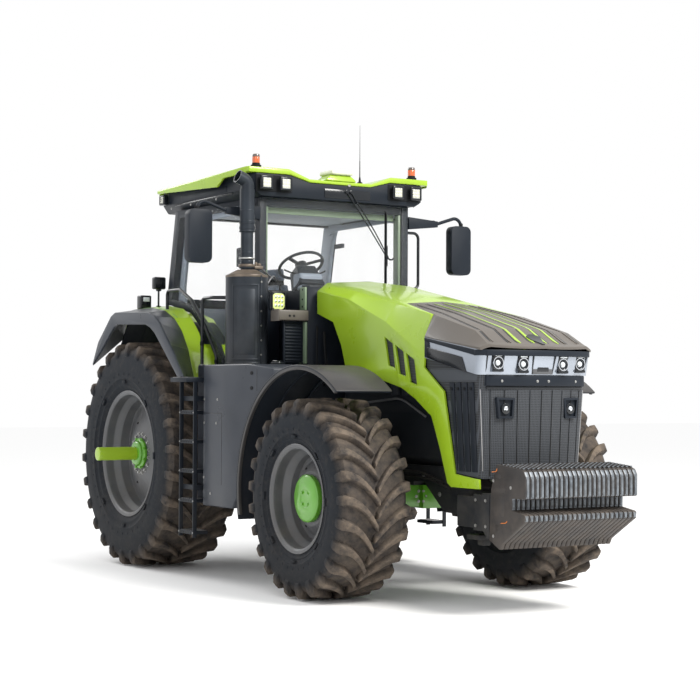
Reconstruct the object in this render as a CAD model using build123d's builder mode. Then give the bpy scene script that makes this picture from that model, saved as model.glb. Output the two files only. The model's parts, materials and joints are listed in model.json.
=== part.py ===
from build123d import *
import math
import os

# Farm tractor, millimetres.  +Z is up, the tractor looks along -Y, its left side is +X.
# The origin is on the ground under the middle of the whole length.

# ---------------------------------------------------------------- driving dimensions
rear_axle_y = 1800.0
wheelbase = 2964.0
front_axle_y = rear_axle_y - wheelbase

front_tyre_radius = 758.0
front_tyre_width = 600.0
front_tyre_centre = 957.0
front_flange_radius = 406.0
front_rim_width = 540.0
front_lugs = 25

rear_tyre_radius = 1003.0
rear_tyre_width = 700.0
rear_tyre_centre = 980.0
rear_flange_radius = 558.0
rear_rim_width = 606.0
rear_lugs = 26

lug_height = 50.0
rim_wall = 14.0
running_gap = 0.9
fender_inner_x = 600.0
seat_gap = 0.3

kingpin_x = 750.0
kingpin_radius = 34.0
axle_barrel_radius = 62.0
axle_barrel_half = 95.0
knuckle_plate = 32.0

frame_outer_x = 250.0
frame_plate = 40.0
frame_bottom_z = 700.0
frame_top_z = 1000.0
frame_rear_y = -380.0
nose_y = front_axle_y - 1336.0

weights_front_y = nose_y - 530.0
weight_count = 24
weight_thickness = 39.0
weight_pitch = 41.4
carrier_top_z = 850.0
carrier_bottom_z = 540.0

nose_bow = 105.0
hood_half_width = 500.0
hood_wall = 18.0
hood_rear_y = -220.0
hood_step_y = nose_y + 700.0
hood_pin_y = -300.0
hood_pin_z = 2400.0
hood_pin_radius = 12.0
hood_bracket_x = 350.0

cab_front_y = 370.0
cab_rear_y = 1790.0
cab_floor_z = 1700.0
cab_floor_thickness = 60.0
pillar_top_z = 3200.0
pillar_width = 66.0
pillar_depth = 84.0
glass = 6.0
front_pillar_x = 713.0
rear_pillar_x = 800.0

roof_half_width = 935.0
roof_front_half = 893.0
roof_front_y = 240.0
roof_rear_y = 2090.0
roof_top_z = pillar_top_z + 240.0
roof_dip_z = pillar_top_z + 168.0

fender_arc_y = front_axle_y + 44.0
fender_arc_z = 790.0
fender_radius = 972.0
fender_sheet = 16.0

tank_outer_x = 1205.0
tank_recess_x = 1100.0
tank_recess_y = 455.0
tank_inner_x = 775.0
tank_rear_y = 760.0
tank_front_y = fender_arc_y + 480.0
tank_bottom_z = 618.0
tank_top_z = 1780.0

can_x = -931.0
can_y = 200.0
can_radius = 175.0
can_bottom_z = tank_top_z + seat_gap
can_top_z = 2520.0
stack_radius = 60.0

ladder_inner_x = 1238.0
ladder_outer_x = 1272.0
ladder_front_y = 480.0
ladder_rear_y = 755.0
ladder_step_z = (386.0, 649.0, 894.0, 1139.0, 1383.0)
ladder_top_z = 1639.0

rockshaft_y = 2230.0
rockshaft_z = 1250.0
link_pivot_y = 1990.0
link_pivot_z = 560.0
hitch_end_y = 3030.0
link_x = 420.0

os.makedirs("parts", exist_ok=True)
SIDES = (("right", -1), ("left", 1))


def save(solid, name):
    """Label a finished piece and write its file."""
    solid.label = name
    export_step(solid, f"parts/{name}.step")


def wheel_plane(x, axle_y, axle_z):
    """Plane through a wheel's axis: local x is along the axle, local y is the radius, upwards."""
    return Plane(origin=(x, axle_y, axle_z), x_dir=(1, 0, 0), z_dir=(0, -1, 0))


def axle_line(axle_y, axle_z):
    return Axis((0, axle_y, axle_z), (1, 0, 0))


def turned(profile, x, axle_y, axle_z):
    """A solid of revolution about a wheel's axis from a list of (along, radius) points."""
    with BuildPart() as piece:
        with BuildSketch(wheel_plane(x, axle_y, axle_z)):
            with BuildLine():
                Polyline(*profile, close=True)
            make_face()
        revolve(axis=axle_line(axle_y, axle_z))
    return piece.part


def from_nose(outline):
    """Points given as (distance behind the hood's nose, height), placed along the tractor."""
    return [(nose_y + back, height) for back, height in outline]


def block(x0, x1, y0, y1, z0, z1, mode=Mode.ADD):
    """A plain box between two corners, added to or cut from the part being built."""
    with Locations(((x0 + x1) / 2, (y0 + y1) / 2, (z0 + z1) / 2)):
        Box(abs(x1 - x0), abs(y1 - y0), abs(z1 - z0), mode=mode)


def tube(points, radius, bend):
    """A bent tube along a list of corner points, added to the part being built."""
    with BuildLine() as route:
        FilletPolyline(*points, radius=bend)
    with BuildSketch(Plane(origin=route.line @ 0, z_dir=route.line % 0)) as section:
        Circle(radius)
    sweep(sections=section.sketch, path=route.line)


def mirrored(solid):
    """The same piece on the tractor's other side."""
    with BuildPart() as twin:
        mirror(solid, about=Plane.YZ)
    return twin.part


def save_pair(left, name):
    """Write the left piece and its mirror image as one node of two solids."""
    with BuildPart() as both:
        add(left)
        mirror(left, about=Plane.YZ)
    save(both.part, name)


# ---------------------------------------------------------------- wheels
def tyre(radius, width, rim_width, flange_radius, lugs, centre_x, axle_y):
    """A lugged drive tyre of flat facets: two mirror-image halves, turned half a lug apart and fused."""
    seat = flange_radius - 19.0
    crown = radius - lug_height
    shoulder = width / 2 - 30.0
    pitch = 2 * math.pi / lugs
    lug_sweep = 0.36 * width / radius
    # across the tread, from the middle to the shoulder:
    # distance from the middle, lag, half width of a lug's top and of its root, top radius, root radius
    tread_rows = (
        (0.0, 0.0, 21.0, 36.0, radius, crown),
        (shoulder, lug_sweep, 37.0, 49.0, radius - 10.0, crown - 24.0),
    )
    # down the wall and back under the rim, one corner for each lug: distance from the middle, radius
    wall_rows = (
        (width / 2, seat + 0.66 * (crown - seat)),
        (width / 2 - 2.0, seat + 0.38 * (crown - seat)),
        (rim_width / 2 - 24.0, (seat + seat_gap) / math.cos(pitch / 2)),
        (0.0, (seat + seat_gap) / math.cos(pitch / 2)),
    )
    halves = []
    for side in (-1, 1):

        def corner(along, angle, reach):
            return Vector(
                centre_x + side * along,
                axle_y - math.sin(angle) * reach,
                radius + math.cos(angle) * reach,
            )

        starts = [side * pitch / 4 + k * pitch for k in range(lugs)]
        tread = [
            [
                corner(along, start - lag + turn, reach)
                for start in starts
                for turn, reach in (
                    (-root_half / root, root), (-top_half / top, top), (top_half / top, top), (root_half / root, root),
                )
            ]
            for along, lag, top_half, root_half, top, root in tread_rows
        ]
        wall = [[corner(along, start - lug_sweep, reach) for start in starts] for along, reach in wall_rows]
        triangles = []
        for one, two in [tuple(tread)] + list(zip(wall, wall[1:])):
            for k in range(len(one)):
                after = (k + 1) % len(one)
                triangles += [(one[k], one[after], two[k]), (one[after], two[after], two[k])]
        # the four corners of each lug's shoulder run down to one corner of the wall
        rim_of_tread = tread[-1]
        for k in range(lugs):
            after = (k + 1) % lugs
            for j in range(4):
                triangles.append((rim_of_tread[4 * k + j], rim_of_tread[(4 * k + j + 1) % (4 * lugs)], wall[0][k]))
            triangles.append((rim_of_tread[4 * after], wall[0][after], wall[0][k]))
        faces = [Face(Wire.make_polygon(triangle, close=True)) for triangle in triangles]
        middle = Face(Wire.make_polygon(tread[0], close=True), [Wire.make_polygon(wall[-1], close=True)])
        halves.append(Solid(Shell([*faces, middle])))
    with BuildPart() as ring:
        add(halves)
    return ring.part


def rim(rim_width, flange_radius, disc_x, bore_radius, dish, centre_x, axle_y, axle_z):
    """A pressed drop-centre rim with its dished disc, turned in one piece."""
    half = rim_width / 2
    seat = flange_radius - 19.0
    drop = seat - 42.0
    barrel = (
        (-half, flange_radius),
        (-half + 12.0, flange_radius),
        (-half + 16.0, seat),
        (-half + 74.0, seat - 4.0),
        (-half + 118.0, drop),
        (half - 150.0, drop),
        (half - 96.0, seat - 4.0),
        (half - 16.0, seat),
        (half - 12.0, flange_radius),
        (half, flange_radius),
        (half, flange_radius - 14.0),
        (half - 14.0, seat - rim_wall),
        (half - 90.0, seat - 4.0 - rim_wall),
        (half - 144.0, drop - rim_wall),
        (-half + 112.0, drop - rim_wall),
        (-half + 70.0, seat - 4.0 - rim_wall),
        (-half + 14.0, seat - rim_wall),
        (-half, flange_radius - 14.0),
    )
    disc = (
        (disc_x - 18.0, bore_radius),
        (disc_x, bore_radius),
        (disc_x, bore_radius + 95.0),
        (disc_x - dish, drop - rim_wall - 40.0),
        (disc_x - dish, drop - rim_wall + 1.0),
        (disc_x - dish - 16.0, drop - rim_wall + 1.0),
        (disc_x - dish - 18.0, drop - rim_wall - 48.0),
        (disc_x - 18.0, bore_radius + 88.0),
    )
    with BuildPart() as wheel:
        add(turned(barrel, centre_x, axle_y, axle_z))
        add(turned(disc, centre_x, axle_y, axle_z))
    return wheel.part


front_disc_x = 140.0
front_hub_bore = 112.0
front_rim = rim(
    front_rim_width, front_flange_radius, front_disc_x, front_hub_bore, 70.0,
    front_tyre_centre, front_axle_y, front_tyre_radius,
)
rear_disc_x = 170.0
rear_hub_bore = 112.0
rear_rim = rim(
    rear_rim_width, rear_flange_radius, rear_disc_x, rear_hub_bore, 95.0,
    rear_tyre_centre, rear_axle_y, rear_tyre_radius,
)
front_tyre = tyre(
    front_tyre_radius, front_tyre_width, front_rim_width, front_flange_radius,
    front_lugs, front_tyre_centre, front_axle_y,
)
rear_tyre = tyre(
    rear_tyre_radius, rear_tyre_width, rear_rim_width, rear_flange_radius,
    rear_lugs, rear_tyre_centre, rear_axle_y,
)

spindle_radius = 70.0
spindle_end_x = 985.0
hub_inner_x = 905.0
front_hub_face_x = 1150.0
front_seat_x = front_tyre_centre + front_disc_x
# planetary hub: a drum behind the disc, its pilot through the disc and the round end cover
front_hub = turned(
    (
        (hub_inner_x, spindle_radius + running_gap),
        (spindle_end_x + 5.0, spindle_radius + running_gap),
        (spindle_end_x + 5.0, 0.0),
        (front_hub_face_x - 6.0, 0.0),
        (front_hub_face_x - 6.0, 62.0),
        (front_hub_face_x, 70.0),
        (front_hub_face_x, 158.0),
        (front_hub_face_x - 12.0, 180.0),
        (front_seat_x + seat_gap, 180.0),
        (front_seat_x + seat_gap, front_hub_bore - seat_gap),
        (front_seat_x - 18.0 - seat_gap, front_hub_bore - seat_gap),
        (front_seat_x - 18.0 - seat_gap, 180.0),
        (front_seat_x - 60.0, 180.0),
        (front_seat_x - 84.0, 150.0),
        (hub_inner_x + 20.0, 150.0),
        (hub_inner_x, 130.0),
    ),
    0.0, front_axle_y, front_tyre_radius,
)

bar_radius = 59.0
bar_end_x = 1571.0
trumpet_end_x = 620.0
bar_inner_x = trumpet_end_x - 70.0
rear_seat_x = rear_tyre_centre + rear_disc_x
rear_hub = turned(
    (
        (rear_seat_x - 150.0, bar_radius + seat_gap),
        (rear_seat_x + 62.0, bar_radius + seat_gap),
        (rear_seat_x + 62.0, 96.0),
        (rear_seat_x + 50.0, 110.0),
        (rear_seat_x + 30.0, 112.0),
        (rear_seat_x + 24.0, 135.0),
        (rear_seat_x + seat_gap, 137.0),
        (rear_seat_x + seat_gap, rear_hub_bore - seat_gap),
        (rear_seat_x - 18.0 - seat_gap, rear_hub_bore - seat_gap),
        (rear_seat_x - 18.0 - seat_gap, 192.0),
        (rear_seat_x - 50.0, 192.0),
        (rear_seat_x - 70.0, 120.0),
        (rear_seat_x - 150.0, 110.0),
    ),
    0.0, rear_axle_y, rear_tyre_radius,
)
bar_axle = turned(
    (
        (bar_inner_x, 0.0),
        (bar_end_x, 0.0),
        (bar_end_x, bar_radius - 4.0),
        (bar_end_x - 4.0, bar_radius),
        (bar_inner_x, bar_radius),
    ),
    0.0, rear_axle_y, rear_tyre_radius,
)
for piece, name in (
    (front_tyre, "tyre_front"), (front_rim, "rim_front"), (front_hub, "hub_front"),
    (rear_tyre, "tyre_rear"), (rear_rim, "rim_rear"), (rear_hub, "hub_rear"), (bar_axle, "bar_axle"),
):
    save(mirrored(piece), f"{name}_right")
    save(piece, f"{name}_left")

# ---------------------------------------------------------------- front axle and steering
with BuildPart() as front_axle:
    for sign in (-1, 1):
        with BuildSketch(Plane.YZ.offset(sign * 180.0)):
            with Locations((front_axle_y, front_tyre_radius)):
                Rectangle(190, 170)
        with BuildSketch(Plane.YZ.offset(sign * (kingpin_x - 30.0))):
            with Locations((front_axle_y, front_tyre_radius)):
                Rectangle(110, 120)
        loft()
        with Locations((sign * kingpin_x, front_axle_y, front_tyre_radius)):
            Cylinder(axle_barrel_radius, 2 * axle_barrel_half)
            Cylinder(kingpin_radius + running_gap, 2 * axle_barrel_half, mode=Mode.SUBTRACT)
    block(-181, 181, front_axle_y - 150, front_axle_y + 150, front_tyre_radius - 95, front_tyre_radius + 85)
    # steering cylinder across the back of the beam, its rods stopping short of the arms
    with Locations(Location((0, front_axle_y + 190, front_tyre_radius - 40), (0, 90, 0))):
        Cylinder(42, 520)
        Cylinder(18, 900)
    block(-150, 150, front_axle_y + 120, front_axle_y + 175, front_tyre_radius - 80, front_tyre_radius)
save(front_axle.part, "front_axle")

arm_pin_y = front_axle_y + 190.0
for name, sign in SIDES:
    with BuildPart() as knuckle:
        x = sign * kingpin_x
        for up in (-1, 1):
            level = front_tyre_radius + up * (axle_barrel_half + 5.0 + knuckle_plate / 2)
            with Locations((x, front_axle_y, level)):
                Cylinder(70, knuckle_plate)
            block(
                x, x + sign * 120, front_axle_y - 70, front_axle_y + 70,
                level - knuckle_plate / 2, level + knuckle_plate / 2,
            )
            with Locations((x, front_axle_y, front_tyre_radius + up * (axle_barrel_half - 20.0))):
                Cylinder(kingpin_radius, 60)
        block(
            x + sign * 80, x + sign * 122, front_axle_y - 70, front_axle_y + 70,
            front_tyre_radius - axle_barrel_half - 20, front_tyre_radius + axle_barrel_half + 20,
        )
        spindle_start = kingpin_x + 100.0
        with Locations(
            Location(
                (sign * (spindle_start + spindle_end_x) / 2, front_axle_y, front_tyre_radius), (0, 90, 0)
            )
        ):
            Cylinder(spindle_radius, spindle_end_x - spindle_start)
        # steering arm
        block(
            x - sign * 30, x + sign * 30, front_axle_y + 50, arm_pin_y + 30,
            front_tyre_radius + axle_barrel_half + 8, front_tyre_radius + axle_barrel_half + 34,
        )
    save(knuckle.part, f"knuckle_{name}")

# ---------------------------------------------------------------- chassis
with BuildPart() as front_frame:
    for sign in (-1, 1):
        outer = sign * frame_outer_x
        inner = sign * (frame_outer_x - frame_plate)
        with BuildSketch(Plane.YZ.offset(min(outer, inner))):
            with BuildLine():
                Polyline(
                    (frame_rear_y, 800),
                    (frame_rear_y, frame_top_z),
                    (nose_y + 800, frame_top_z),
                    (nose_y + 720, 860),
                    (nose_y, 840),
                    (nose_y, 640),
                    (nose_y + 800, frame_bottom_z - 40),
                    (front_axle_y - 260, frame_bottom_z + 175),
                    (front_axle_y + 260, frame_bottom_z + 175),
                    (front_axle_y + 400, 800),
                    close=True,
                )
            make_face()
        extrude(amount=frame_plate)
    block(-frame_outer_x, frame_outer_x, nose_y, nose_y + 160, 640, 840)
    # pivot bracket that carries the axle beam
    block(
        -frame_outer_x, frame_outer_x, front_axle_y - 120, front_axle_y + 120,
        front_tyre_radius + 85.3, front_tyre_radius + 150,
    )
    block(-frame_outer_x, frame_outer_x, nose_y + 740, nose_y + 800, 700, 960)
save(front_frame.part, "front_frame")

engine_rear_y = frame_rear_y
engine_front_y = nose_y + 810.0
with BuildPart() as engine:
    with BuildSketch(Plane.XZ.offset(-engine_rear_y)):
        with BuildLine():
            Polyline(
                (-200, 915), (200, 915), (200, 1010), (270, 1060), (270, 1400), (330, 1480),
                (330, 1950), (180, 2060), (-180, 2060), (-330, 1950), (-330, 1480), (-270, 1400),
                (-270, 1060), (-200, 1010), close=True,
            )
        make_face()
    extrude(amount=engine_rear_y - engine_front_y)
save(engine.part, "engine_block")

with BuildPart() as cooling:
    block(-360, 360, nose_y + 360, nose_y + 660, 1040, 1700)
    block(-frame_outer_x, frame_outer_x, nose_y + 400, nose_y + 620, 857.3, 1041)
save(cooling.part, "cooling_pack")

gearbox_rear_y = 2120.0
with BuildPart() as transaxle:
    sections = (
        (engine_rear_y + seat_gap, 250, 800, 1500),
        (120, 270, 780, 1480),
        (rear_axle_y - 330, 250, 700, 1440),
        (rear_axle_y - 260, 330, 690, 1400),
        (gearbox_rear_y, 300, 700, 1400),
    )
    for y, half, low, high in sections:
        with BuildSketch(Plane.XZ.offset(-y)):
            with Locations((0, (low + high) / 2)):
                RectangleRounded(2 * half, high - low, 60)
    loft(ruled=True)
    for sign in (-1, 1):
        for x, radius in ((300.0, 200.0), (400.0, 150.0)):
            with BuildSketch(Plane.YZ.offset(sign * x)):
                with Locations((rear_axle_y, rear_tyre_radius)):
                    Circle(radius)
        loft(ruled=True)
        with Locations(Location((sign * (400.0 + trumpet_end_x) / 2, rear_axle_y, rear_tyre_radius), (0, 90, 0))):
            Cylinder(150, trumpet_end_x - 400.0)
        bore_depth = trumpet_end_x - bar_inner_x + 5.0
        with Locations(
            Location((sign * (trumpet_end_x - bore_depth / 2), rear_axle_y, rear_tyre_radius), (0, 90, 0))
        ):
            Cylinder(bar_radius + running_gap, bore_depth, mode=Mode.SUBTRACT)
    # rockshaft housing and lower link brackets on the back
    block(-260, 260, gearbox_rear_y - 160, rockshaft_y - 60, 1150, 1430)
    for sign in (-1, 1):
        block(
            sign * 250, sign * 300, gearbox_rear_y - 330, link_pivot_y + 70,
            link_pivot_z - 70, 720,
        )
        block(sign * 200, sign * 250, rockshaft_y - 61, rockshaft_y + 70, rockshaft_z - 65, rockshaft_z + 65)
        # cab posts and tank arms
        block(sign * 160, sign * 260, 380, 480, 1400, cab_floor_z - seat_gap)
        block(sign * 160, sign * 260, 1700, 1900, 1380, cab_floor_z - seat_gap)
        block(sign * 200, sign * (tank_inner_x - seat_gap), 220, 340, 860, 960)
    # shield over the power take-off
    block(-170, 170, gearbox_rear_y - 10, 2300, 950, 962)
    for sign in (-1, 1):
        block(sign * 158, sign * 170, gearbox_rear_y - 10, 2300, 740, 951)
    for y, z, radius in (
        (rockshaft_y, rockshaft_z, 45 + running_gap), (link_pivot_y, link_pivot_z, 18 + seat_gap),
    ):
        with Locations(Location((0, y, z), (0, 90, 0))):
            Cylinder(radius, 700, mode=Mode.SUBTRACT)
save(transaxle.part, "transaxle")

# ---------------------------------------------------------------- hood
# one row per section: y, half width of the crown edge, centre, crown edge and ridge heights
hood_length = hood_rear_y - hood_step_y
hood_rear_sections = (
    (hood_rear_y, 400.0, 2485.0, 2458.0, 2385.0),
    (hood_rear_y - 0.304 * hood_length, 410.0, 2388.0, 2358.0, 2300.0),
    (hood_rear_y - 0.658 * hood_length, 415.0, 2276.0, 2246.0, 2100.0),
    (hood_step_y, 420.0, 2166.0, 2138.0, 1822.0),
)
hood_front_sections = (
    (hood_step_y, 420.0, 2166.0, 2138.0, 1972.0),
    (nose_y + 170.0, 420.0, 2030.0, 2002.0, 1898.0),
    (nose_y, 440.0, 1934.0, 1908.0, 1874.0),
    (nose_y - nose_bow - 10, 440.0, 1886.0, 1868.0, 1861.0),
)
hood_skirt_z = 1600.0
hood_foot_z = 850.0
hood_foot_half = 448.0


def nose_section(z, half, front_y, back_y, corner):
    """A level section of the nose with its front bowed forward."""
    with BuildSketch(Plane.XY.offset(z)) as section:
        with BuildLine():
            ThreePointArc((half, front_y), (0, front_y - nose_bow), (-half, front_y))
            Polyline((-half, front_y), (-half, back_y), (half, back_y), (half, front_y))
        make_face()
        fillet(section.vertices().filter_by(lambda v: v.Y < (front_y + back_y) / 2), corner)
    return section.sketch


def hood_body(sections, inset):
    """The hood's outline as a ruled loft, drawn in on all sides by an inset."""
    with BuildPart() as body:
        for y, crown_half, centre, crown, ridge in sections:
            half = hood_half_width - inset
            foot = hood_foot_half - inset
            with BuildSketch(Plane.XZ.offset(-y)):
                with BuildLine():
                    Polyline(
                        (-foot, hood_foot_z - inset), (foot, hood_foot_z - inset),
                        (half, hood_skirt_z), (half, ridge - 0.6 * inset),
                        (crown_half - 0.7 * inset, crown - inset), (0, centre - inset),
                        (-crown_half + 0.7 * inset, crown - inset), (-half, ridge - 0.6 * inset),
                        (-half, hood_skirt_z), close=True,
                    )
                make_face()
        loft(ruled=True)
    return body.part


def stretched(sections, margin):
    """The same sections with the first and last pushed out along the hood."""
    first, last = sections[0], sections[-1]
    return ((first[0] + margin, *first[1:]), *sections[1:-1], (last[0] - margin, *last[1:]))


# side view of the green panel: rear edge, wheel arch, foot strip, grille edge
green_outline = (
    (hood_rear_y, 2600), (hood_rear_y, 2200), (hood_rear_y - 255, 2123), (hood_rear_y - 382, 1935),
    (hood_rear_y - 461, 1734), (hood_rear_y - 514, 1626),
    *from_nose((
        (1600, 1668), (1412, 1683), (1210, 1634), (1010, 1592), (833, 1509), (630, 1383), (543, 1147),
        (470, 898), (425, 872), (75, 872), (75, 940), (368, 969), (457, 1568), (710, 1745),
    )),
    (hood_step_y, 1822), (hood_step_y, 2600),
)
insert_rear_y = nose_y + 1200.0
insert_outline = (
    (-330, insert_rear_y), (330, insert_rear_y), (420, hood_step_y), (600, hood_step_y),
    (600, nose_y - 100), (-600, nose_y - 100), (-600, hood_step_y), (-420, hood_step_y),
)
louvre_count = 3
louvre_first = (nose_y + 1255.0, 1985.0)
louvre_pitch = (-150.0, -64.0)
louvre_shape = ((0, 0), (-118, -56), (-156, -244), (-58, -222))
louvre_depth = 14.0

with BuildPart() as hood_shell:
    add(hood_body(hood_rear_sections, 0.0))
    add(hood_body(stretched(hood_rear_sections, 1.0), hood_wall), mode=Mode.SUBTRACT)
    with BuildPart(mode=Mode.PRIVATE) as lower_front:
        add(hood_body(hood_front_sections, 0.0))
        add(hood_body(stretched(hood_front_sections, 1.0), hood_wall), mode=Mode.SUBTRACT)
        with Locations((0, nose_y, 1745 + 600)):
            Box(1200, 1400, 1200, mode=Mode.SUBTRACT)
    add(lower_front.part)
    with BuildSketch(Plane.YZ.offset(-hood_half_width - 10)):
        with BuildLine():
            Polyline(*green_outline, close=True)
        make_face()
    extrude(amount=2 * hood_half_width + 20, mode=Mode.INTERSECT)
    with BuildSketch(Plane.XY.offset(1900)):
        with BuildLine():
            Polyline(*insert_outline, close=True)
        make_face()
    extrude(amount=600, mode=Mode.SUBTRACT)
    for k in range(louvre_count):
        with BuildSketch(Plane.YZ.offset(-hood_half_width - 10)):
            with BuildLine():
                Polyline(
                    *(
                        (louvre_first[0] + k * louvre_pitch[0] + dy, louvre_first[1] + k * louvre_pitch[1] + dz)
                        for dy, dz in louvre_shape
                    ),
                    close=True,
                )
            make_face()
        extrude(amount=2 * hood_half_width + 20, mode=Mode.SUBTRACT)
    for sign in (-1, 1):
        block(
            sign * (hood_bracket_x + 3), sign * (hood_bracket_x + 25), hood_pin_y - 26, hood_pin_y + 26,
            hood_pin_z - 26, hood_pin_z + 30,
        )
        with Locations(Location((sign * (hood_bracket_x + 14), hood_pin_y, hood_pin_z), (0, 90, 0))):
            Cylinder(hood_pin_radius + running_gap, 40, mode=Mode.SUBTRACT)
save(hood_shell.part, "hood_shell")

# dark slats seated behind the three slanted openings of each side
with BuildPart() as hood_louvres:
    for sign in (-1, 1):
        x = sign * (hood_half_width - hood_wall - seat_gap)
        with BuildSketch(Plane.YZ.offset(min(x, x - sign * louvre_depth))):
            with BuildLine():
                top_y, top_z = louvre_first
                last = louvre_count - 1
                end_y = top_y + last * louvre_pitch[0]
                end_z = top_z + last * louvre_pitch[1]
                Polyline(
                    (top_y + 12, top_z - 6), (end_y - 134, end_z - 64), (end_y - 168, end_z - 252),
                    (top_y - 50, top_z - 240), close=True,
                )
            make_face()
        extrude(amount=louvre_depth)
save(hood_louvres.part, "hood_louvres")

with BuildPart() as hood_insert:
    add(hood_body(hood_rear_sections, 0.0))
    add(hood_body(stretched(hood_rear_sections, 1.0), hood_wall), mode=Mode.SUBTRACT)
    with BuildPart(mode=Mode.PRIVATE) as front_top:
        add(hood_body(hood_front_sections, 0.0))
        add(hood_body(stretched(hood_front_sections, 1.0), hood_wall), mode=Mode.SUBTRACT)
    add(front_top.part)
    with BuildSketch(Plane.XY.offset(1500)):
        with BuildLine():
            Polyline(
                (hood_half_width, nose_y), (600, nose_y), (600, hood_step_y - 2), (416, hood_step_y),
                (327, insert_rear_y - seat_gap), (-327, insert_rear_y - seat_gap), (-416, hood_step_y),
                (-600, hood_step_y - 2), (-600, nose_y), (-hood_half_width, nose_y),
            )
            ThreePointArc((-hood_half_width, nose_y), (0, nose_y - nose_bow), (hood_half_width, nose_y))
        make_face()
    extrude(amount=1200, mode=Mode.INTERSECT)
    with BuildSketch(Plane.YZ.offset(-700)):
        with BuildLine():
            Polyline(
                (insert_rear_y + 100, 2600), (insert_rear_y + 100, 1900), (hood_step_y + 10, 1900),
                (hood_step_y + 10, 1967.5 + seat_gap), (nose_y, 1858 + seat_gap),
                (nose_y - 200, 1858 + seat_gap), (nose_y - 200, 2600), close=True,
            )
        make_face()
    extrude(amount=1400, mode=Mode.INTERSECT)
save(hood_insert.part, "hood_insert")

band_depth = 60.0
band_outline = (
    (hood_step_y - seat_gap, 1815), (nose_y + 38, 1684), (nose_y, 1858), (hood_step_y - seat_gap, 1966),
)


def band_bottom_z(y):
    """Height of the band's underside, which the nose grille meets."""
    (y0, z0), (y1, z1) = band_outline[:2]
    return z0 + (z1 - z0) * (y - y0) / (y1 - y0)


# lamps in the band: middle, width, height of the middle
band_lamps = ((-368.0, 92.0, 1768.0), (-178.0, 92.0, 1760.0), (178.0, 92.0, 1760.0), (368.0, 92.0, 1768.0))
band_lamp_height = 128.0
with BuildPart() as headlamp_band:
    loft(
        sections=(
            nose_section(1626, hood_half_width, nose_y + 50.7, hood_step_y - seat_gap, 60),
            nose_section(1974, hood_half_width, nose_y - 25.3, hood_step_y - seat_gap, 60),
        )
    )
    with BuildSketch(Plane.YZ.offset(-hood_half_width - 1)):
        with BuildLine():
            Polyline(
                band_outline[0], band_outline[1], (nose_y - 200, band_outline[1][1]),
                (nose_y - 200, band_outline[2][1]), band_outline[2], band_outline[3], close=True,
            )
        make_face()
    extrude(amount=2 * hood_half_width + 2, mode=Mode.INTERSECT)
    loft(
        sections=(
            nose_section(1600, hood_half_width - band_depth, nose_y + band_depth + 56, hood_step_y + 100, 20),
            nose_section(2000, hood_half_width - band_depth, nose_y + band_depth - 31, hood_step_y + 100, 20),
        ),
        mode=Mode.SUBTRACT,
    )
    for x, width, z in band_lamps:
        front_y = nose_y - nose_bow * (1 - (x / hood_half_width) ** 2)
        block(
            x - width / 2, x + width / 2, front_y - 60, front_y + 46,
            z - band_lamp_height / 2, z + band_lamp_height / 2, Mode.SUBTRACT,
        )
        block(
            x - width / 2 + 6, x + width / 2 - 6, front_y + 22, front_y + 60,
            z - band_lamp_height / 2 - 1, z + band_lamp_height / 2 + 1, Mode.ADD,
        )
save(headlamp_band.part, "headlamp_band")

grille_top_half = 484.0
grille_foot_half = 438.0
grille_outline = from_nose((
    (694, band_bottom_z(nose_y + 694) - seat_gap), (694, 1740), (454, 1562), (364, 975), (72, 946),
    (-200, 946), (-200, band_outline[1][1] - seat_gap), (38, band_outline[1][1] - seat_gap),
))
grille_wall = 42.0
grille_lamps = ((-290.0, 1450.0), (290.0, 1450.0))
with BuildPart() as nose_grille:
    loft(
        sections=(
            nose_section(940, grille_foot_half, nose_y + 74, nose_y + 710, 60),
            nose_section(1815, grille_top_half, nose_y + 34, nose_y + 710, 60),
        )
    )
    with BuildSketch(Plane.YZ.offset(-600)):
        with BuildLine():
            Polyline(*grille_outline, close=True)
        make_face()
    extrude(amount=1200, mode=Mode.INTERSECT)
    loft(
        sections=(
            nose_section(900, grille_foot_half - grille_wall, nose_y + 76 + grille_wall, nose_y + 800, 20),
            nose_section(1900, grille_top_half - grille_wall, nose_y + 30 + grille_wall, nose_y + 800, 20),
        ),
        mode=Mode.SUBTRACT,
    )
    # shallow pockets for the two lower lamps
    for x, z in grille_lamps:
        front_y = nose_y + 50 - nose_bow * (1 - (x / grille_top_half) ** 2)
        block(x - 62, x + 62, front_y - 60, front_y + 16, z - 66, z + 66, Mode.SUBTRACT)
save(nose_grille.part, "nose_grille")

# ---------------------------------------------------------------- front weights and carrier
weight_back = ((nose_y - 104.0, 523.0), (nose_y - 124.0, 886.0))
weight_outline = (
    *from_nose((
        (-190, 1065), (-490, 1040), (-530, 985), (-530, 832), (-372, 828), (-372, 752), (-522, 726), (-516, 676),
        (-250, 506), (-228, 464),
    )),
    *weight_back,
)


def weight_back_y(z):
    """Where the leaning back face of the weights stands at a height."""
    (y0, z0), (y1, z1) = weight_back
    return y0 + (y1 - y0) * (z - z0) / (z1 - z0)


with BuildPart() as front_weights:
    for k in range(weight_count):
        x = (k - (weight_count - 1) / 2) * weight_pitch - weight_thickness / 2
        with BuildSketch(Plane.YZ.offset(x)):
            with BuildLine():
                Polyline(*weight_outline, close=True)
            make_face()
        extrude(amount=weight_thickness)
save(front_weights.part, "front_weights")

with BuildPart() as weight_carrier:
    with BuildSketch(Plane.YZ.offset(-485)):
        with BuildLine():
            Polyline(
                (nose_y - seat_gap, 600), (nose_y - seat_gap, carrier_top_z),
                (weight_back_y(carrier_top_z) + seat_gap, carrier_top_z),
                (weight_back_y(carrier_bottom_z) + seat_gap, carrier_bottom_z),
                (nose_y - 60, carrier_bottom_z), close=True,
            )
        make_face()
    extrude(amount=970)
    for sign in (-1, 1):
        block(
            sign * (frame_outer_x + seat_gap), sign * 470, nose_y - 1, nose_y + 320, 600, 820,
        )
save(weight_carrier.part, "weight_carrier")

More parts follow.
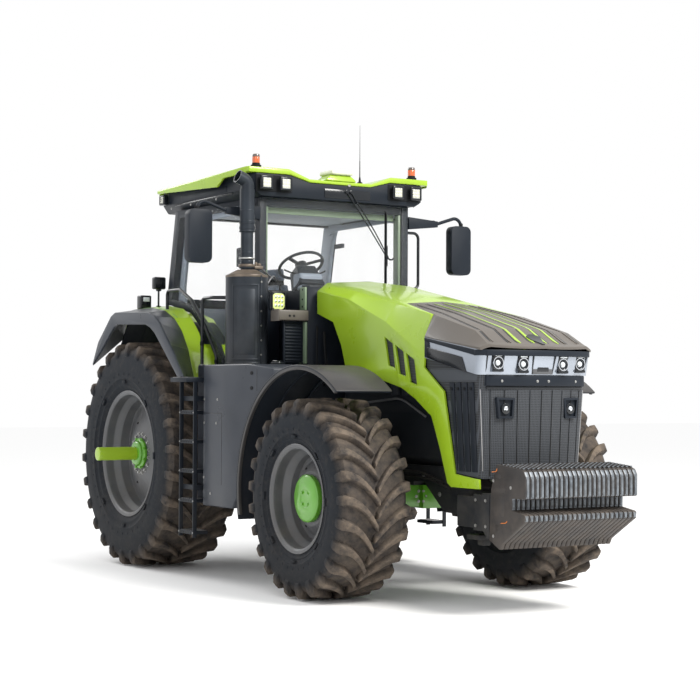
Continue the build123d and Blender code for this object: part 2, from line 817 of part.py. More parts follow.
# ---------------------------------------------------------------- cab
# rear pillar: upright to the knee, then leaning forwards to the roof
rear_pillar_foot_y = 1950.0
rear_pillar_knee_z = 2150.0
rear_pillar_head_y = 1727.0
belt_z = 2350.0


def rear_pillar_y(z):
    """Where the leaning rear pillar stands at a height."""
    share = (z - rear_pillar_knee_z) / (pillar_top_z - rear_pillar_knee_z)
    return rear_pillar_foot_y + (rear_pillar_head_y - rear_pillar_foot_y) * max(0.0, share)


floor_top_z = cab_floor_z + cab_floor_thickness
cowl_top_z = 2400.0
rear_floor_half = fender_inner_x - 15.0 - seat_gap
side_slope = (rear_pillar_x - front_pillar_x) / (rear_pillar_head_y - cab_front_y)
side_angle = math.degrees(math.atan(side_slope))
# distances out from the line of pillar centres: rails and sills, fixed panes, door
rail_offset = pillar_width / 2 + 3.3
pane_offset = rail_offset + seat_gap
door_offset = rail_offset + 5.3
sill_depth = 50.0
sill_outline = (
    (0, cab_floor_z), (580, cab_floor_z), (605, 1745), (725, 1975), (1110, 2262),
    (1500, belt_z), (1500, belt_z + 60), (1080, 2322), (675, 2010), (530, floor_top_z + 15),
    (0, floor_top_z + 15),
)


def side_pane_plane(sign, offset):
    """Upright plane along a cab side, an offset outside the pillars' centres; local x runs rearwards."""
    angle = math.radians(side_angle)
    return Plane(
        origin=(sign * (front_pillar_x + offset), cab_front_y, 0),
        x_dir=(sign * math.sin(angle), math.cos(angle), 0),
        z_dir=(math.cos(angle), -sign * math.sin(angle), 0),
    )


# door hinges: upright pins on the left rear pillar, straps on the door pane
hinge_levels = (2560.0, 2960.0)
hinge_pin_radius = 9.0
strap_thickness = 28.0
hinge_along = 1480.0
hinge_point = side_pane_plane(1, door_offset + glass + seat_gap).from_local_coords(
    Vector(hinge_along, 0, strap_thickness / 2)
)
hinge_x = hinge_point.X
hinge_y = hinge_point.Y
with BuildPart() as cab_frame:
    for sign in (-1, 1):
        for z in (cab_floor_z, pillar_top_z):
            with BuildSketch(Plane.XY.offset(z)):
                with Locations((sign * front_pillar_x, cab_front_y)):
                    Rectangle(pillar_width, pillar_depth)
        loft()
        for z in (belt_z, pillar_top_z):
            with BuildSketch(Plane.XY.offset(z)):
                with Locations((sign * rear_pillar_x, rear_pillar_y(z))):
                    Rectangle(pillar_width, pillar_depth + 20)
        loft()
        # roof rail and sill on each side
        with BuildSketch(Plane.XY.offset(pillar_top_z - 70)):
            with BuildLine():
                Polyline(
                    (sign * (front_pillar_x - 30), cab_front_y),
                    (sign * (front_pillar_x + rail_offset), cab_front_y),
                    (sign * (rear_pillar_x + rail_offset), rear_pillar_head_y),
                    (sign * (rear_pillar_x - 30), rear_pillar_head_y), close=True,
                )
            make_face()
        extrude(amount=70)
        # local z of the side plane points to +X on both sides, so the right sill grows from its outside
        with BuildSketch(side_pane_plane(sign, rail_offset if sign < 0 else rail_offset - sill_depth)):
            with BuildLine():
                Polyline(*sill_outline, close=True)
            make_face()
        extrude(amount=sill_depth)
        block(sign * 740, sign * 833, 1850, 1950, belt_z, belt_z + 60)
    block(-front_pillar_x, front_pillar_x, cab_front_y - 30, cab_front_y + 30, pillar_top_z - 70, pillar_top_z)
    block(
        -rear_pillar_x, rear_pillar_x, rear_pillar_head_y - 30, rear_pillar_head_y + 30,
        pillar_top_z - 70, pillar_top_z,
    )
    block(-740, 740, 1890, 1950, belt_z, belt_z + 60)
    # floor: full width in front of the wheel arches, narrower between them
    with BuildSketch(Plane.XY.offset(cab_floor_z)):
        with BuildLine():
            Polyline(
                (-735, cab_front_y - 30), (735, cab_front_y - 30), (735, 950), (rear_floor_half, 950),
                (rear_floor_half, 1950), (-rear_floor_half, 1950), (-rear_floor_half, 950),
                (-735, 950), close=True,
            )
        make_face()
    extrude(amount=cab_floor_thickness)
    # walls under the windows: firewall and rear wall
    block(-690, 690, cab_front_y - 30, cab_front_y - 10, cab_floor_z, cowl_top_z)
    block(-rear_floor_half, rear_floor_half, 1930, 1950, cab_floor_z, belt_z + 1)
    # hinge brackets with their upright pins on the left rear pillar
    for level in hinge_levels:
        block(
            rear_pillar_x + pillar_width / 2 - 5, rear_pillar_x + pillar_width / 2 + 14,
            rear_pillar_y(level) + 20, hinge_y + 60, level - 60, level - 26,
        )
        block(rear_pillar_x + pillar_width / 2, hinge_x + 16, hinge_y + 25, hinge_y + 60, level - 60, level - 26)
        block(hinge_x - 16, hinge_x + 16, hinge_y - 16, hinge_y + 62, level - 60, level - 26)
        with Locations((hinge_x, hinge_y, level)):
            Cylinder(hinge_pin_radius, 70)
save(cab_frame.part, "cab_frame")


right_pane_outline = (
    (15, 1790), (545, 1790), (700, 1998), (1090, 2300), (1490, 2385), (1335, 3150), (15, 3150),
)
door_bottom_z = 1805.0
door_outline = (
    (15, door_bottom_z), (130, door_bottom_z), (235, 1920), (400, 2180), (640, 2275), (1080, 2310),
    (1450, 2395), (1330, 3150), (15, 3150),
)
quarter_outline = (
    (140, 1790), (545, 1790), (700, 1998), (1076, 2289), (1076, 2302), (644, 2267), (406, 2172), (243, 1912),
)


def pane(plane, outline, thickness):
    """Flat sheet standing on a plane, towards its local z."""
    with BuildPart() as sheet:
        with BuildSketch(plane):
            with BuildLine():
                Polyline(*outline, close=True)
            make_face()
        extrude(amount=thickness)
    return sheet.part


side_pane = pane(side_pane_plane(-1, pane_offset), right_pane_outline, -glass)
quarter_pane = pane(side_pane_plane(1, pane_offset), quarter_outline, glass)
save(pane(side_pane_plane(1, door_offset), door_outline, glass), "door_glass_left")

windscreen_bottom_z = 2400.3
with BuildPart() as windscreen:
    with BuildSketch(Plane.XY.offset(windscreen_bottom_z)):
        with BuildLine():
            front = cab_front_y - pillar_depth / 2 - seat_gap
            outer = ThreePointArc((-742, front), (0, front - 55), (742, front))
            inner = ThreePointArc((-742, front - glass), (0, front - 55 - glass), (742, front - glass))
            Line(outer @ 0, inner @ 0)
            Line(outer @ 1, inner @ 1)
        make_face()
    extrude(amount=3196 - windscreen_bottom_z)

rear_lean = math.degrees(
    math.atan((rear_pillar_foot_y - rear_pillar_head_y) / (pillar_top_z - rear_pillar_knee_z))
)
with BuildPart() as rear_glass:
    back = (pillar_depth + 20) / 2 + 0.4
    with BuildSketch(Plane.YZ.offset(-826)):
        with BuildLine():
            low_y = rear_pillar_y(2425) + back
            high_y = rear_pillar_y(3190) + back
            Polyline(
                (low_y, 2425), (low_y + glass, 2425), (high_y + glass, 3190), (high_y, 3190), close=True
            )
        make_face()
    extrude(amount=2 * 826)
with BuildPart() as fixed_glass:
    add(side_pane)
    add(quarter_pane)
    add(windscreen.part)
    add(rear_glass.part)
save(fixed_glass.part, "cab_glass")

with BuildPart() as door_fittings:
    for level in hinge_levels:
        with BuildSketch(side_pane_plane(1, door_offset + glass + seat_gap)):
            with Locations((hinge_along - 105, level)):
                Rectangle(238, 40)
        extrude(amount=strap_thickness)
    for level in hinge_levels:
        with Locations((hinge_x, hinge_y, level)):
            Cylinder(hinge_pin_radius + running_gap, 90, mode=Mode.SUBTRACT)
    # outside handle with its lock case
    with BuildSketch(side_pane_plane(1, door_offset + glass + seat_gap)):
        with Locations((80, 2180)):
            RectangleRounded(70, 210, 20)
    extrude(amount=34)
save(door_fittings.part, "door_fittings_left")

# ---------------------------------------------------------------- roof
roof_rear_z = pillar_top_z + 205.0
valance_half = 865.0
valance_rise = pillar_top_z + 192.0
valance_top = (
    (-valance_half, valance_rise), (-500, valance_rise), (-300, valance_rise - 52),
    (300, valance_rise - 52), (500, valance_rise), (valance_half, valance_rise),
)
roof_base_z = pillar_top_z + seat_gap
with BuildPart() as roof_valance:
    with BuildSketch(Plane.XZ.offset(-roof_front_y - 10)):
        with BuildLine():
            Polyline(
                (-valance_half, roof_base_z + 60), (-770, roof_base_z), (770, roof_base_z),
                (valance_half, roof_base_z + 60), *reversed(valance_top), close=True,
            )
        make_face()
    extrude(amount=-(roof_rear_y - roof_front_y - 40))
    with BuildSketch(Plane.XY.offset(roof_base_z)):
        with BuildLine():
            Polyline(
                (-820, roof_front_y + 10), (820, roof_front_y + 10), (valance_half, roof_front_y + 60),
                (valance_half, 1975), (780, roof_rear_y - 30), (-780, roof_rear_y - 30),
                (-valance_half, 1975), (-valance_half, roof_front_y + 60), close=True,
            )
        make_face()
    extrude(amount=300, mode=Mode.INTERSECT)
save(roof_valance.part, "roof_valance")

with BuildPart() as roof_shell:
    for y, edge, dip in ((roof_front_y, roof_top_z, roof_dip_z), (roof_rear_y, roof_rear_z, roof_rear_z - 25)):
        with BuildSketch(Plane.XZ.offset(-y)):
            with BuildLine():
                Polyline(
                    *((x, z + seat_gap) for x, z in valance_top),
                    (roof_half_width, valance_rise + seat_gap), (roof_half_width, edge - 8),
                    (roof_half_width - 30, edge), (510, edge), (310, dip), (-310, dip), (-510, edge),
                    (-roof_half_width + 30, edge), (-roof_half_width, edge - 8),
                    (-roof_half_width, valance_rise + seat_gap), close=True,
                )
            make_face()
    loft(ruled=True)
    for sign in (-1, 1):
        with BuildSketch(Plane.YZ.offset(sign * (roof_half_width - 13.0) - 13.0)):
            with BuildLine():
                Polyline(
                    (roof_front_y, valance_rise - 12), (640, valance_rise - 16), (760, valance_rise - 80),
                    (roof_rear_y, valance_rise - 16), (roof_rear_y, valance_rise + 1),
                    (roof_front_y, valance_rise + 1), close=True,
                )
            make_face()
        extrude(amount=26)
    block(-roof_half_width, roof_half_width, roof_rear_y - 26, roof_rear_y, valance_rise - 32, valance_rise + 1)
    with BuildSketch(Plane.XY.offset(pillar_top_z)):
        with BuildLine():
            Polyline(
                (-roof_front_half, roof_front_y), (roof_front_half, roof_front_y),
                (roof_half_width, roof_front_y + 80), (roof_half_width, 1960), (850, roof_rear_y),
                (-850, roof_rear_y), (-roof_half_width, 1960), (-roof_half_width, roof_front_y + 80),
                close=True,
            )
        make_face()
    extrude(amount=300, mode=Mode.INTERSECT)
save(roof_shell.part, "roof_shell")

lamp_depth = 30.0
lamp_z = pillar_top_z + 108.0
with BuildPart() as work_lamps:
    for sign in (-1, 1):
        for x in (562.0, 746.0):
            with Locations((sign * x, roof_front_y + 10 - seat_gap - lamp_depth / 2, lamp_z)):
                Box(116, lamp_depth, 120)
        for x in (470.0, 640.0):
            with Locations((sign * x, roof_rear_y - 30 + seat_gap + lamp_depth / 2, pillar_top_z + 95)):
                Box(128, lamp_depth, 100)
        with Locations((sign * (valance_half + seat_gap + 28), 1910, pillar_top_z + 110)):
            Box(56, 110, 98)
save(work_lamps.part, "roof_work_lamps")

beacon_x = 782.0
beacon_y = 330.0
roof_fall = (roof_top_z - roof_rear_z) / (roof_rear_y - roof_front_y)
beacon_base_z = roof_top_z - (beacon_y - 46 - roof_front_y) * roof_fall + seat_gap
with BuildPart() as beacons:
    for sign in (-1, 1):
        for radius, z0, z1 in ((46.0, 0.0, 26.0), (34.0, 26.0, 44.0), (31.0, 44.0, 118.0)):
            with Locations((sign * beacon_x, beacon_y, beacon_base_z + (z0 + z1) / 2)):
                Cylinder(radius, z1 - z0)
save(beacons.part, "beacons")

whip_top_z = pillar_top_z + 680.0
with BuildPart() as receiver:
    with BuildSketch(Plane.XY.offset(roof_dip_z + 1.5)):
        with Locations((0, 320)):
            Rectangle(300, 180)
    with BuildSketch(Plane.XY.offset(roof_dip_z + 58)):
        with Locations((0, 320)):
            Rectangle(200, 150)
    loft()
    with Locations((0, 320, roof_dip_z + 76)):
        Cylinder(112, 38)
    with Locations((225, 300, roof_dip_z + 1.2 + 15)):
        Cylinder(24, 30)
    with Locations((225, 300, (roof_dip_z + 10 + whip_top_z) / 2)):
        Cylinder(4, whip_top_z - roof_dip_z - 10)
save(receiver.part, "receiver_and_antenna")

# ---------------------------------------------------------------- mirrors
mirror_x = 1306.0
mirror_z = 2841.0
mirror_arm_z = pillar_top_z - 140.0
mirror_arm_y = cab_front_y - 30.0
mirror_stem_x = mirror_x + 20.0
mirror_size = (210.0, 90.0, 440.0)
with BuildPart() as mirror_arm:
    for x, drop, size in (
        (front_pillar_x + pillar_width / 2 + seat_gap, 0.0, (60, 108)), (1060.0, -6.0, (44, 52)),
    ):
        with BuildSketch(Plane.YZ.offset(x)):
            with Locations((mirror_arm_y, mirror_arm_z - drop)):
                Rectangle(*size)
    loft()
    tube(
        (
            (1050, mirror_arm_y, mirror_arm_z + 6), (mirror_stem_x, mirror_arm_y, mirror_arm_z + 95),
            (mirror_stem_x, mirror_arm_y, mirror_z + 60),
        ),
        15, 70,
    )
with BuildPart() as mirror_housing:
    with Locations((mirror_x, mirror_arm_y + 8, mirror_z)):
        Box(*mirror_size)
    fillet(mirror_housing.edges().filter_by(Axis.Y), 52)
    add(mirror_arm.part)
save_pair(mirror_housing.part, "mirrors")

# ---------------------------------------------------------------- side tanks and front fenders
fender_sector = (
    (fender_arc_y, fender_arc_z), (fender_arc_y + 1352, 428), (fender_arc_y + 1420, 2400),
    (fender_arc_y - 842, 2400), (fender_arc_y - 842, 1908),
)
with BuildPart() as tank:
    with BuildSketch(Plane.YZ.offset(tank_inner_x)):
        with BuildLine():
            Polyline(
                (tank_rear_y, tank_bottom_z), (tank_rear_y, tank_top_z), (-300, tank_top_z),
                (tank_front_y, 1742), (tank_front_y, 1400), (-60, tank_bottom_z), close=True,
            )
        make_face()
        with Locations((fender_arc_y, fender_arc_z)):
            Circle(fender_radius + seat_gap, mode=Mode.SUBTRACT)
    extrude(amount=tank_outer_x - tank_inner_x)
    # seen from above: a recess for the ladder at the back, a taper towards the front wheel
    with BuildSketch(Plane.XY.offset(tank_bottom_z - 1)):
        with BuildLine():
            Polyline(
                (tank_inner_x, tank_rear_y), (tank_recess_x, tank_rear_y), (tank_recess_x, tank_recess_y),
                (tank_outer_x, tank_recess_y), (tank_outer_x, 90), (tank_outer_x - 65, tank_front_y),
                (tank_inner_x, tank_front_y), close=True,
            )
        make_face()
    extrude(amount=tank_top_z - tank_bottom_z + 2, mode=Mode.INTERSECT)
    outer = tank.edges().filter_by(Axis.Z).filter_by(lambda e: abs(e.center().X - tank_outer_x) < 1)
    fillet(outer, 30)
save_pair(tank.part, "side_tanks")
with BuildPart() as front_fender:
    with BuildSketch(Plane.YZ.offset(720)):
        with Locations((fender_arc_y, fender_arc_z)):
            Circle(fender_radius)
            Circle(fender_radius - fender_sheet, mode=Mode.SUBTRACT)
        with BuildLine():
            Polyline(*fender_sector, close=True)
        make_face(mode=Mode.INTERSECT)
    extrude(amount=480)
save_pair(front_fender.part, "front_fenders")

# ---------------------------------------------------------------- exhaust can and stack, side lamp
with BuildPart() as exhaust_can:
    with Locations((can_x, can_y, (can_bottom_z + can_top_z) / 2)):
        Cylinder(can_radius, can_top_z - can_bottom_z)
    with Locations((can_x, can_y, can_top_z + 22)):
        Cone(can_radius - 4, 80, 44)
save(exhaust_can.part, "exhaust_can")

stack_parts = (
    (52.0, can_top_z + 44.3, 2900.0), (66.0, can_top_z + 60.0, can_top_z + 84.0),
    (62.0, 2880.0, 3236.0), (66.0, 2905.0, 2925.0), (66.0, 2950.0, 2970.0),
)
stack_top_z = 3300.0
stack_mouth_x = can_x - 92.0
with BuildPart() as exhaust_stack:
    for radius, z0, z1 in stack_parts:
        with Locations((can_x, can_y, (z0 + z1) / 2)):
            Cylinder(radius, z1 - z0)
    with BuildLine() as elbow_path:
        FilletPolyline(
            (can_x, can_y, 3230), (can_x, can_y, stack_top_z), (stack_mouth_x, can_y, stack_top_z + 40),
            radius=60,
        )
    with BuildSketch(Plane(origin=elbow_path.line @ 0, z_dir=elbow_path.line % 0)):
        Circle(56)
    sweep()
    mouth = Plane(origin=elbow_path.line @ 1, z_dir=-(elbow_path.line % 1))
    with BuildSketch(mouth):
        Circle(50)
    extrude(amount=60, mode=Mode.SUBTRACT)
save(exhaust_stack.part, "exhaust_stack")

# cowl behind the hood: dark bulkhead, side panels and the lamp bracket
bulkhead_front_y = -165.0
bulkhead_half = 560.0
with BuildPart() as cowl:
    block(-bulkhead_half, bulkhead_half, bulkhead_front_y, -105, 1500, 2425)
    block(-545, 545, -106, cab_front_y - 30 - seat_gap, 1512, cowl_top_z)
    # goose-neck brackets and pins that carry the hood
    for sign in (-1, 1):
        inner = sign * (hood_bracket_x - 12)
        outer = sign * hood_bracket_x
        block(inner, outer, hood_pin_y - 22, hood_pin_y + 22, hood_pin_z - 150, hood_pin_z + 14)
        block(inner, outer, hood_pin_y - 22, bulkhead_front_y + 1, hood_pin_z - 150, hood_pin_z - 100)
        with Locations(Location((sign * (hood_bracket_x + 8), hood_pin_y, hood_pin_z), (0, 90, 0))):
            Cylinder(hood_pin_radius, 44)
save(cowl.part, "cowl")

with BuildPart() as side_lamp:
    block(bulkhead_half + seat_gap, 840, -190, -60, 2140, 2225)
    with Locations((800, -60, 2300)):
        Box(120, 90, 150)
save_pair(side_lamp.part, "side_lamps")

# ---------------------------------------------------------------- ladders and rails
with BuildPart() as ladder:
    for y in (ladder_front_y + 7, ladder_rear_y - 7):
        block(ladder_inner_x, ladder_outer_x, y - 7, y + 7, ladder_step_z[0] - 40, ladder_top_z)
    for level in ladder_step_z:
        block(
            tank_recess_x + 30, ladder_outer_x, ladder_front_y + 13, ladder_rear_y - 13,
            level - 14, level + 14,
        )
    block(
        tank_recess_x + seat_gap, ladder_outer_x + 78, ladder_front_y - 16,
        ladder_rear_y + 14, ladder_top_z - 1, ladder_top_z + 36,
    )
    for level in (760.0, 1500.0):
        block(
            tank_recess_x + seat_gap, ladder_inner_x + 1, ladder_front_y,
            ladder_rear_y, level - 20, level + 20,
        )
save_pair(ladder.part, "ladders")

# ---------------------------------------------------------------- rear fenders
# fender arches seen from the side, from the front foot over the top to the rear edge,
# given as (place behind the rear axle, height): under the cab's sill, beside the cab,
# where the flare starts, at its outer edge
arch_cab = (
    (-820, 1660), (-690, 1924), (-560, 2016), (-430, 2112), (-300, 2215), (157, 2324), (600, 2325), (700, 2259),
    (790, 2200),
)
arch_inner = (
    (-815, 1660), (-710, 1880), (-575, 2075), (-420, 2215), (-260, 2300), (34, 2340), (500, 2345), (680, 2318),
    (790, 2200),
)
arch_middle = (
    (-812, 1660), (-690, 1925), (-560, 2090), (-410, 2205), (-215, 2282), (60, 2318), (440, 2320), (620, 2240),
    (735, 2060),
)
arch_outer = (
    (-1255, 1672), (-983, 1961), (-784, 2145), (-668, 2214), (-552, 2244), (146, 2268), (240, 2236),
    (530, 2008), (655, 1812),
)
lip_inner = (
    (-1172, 1672), (-893, 1905), (-700, 2062), (-610, 2110), (-510, 2140), (100, 2160), (185, 2135),
    (470, 1930), (628, 1830),
)
arch_sheet = 22.0
fender_sill_x = 839.0
fender_break_x = 860.0
flare_start_x = 1020.0
flare_end_x = 1350.0


def blended(one, two, share):
    """Points part of the way from one list to another."""
    return [(y0 + share * (y1 - y0), z0 + share * (z1 - z0)) for (y0, z0), (y1, z1) in zip(one, two)]


def arch_points(x):
    """The arch's outside at a distance from the middle, as (y, z) points."""
    if x <= fender_sill_x:
        points = list(arch_cab)
    elif x <= fender_break_x:
        points = blended(arch_cab, arch_inner, (x - fender_sill_x) / (fender_break_x - fender_sill_x))
    elif x <= flare_start_x + seat_gap:
        points = blended(arch_inner, arch_middle, (x - fender_break_x) / (flare_start_x - fender_break_x))
    else:
        points = blended(arch_middle, arch_outer, (x - flare_start_x) / (flare_end_x - flare_start_x))
    return [(rear_axle_y + back, height) for back, height in points]


def arch_band(x):
    """Closed outline of the arch sheet at a distance from the middle."""
    outline = arch_points(x)
    under = []
    for y, z in outline:
        reach = math.hypot(y - rear_axle_y, z - rear_tyre_radius)
        scale = (reach - arch_sheet) / reach
        under.append((rear_axle_y + (y - rear_axle_y) * scale, rear_tyre_radius + (z - rear_tyre_radius) * scale))
    return outline + under[::-1]


def arch_loft(stations):
    """Sheet lofted through places given as distances from the middle."""
    with BuildPart() as sheet:
        for x in stations:
            with BuildSketch(Plane.YZ.offset(x)):
                with BuildLine():
                    Polyline(*arch_band(x), close=True)
                make_face()
        loft(ruled=True)
    return sheet.part


def fender_height(x, y):
    """Height of the fender's top at a place."""
    outline = arch_points(x)
    for (y0, z0), (y1, z1) in zip(outline, outline[1:]):
        if y0 <= y <= y1:
            return z0 + (z1 - z0) * (y - y0) / (y1 - y0)
    return outline[-1][1]


def seat_height(x, y, half):
    """Height at which something square of a half size comes to rest on the fender."""
    return max(fender_height(x + i * half, y + j * half) for i in (-1, 1) for j in (-1, 1))


with BuildPart() as rear_fender:
    add(arch_loft((fender_inner_x, fender_sill_x)))
    add(arch_loft((fender_sill_x, fender_break_x)))
    add(arch_loft((fender_break_x, flare_start_x)))
    with BuildSketch(Plane.YZ.offset(fender_inner_x - 15)):
        with BuildLine():
            Polyline(
                *arch_points(fender_inner_x), (rear_axle_y + 790, 1500), (rear_axle_y - 815, 1500), close=True,
            )
        make_face()
    extrude(amount=16)
save_pair(rear_fender.part, "rear_fenders")
with BuildPart() as fender_flare:
    add(arch_loft((flare_start_x + seat_gap, flare_end_x)))
    # rolled lip round the outer edge
    with BuildSketch(Plane.YZ.offset(flare_end_x - arch_sheet)):
        with BuildLine():
            Polyline(
                *arch_points(flare_end_x), *((rear_axle_y + back, z) for back, z in reversed(lip_inner)), close=True,
            )
        make_face()
    extrude(amount=arch_sheet)
    for x1, y1, z1 in (
        (tank_outer_x + 6, tank_rear_y + 6, tank_top_z + 6),
        (flare_end_x + 20, ladder_rear_y + 20, ladder_top_z + 42),
    ):
        with Locations(((500 + x1) / 2, (300 + y1) / 2, (1500 + z1) / 2)):
            Box(x1 - 500, y1 - 300, z1 - 1500, mode=Mode.SUBTRACT)
save_pair(fender_flare.part, "fender_flares")

# ---------------------------------------------------------------- handrails
rail_radius = 15.0
with BuildPart() as handrails:
    # right side: hoop from the tank to the can, and the long rail up to the fender
    tube(
        (
            (-1070, 742, tank_top_z + seat_gap), (-1070, 742, 2350), (-1070, 560, 2350),
            (can_x, 480, 2350), (can_x, can_y + can_radius + seat_gap, 2350),
        ),
        rail_radius, 45,
    )
    rail_end_y = 1620.0
    rail_x = 985.0
    tube(
        (
            (-rail_x, 640, tank_top_z + seat_gap), (-rail_x, 640, 1860), (-rail_x, 868, 2130),
            (-rail_x, 1126, 2357), (-rail_x, 1359, 2460), (-rail_x, rail_end_y, 2460),
            (-rail_x, rail_end_y, fender_height(rail_x - rail_radius, rail_end_y + rail_radius) + running_gap),
        ),
        rail_radius, 40,
    )
    # left side: grab handle on the front pillar
    handle_x = front_pillar_x + pillar_width / 2 + seat_gap
    tube(
        (
            (handle_x, 345, 2975), (handle_x + 120, 345, 2975), (handle_x + 120, 345, 2480),
            (handle_x, 345, 2480),
        ),
        13, 50,
    )
save(handrails.part, "handrails")


# ---------------------------------------------------------------- lamps on the rear fenders
fender_lamp_x = 900.0
fender_lamp_y = 1990.0
tail_lamp_x = 960.0
tail_lamp_y = 2180.0
with BuildPart() as fender_lamps:
    for sign in (-1, 1):
        # work lamp on a stalk
        foot_z = seat_height(fender_lamp_x, fender_lamp_y, 10) + seat_gap
        with Locations((sign * fender_lamp_x, fender_lamp_y, foot_z + 80)):
            Cylinder(10, 160)
        with Locations((sign * fender_lamp_x, fender_lamp_y, foot_z + 215)):
            Box(120, 80, 115)
        # tail lamp
        foot_z = seat_height(tail_lamp_x, tail_lamp_y, 55) + seat_gap
        with Locations((sign * tail_lamp_x, tail_lamp_y, foot_z + 60)):
            Box(110, 110, 120)
save(fender_lamps.part, "fender_lamps")

# ---------------------------------------------------------------- inside the cab
seat_y = 1330.0
with BuildPart() as seat:
    block(-180, 180, seat_y - 170, seat_y + 170, floor_top_z + seat_gap, floor_top_z + 330)
    block(-250, 250, seat_y - 260, seat_y + 240, floor_top_z + 329, floor_top_z + 450)
    with BuildSketch(Plane.YZ.offset(-240)):
        with BuildLine():
            Polyline(
                (seat_y + 130, floor_top_z + 440), (seat_y + 250, floor_top_z + 440),
                (seat_y + 350, floor_top_z + 980), (seat_y + 240, floor_top_z + 990), close=True,
            )
        make_face()
    extrude(amount=480)
save(seat.part, "seat")

wheel_y = 930.0
wheel_z = 2690.0
wheel_tilt = 32.0
column_plane = Plane(
    origin=(0, wheel_y, wheel_z),
    x_dir=(1, 0, 0),
    z_dir=(0, math.sin(math.radians(wheel_tilt)), math.cos(math.radians(wheel_tilt))),
)
with BuildPart() as console:
    with BuildSketch(Plane.XY.offset(floor_top_z + seat_gap)):
        with Locations((0, 620)):
            Rectangle(260, 240)
    with BuildSketch(Plane.XY.offset(2500)):
        with Locations((0, 700)):
            Rectangle(200, 180)
    loft()
    with BuildSketch(column_plane.offset(-260)):
        Rectangle(250, 200)
    with BuildSketch(column_plane.offset(-49.3)):
        Rectangle(190, 150)
    loft()
save(console.part, "steering_console")

steering_radius = 200.0
with BuildPart() as steering_wheel:
    with BuildSketch(Plane(origin=(0, wheel_y, wheel_z), x_dir=(1, 0, 0), z_dir=(0, -1, 0))) as rim_section:
        with Locations((steering_radius, 0)):
            Circle(13)
    revolve(axis=Axis((0, wheel_y, wheel_z), (0, 0, 1)))
    for angle in (90.0, 210.0, 330.0):
        with Locations(Location((0, wheel_y, wheel_z), (0, 0, angle))):
            with Locations((steering_radius / 2, 0, 0)):
                Box(steering_radius, 30, 12)
    with Locations((0, wheel_y, wheel_z - 16)):
        Cylinder(52, 66)
turned_wheel = steering_wheel.part.rotate(Axis((0, wheel_y, wheel_z), (-1, 0, 0)), wheel_tilt)
save(turned_wheel, "steering_wheel")

with BuildPart() as armrest:
    block(-430, -270, seat_y - 330, seat_y + 150, floor_top_z + 560, floor_top_z + 640)
    block(-380, -300, seat_y - 40, seat_y + 60, floor_top_z + seat_gap, floor_top_z + 561)
    block(-480, -460, seat_y - 240, seat_y - 80, floor_top_z + 920, floor_top_z + 1080)
    block(-461, -415, seat_y - 170, seat_y - 150, floor_top_z + 560, floor_top_z + 1000)
save(armrest.part, "armrest_and_monitor")

# ---------------------------------------------------------------- rear hitch, drawbar and power take-off
lift_arm_length = 400.0
lift_arm_rise = 40.0
lift_arm_x = 360.0
lift_tip_y = rockshaft_y + lift_arm_length
lift_tip_z = rockshaft_z + lift_arm_rise
rod_pin_y = 2610.0
link_end_z = 560.0
ball_radius = 40.0
with BuildPart() as lift_arms:
    with Locations(Location((0, rockshaft_y, rockshaft_z), (0, 90, 0))):
        Cylinder(45, 2 * lift_arm_x)
    for sign in (-1, 1):
        with BuildSketch(Plane.YZ.offset(sign * lift_arm_x - 22)):
            with Locations((rockshaft_y, rockshaft_z)):
                Circle(80)
            with Locations((lift_tip_y, lift_tip_z)):
                Circle(42)
            with BuildLine():
                Polyline(
                    (rockshaft_y, rockshaft_z + 78), (lift_tip_y, lift_tip_z + 41),
                    (lift_tip_y, lift_tip_z - 41), (rockshaft_y, rockshaft_z - 78), close=True,
                )
            make_face()
        extrude(amount=44)
        with Locations(Location((sign * (lift_arm_x + 45), lift_tip_y, lift_tip_z), (0, 90, 0))):
            Cylinder(16, 60)
save(lift_arms.part, "lift_arms")

rod_x = 420.0
with BuildPart() as rod:
    for y, z, hole in ((lift_tip_y, lift_tip_z, 16 + running_gap), (rod_pin_y, link_end_z, 32.0)):
        with Locations(Location((rod_x, y, z), (0, 90, 0))):
            Cylinder(hole + 22, 36)
    with BuildSketch(Plane.YZ.offset(rod_x - 16)):
        with BuildLine():
            Polyline(
                (lift_tip_y - 24, lift_tip_z), (lift_tip_y + 24, lift_tip_z),
                (rod_pin_y + 24, link_end_z), (rod_pin_y - 24, link_end_z), close=True,
            )
        make_face()
    extrude(amount=32)
    for y, z, hole in ((lift_tip_y, lift_tip_z, 16 + running_gap), (rod_pin_y, link_end_z, 32.0)):
        with Locations(Location((rod_x, y, z), (0, 90, 0))):
            Cylinder(hole, 60, mode=Mode.SUBTRACT)
save_pair(rod.part, "lift_rods")

with BuildPart() as link:
    x = rod_x + 48
    with BuildSketch(Plane.YZ.offset(x - 15)):
        with BuildLine():
            Polyline(
                (link_pivot_y, link_pivot_z + 34), (rod_pin_y, link_end_z + 46),
                (hitch_end_y - ball_radius, link_end_z + 34), (hitch_end_y - ball_radius, link_end_z - 34),
                (rod_pin_y, link_end_z - 46), (link_pivot_y, link_pivot_z - 34), close=True,
            )
        make_face()
        with Locations((link_pivot_y, link_pivot_z)):
            Circle(34)
    extrude(amount=30)
    with Locations(Location((x, hitch_end_y - ball_radius, link_end_z), (0, 90, 0))):
        Cylinder(ball_radius, 44)
        Cylinder(14.1, 60, mode=Mode.SUBTRACT)
    with Locations(Location((rod_x + 12, rod_pin_y, link_end_z), (0, 90, 0))):
        Cylinder(15, 56)
    with Locations(Location((x, link_pivot_y, link_pivot_z), (0, 90, 0))):
        Cylinder(18 + running_gap, 60, mode=Mode.SUBTRACT)
save_pair(link.part, "lower_links")

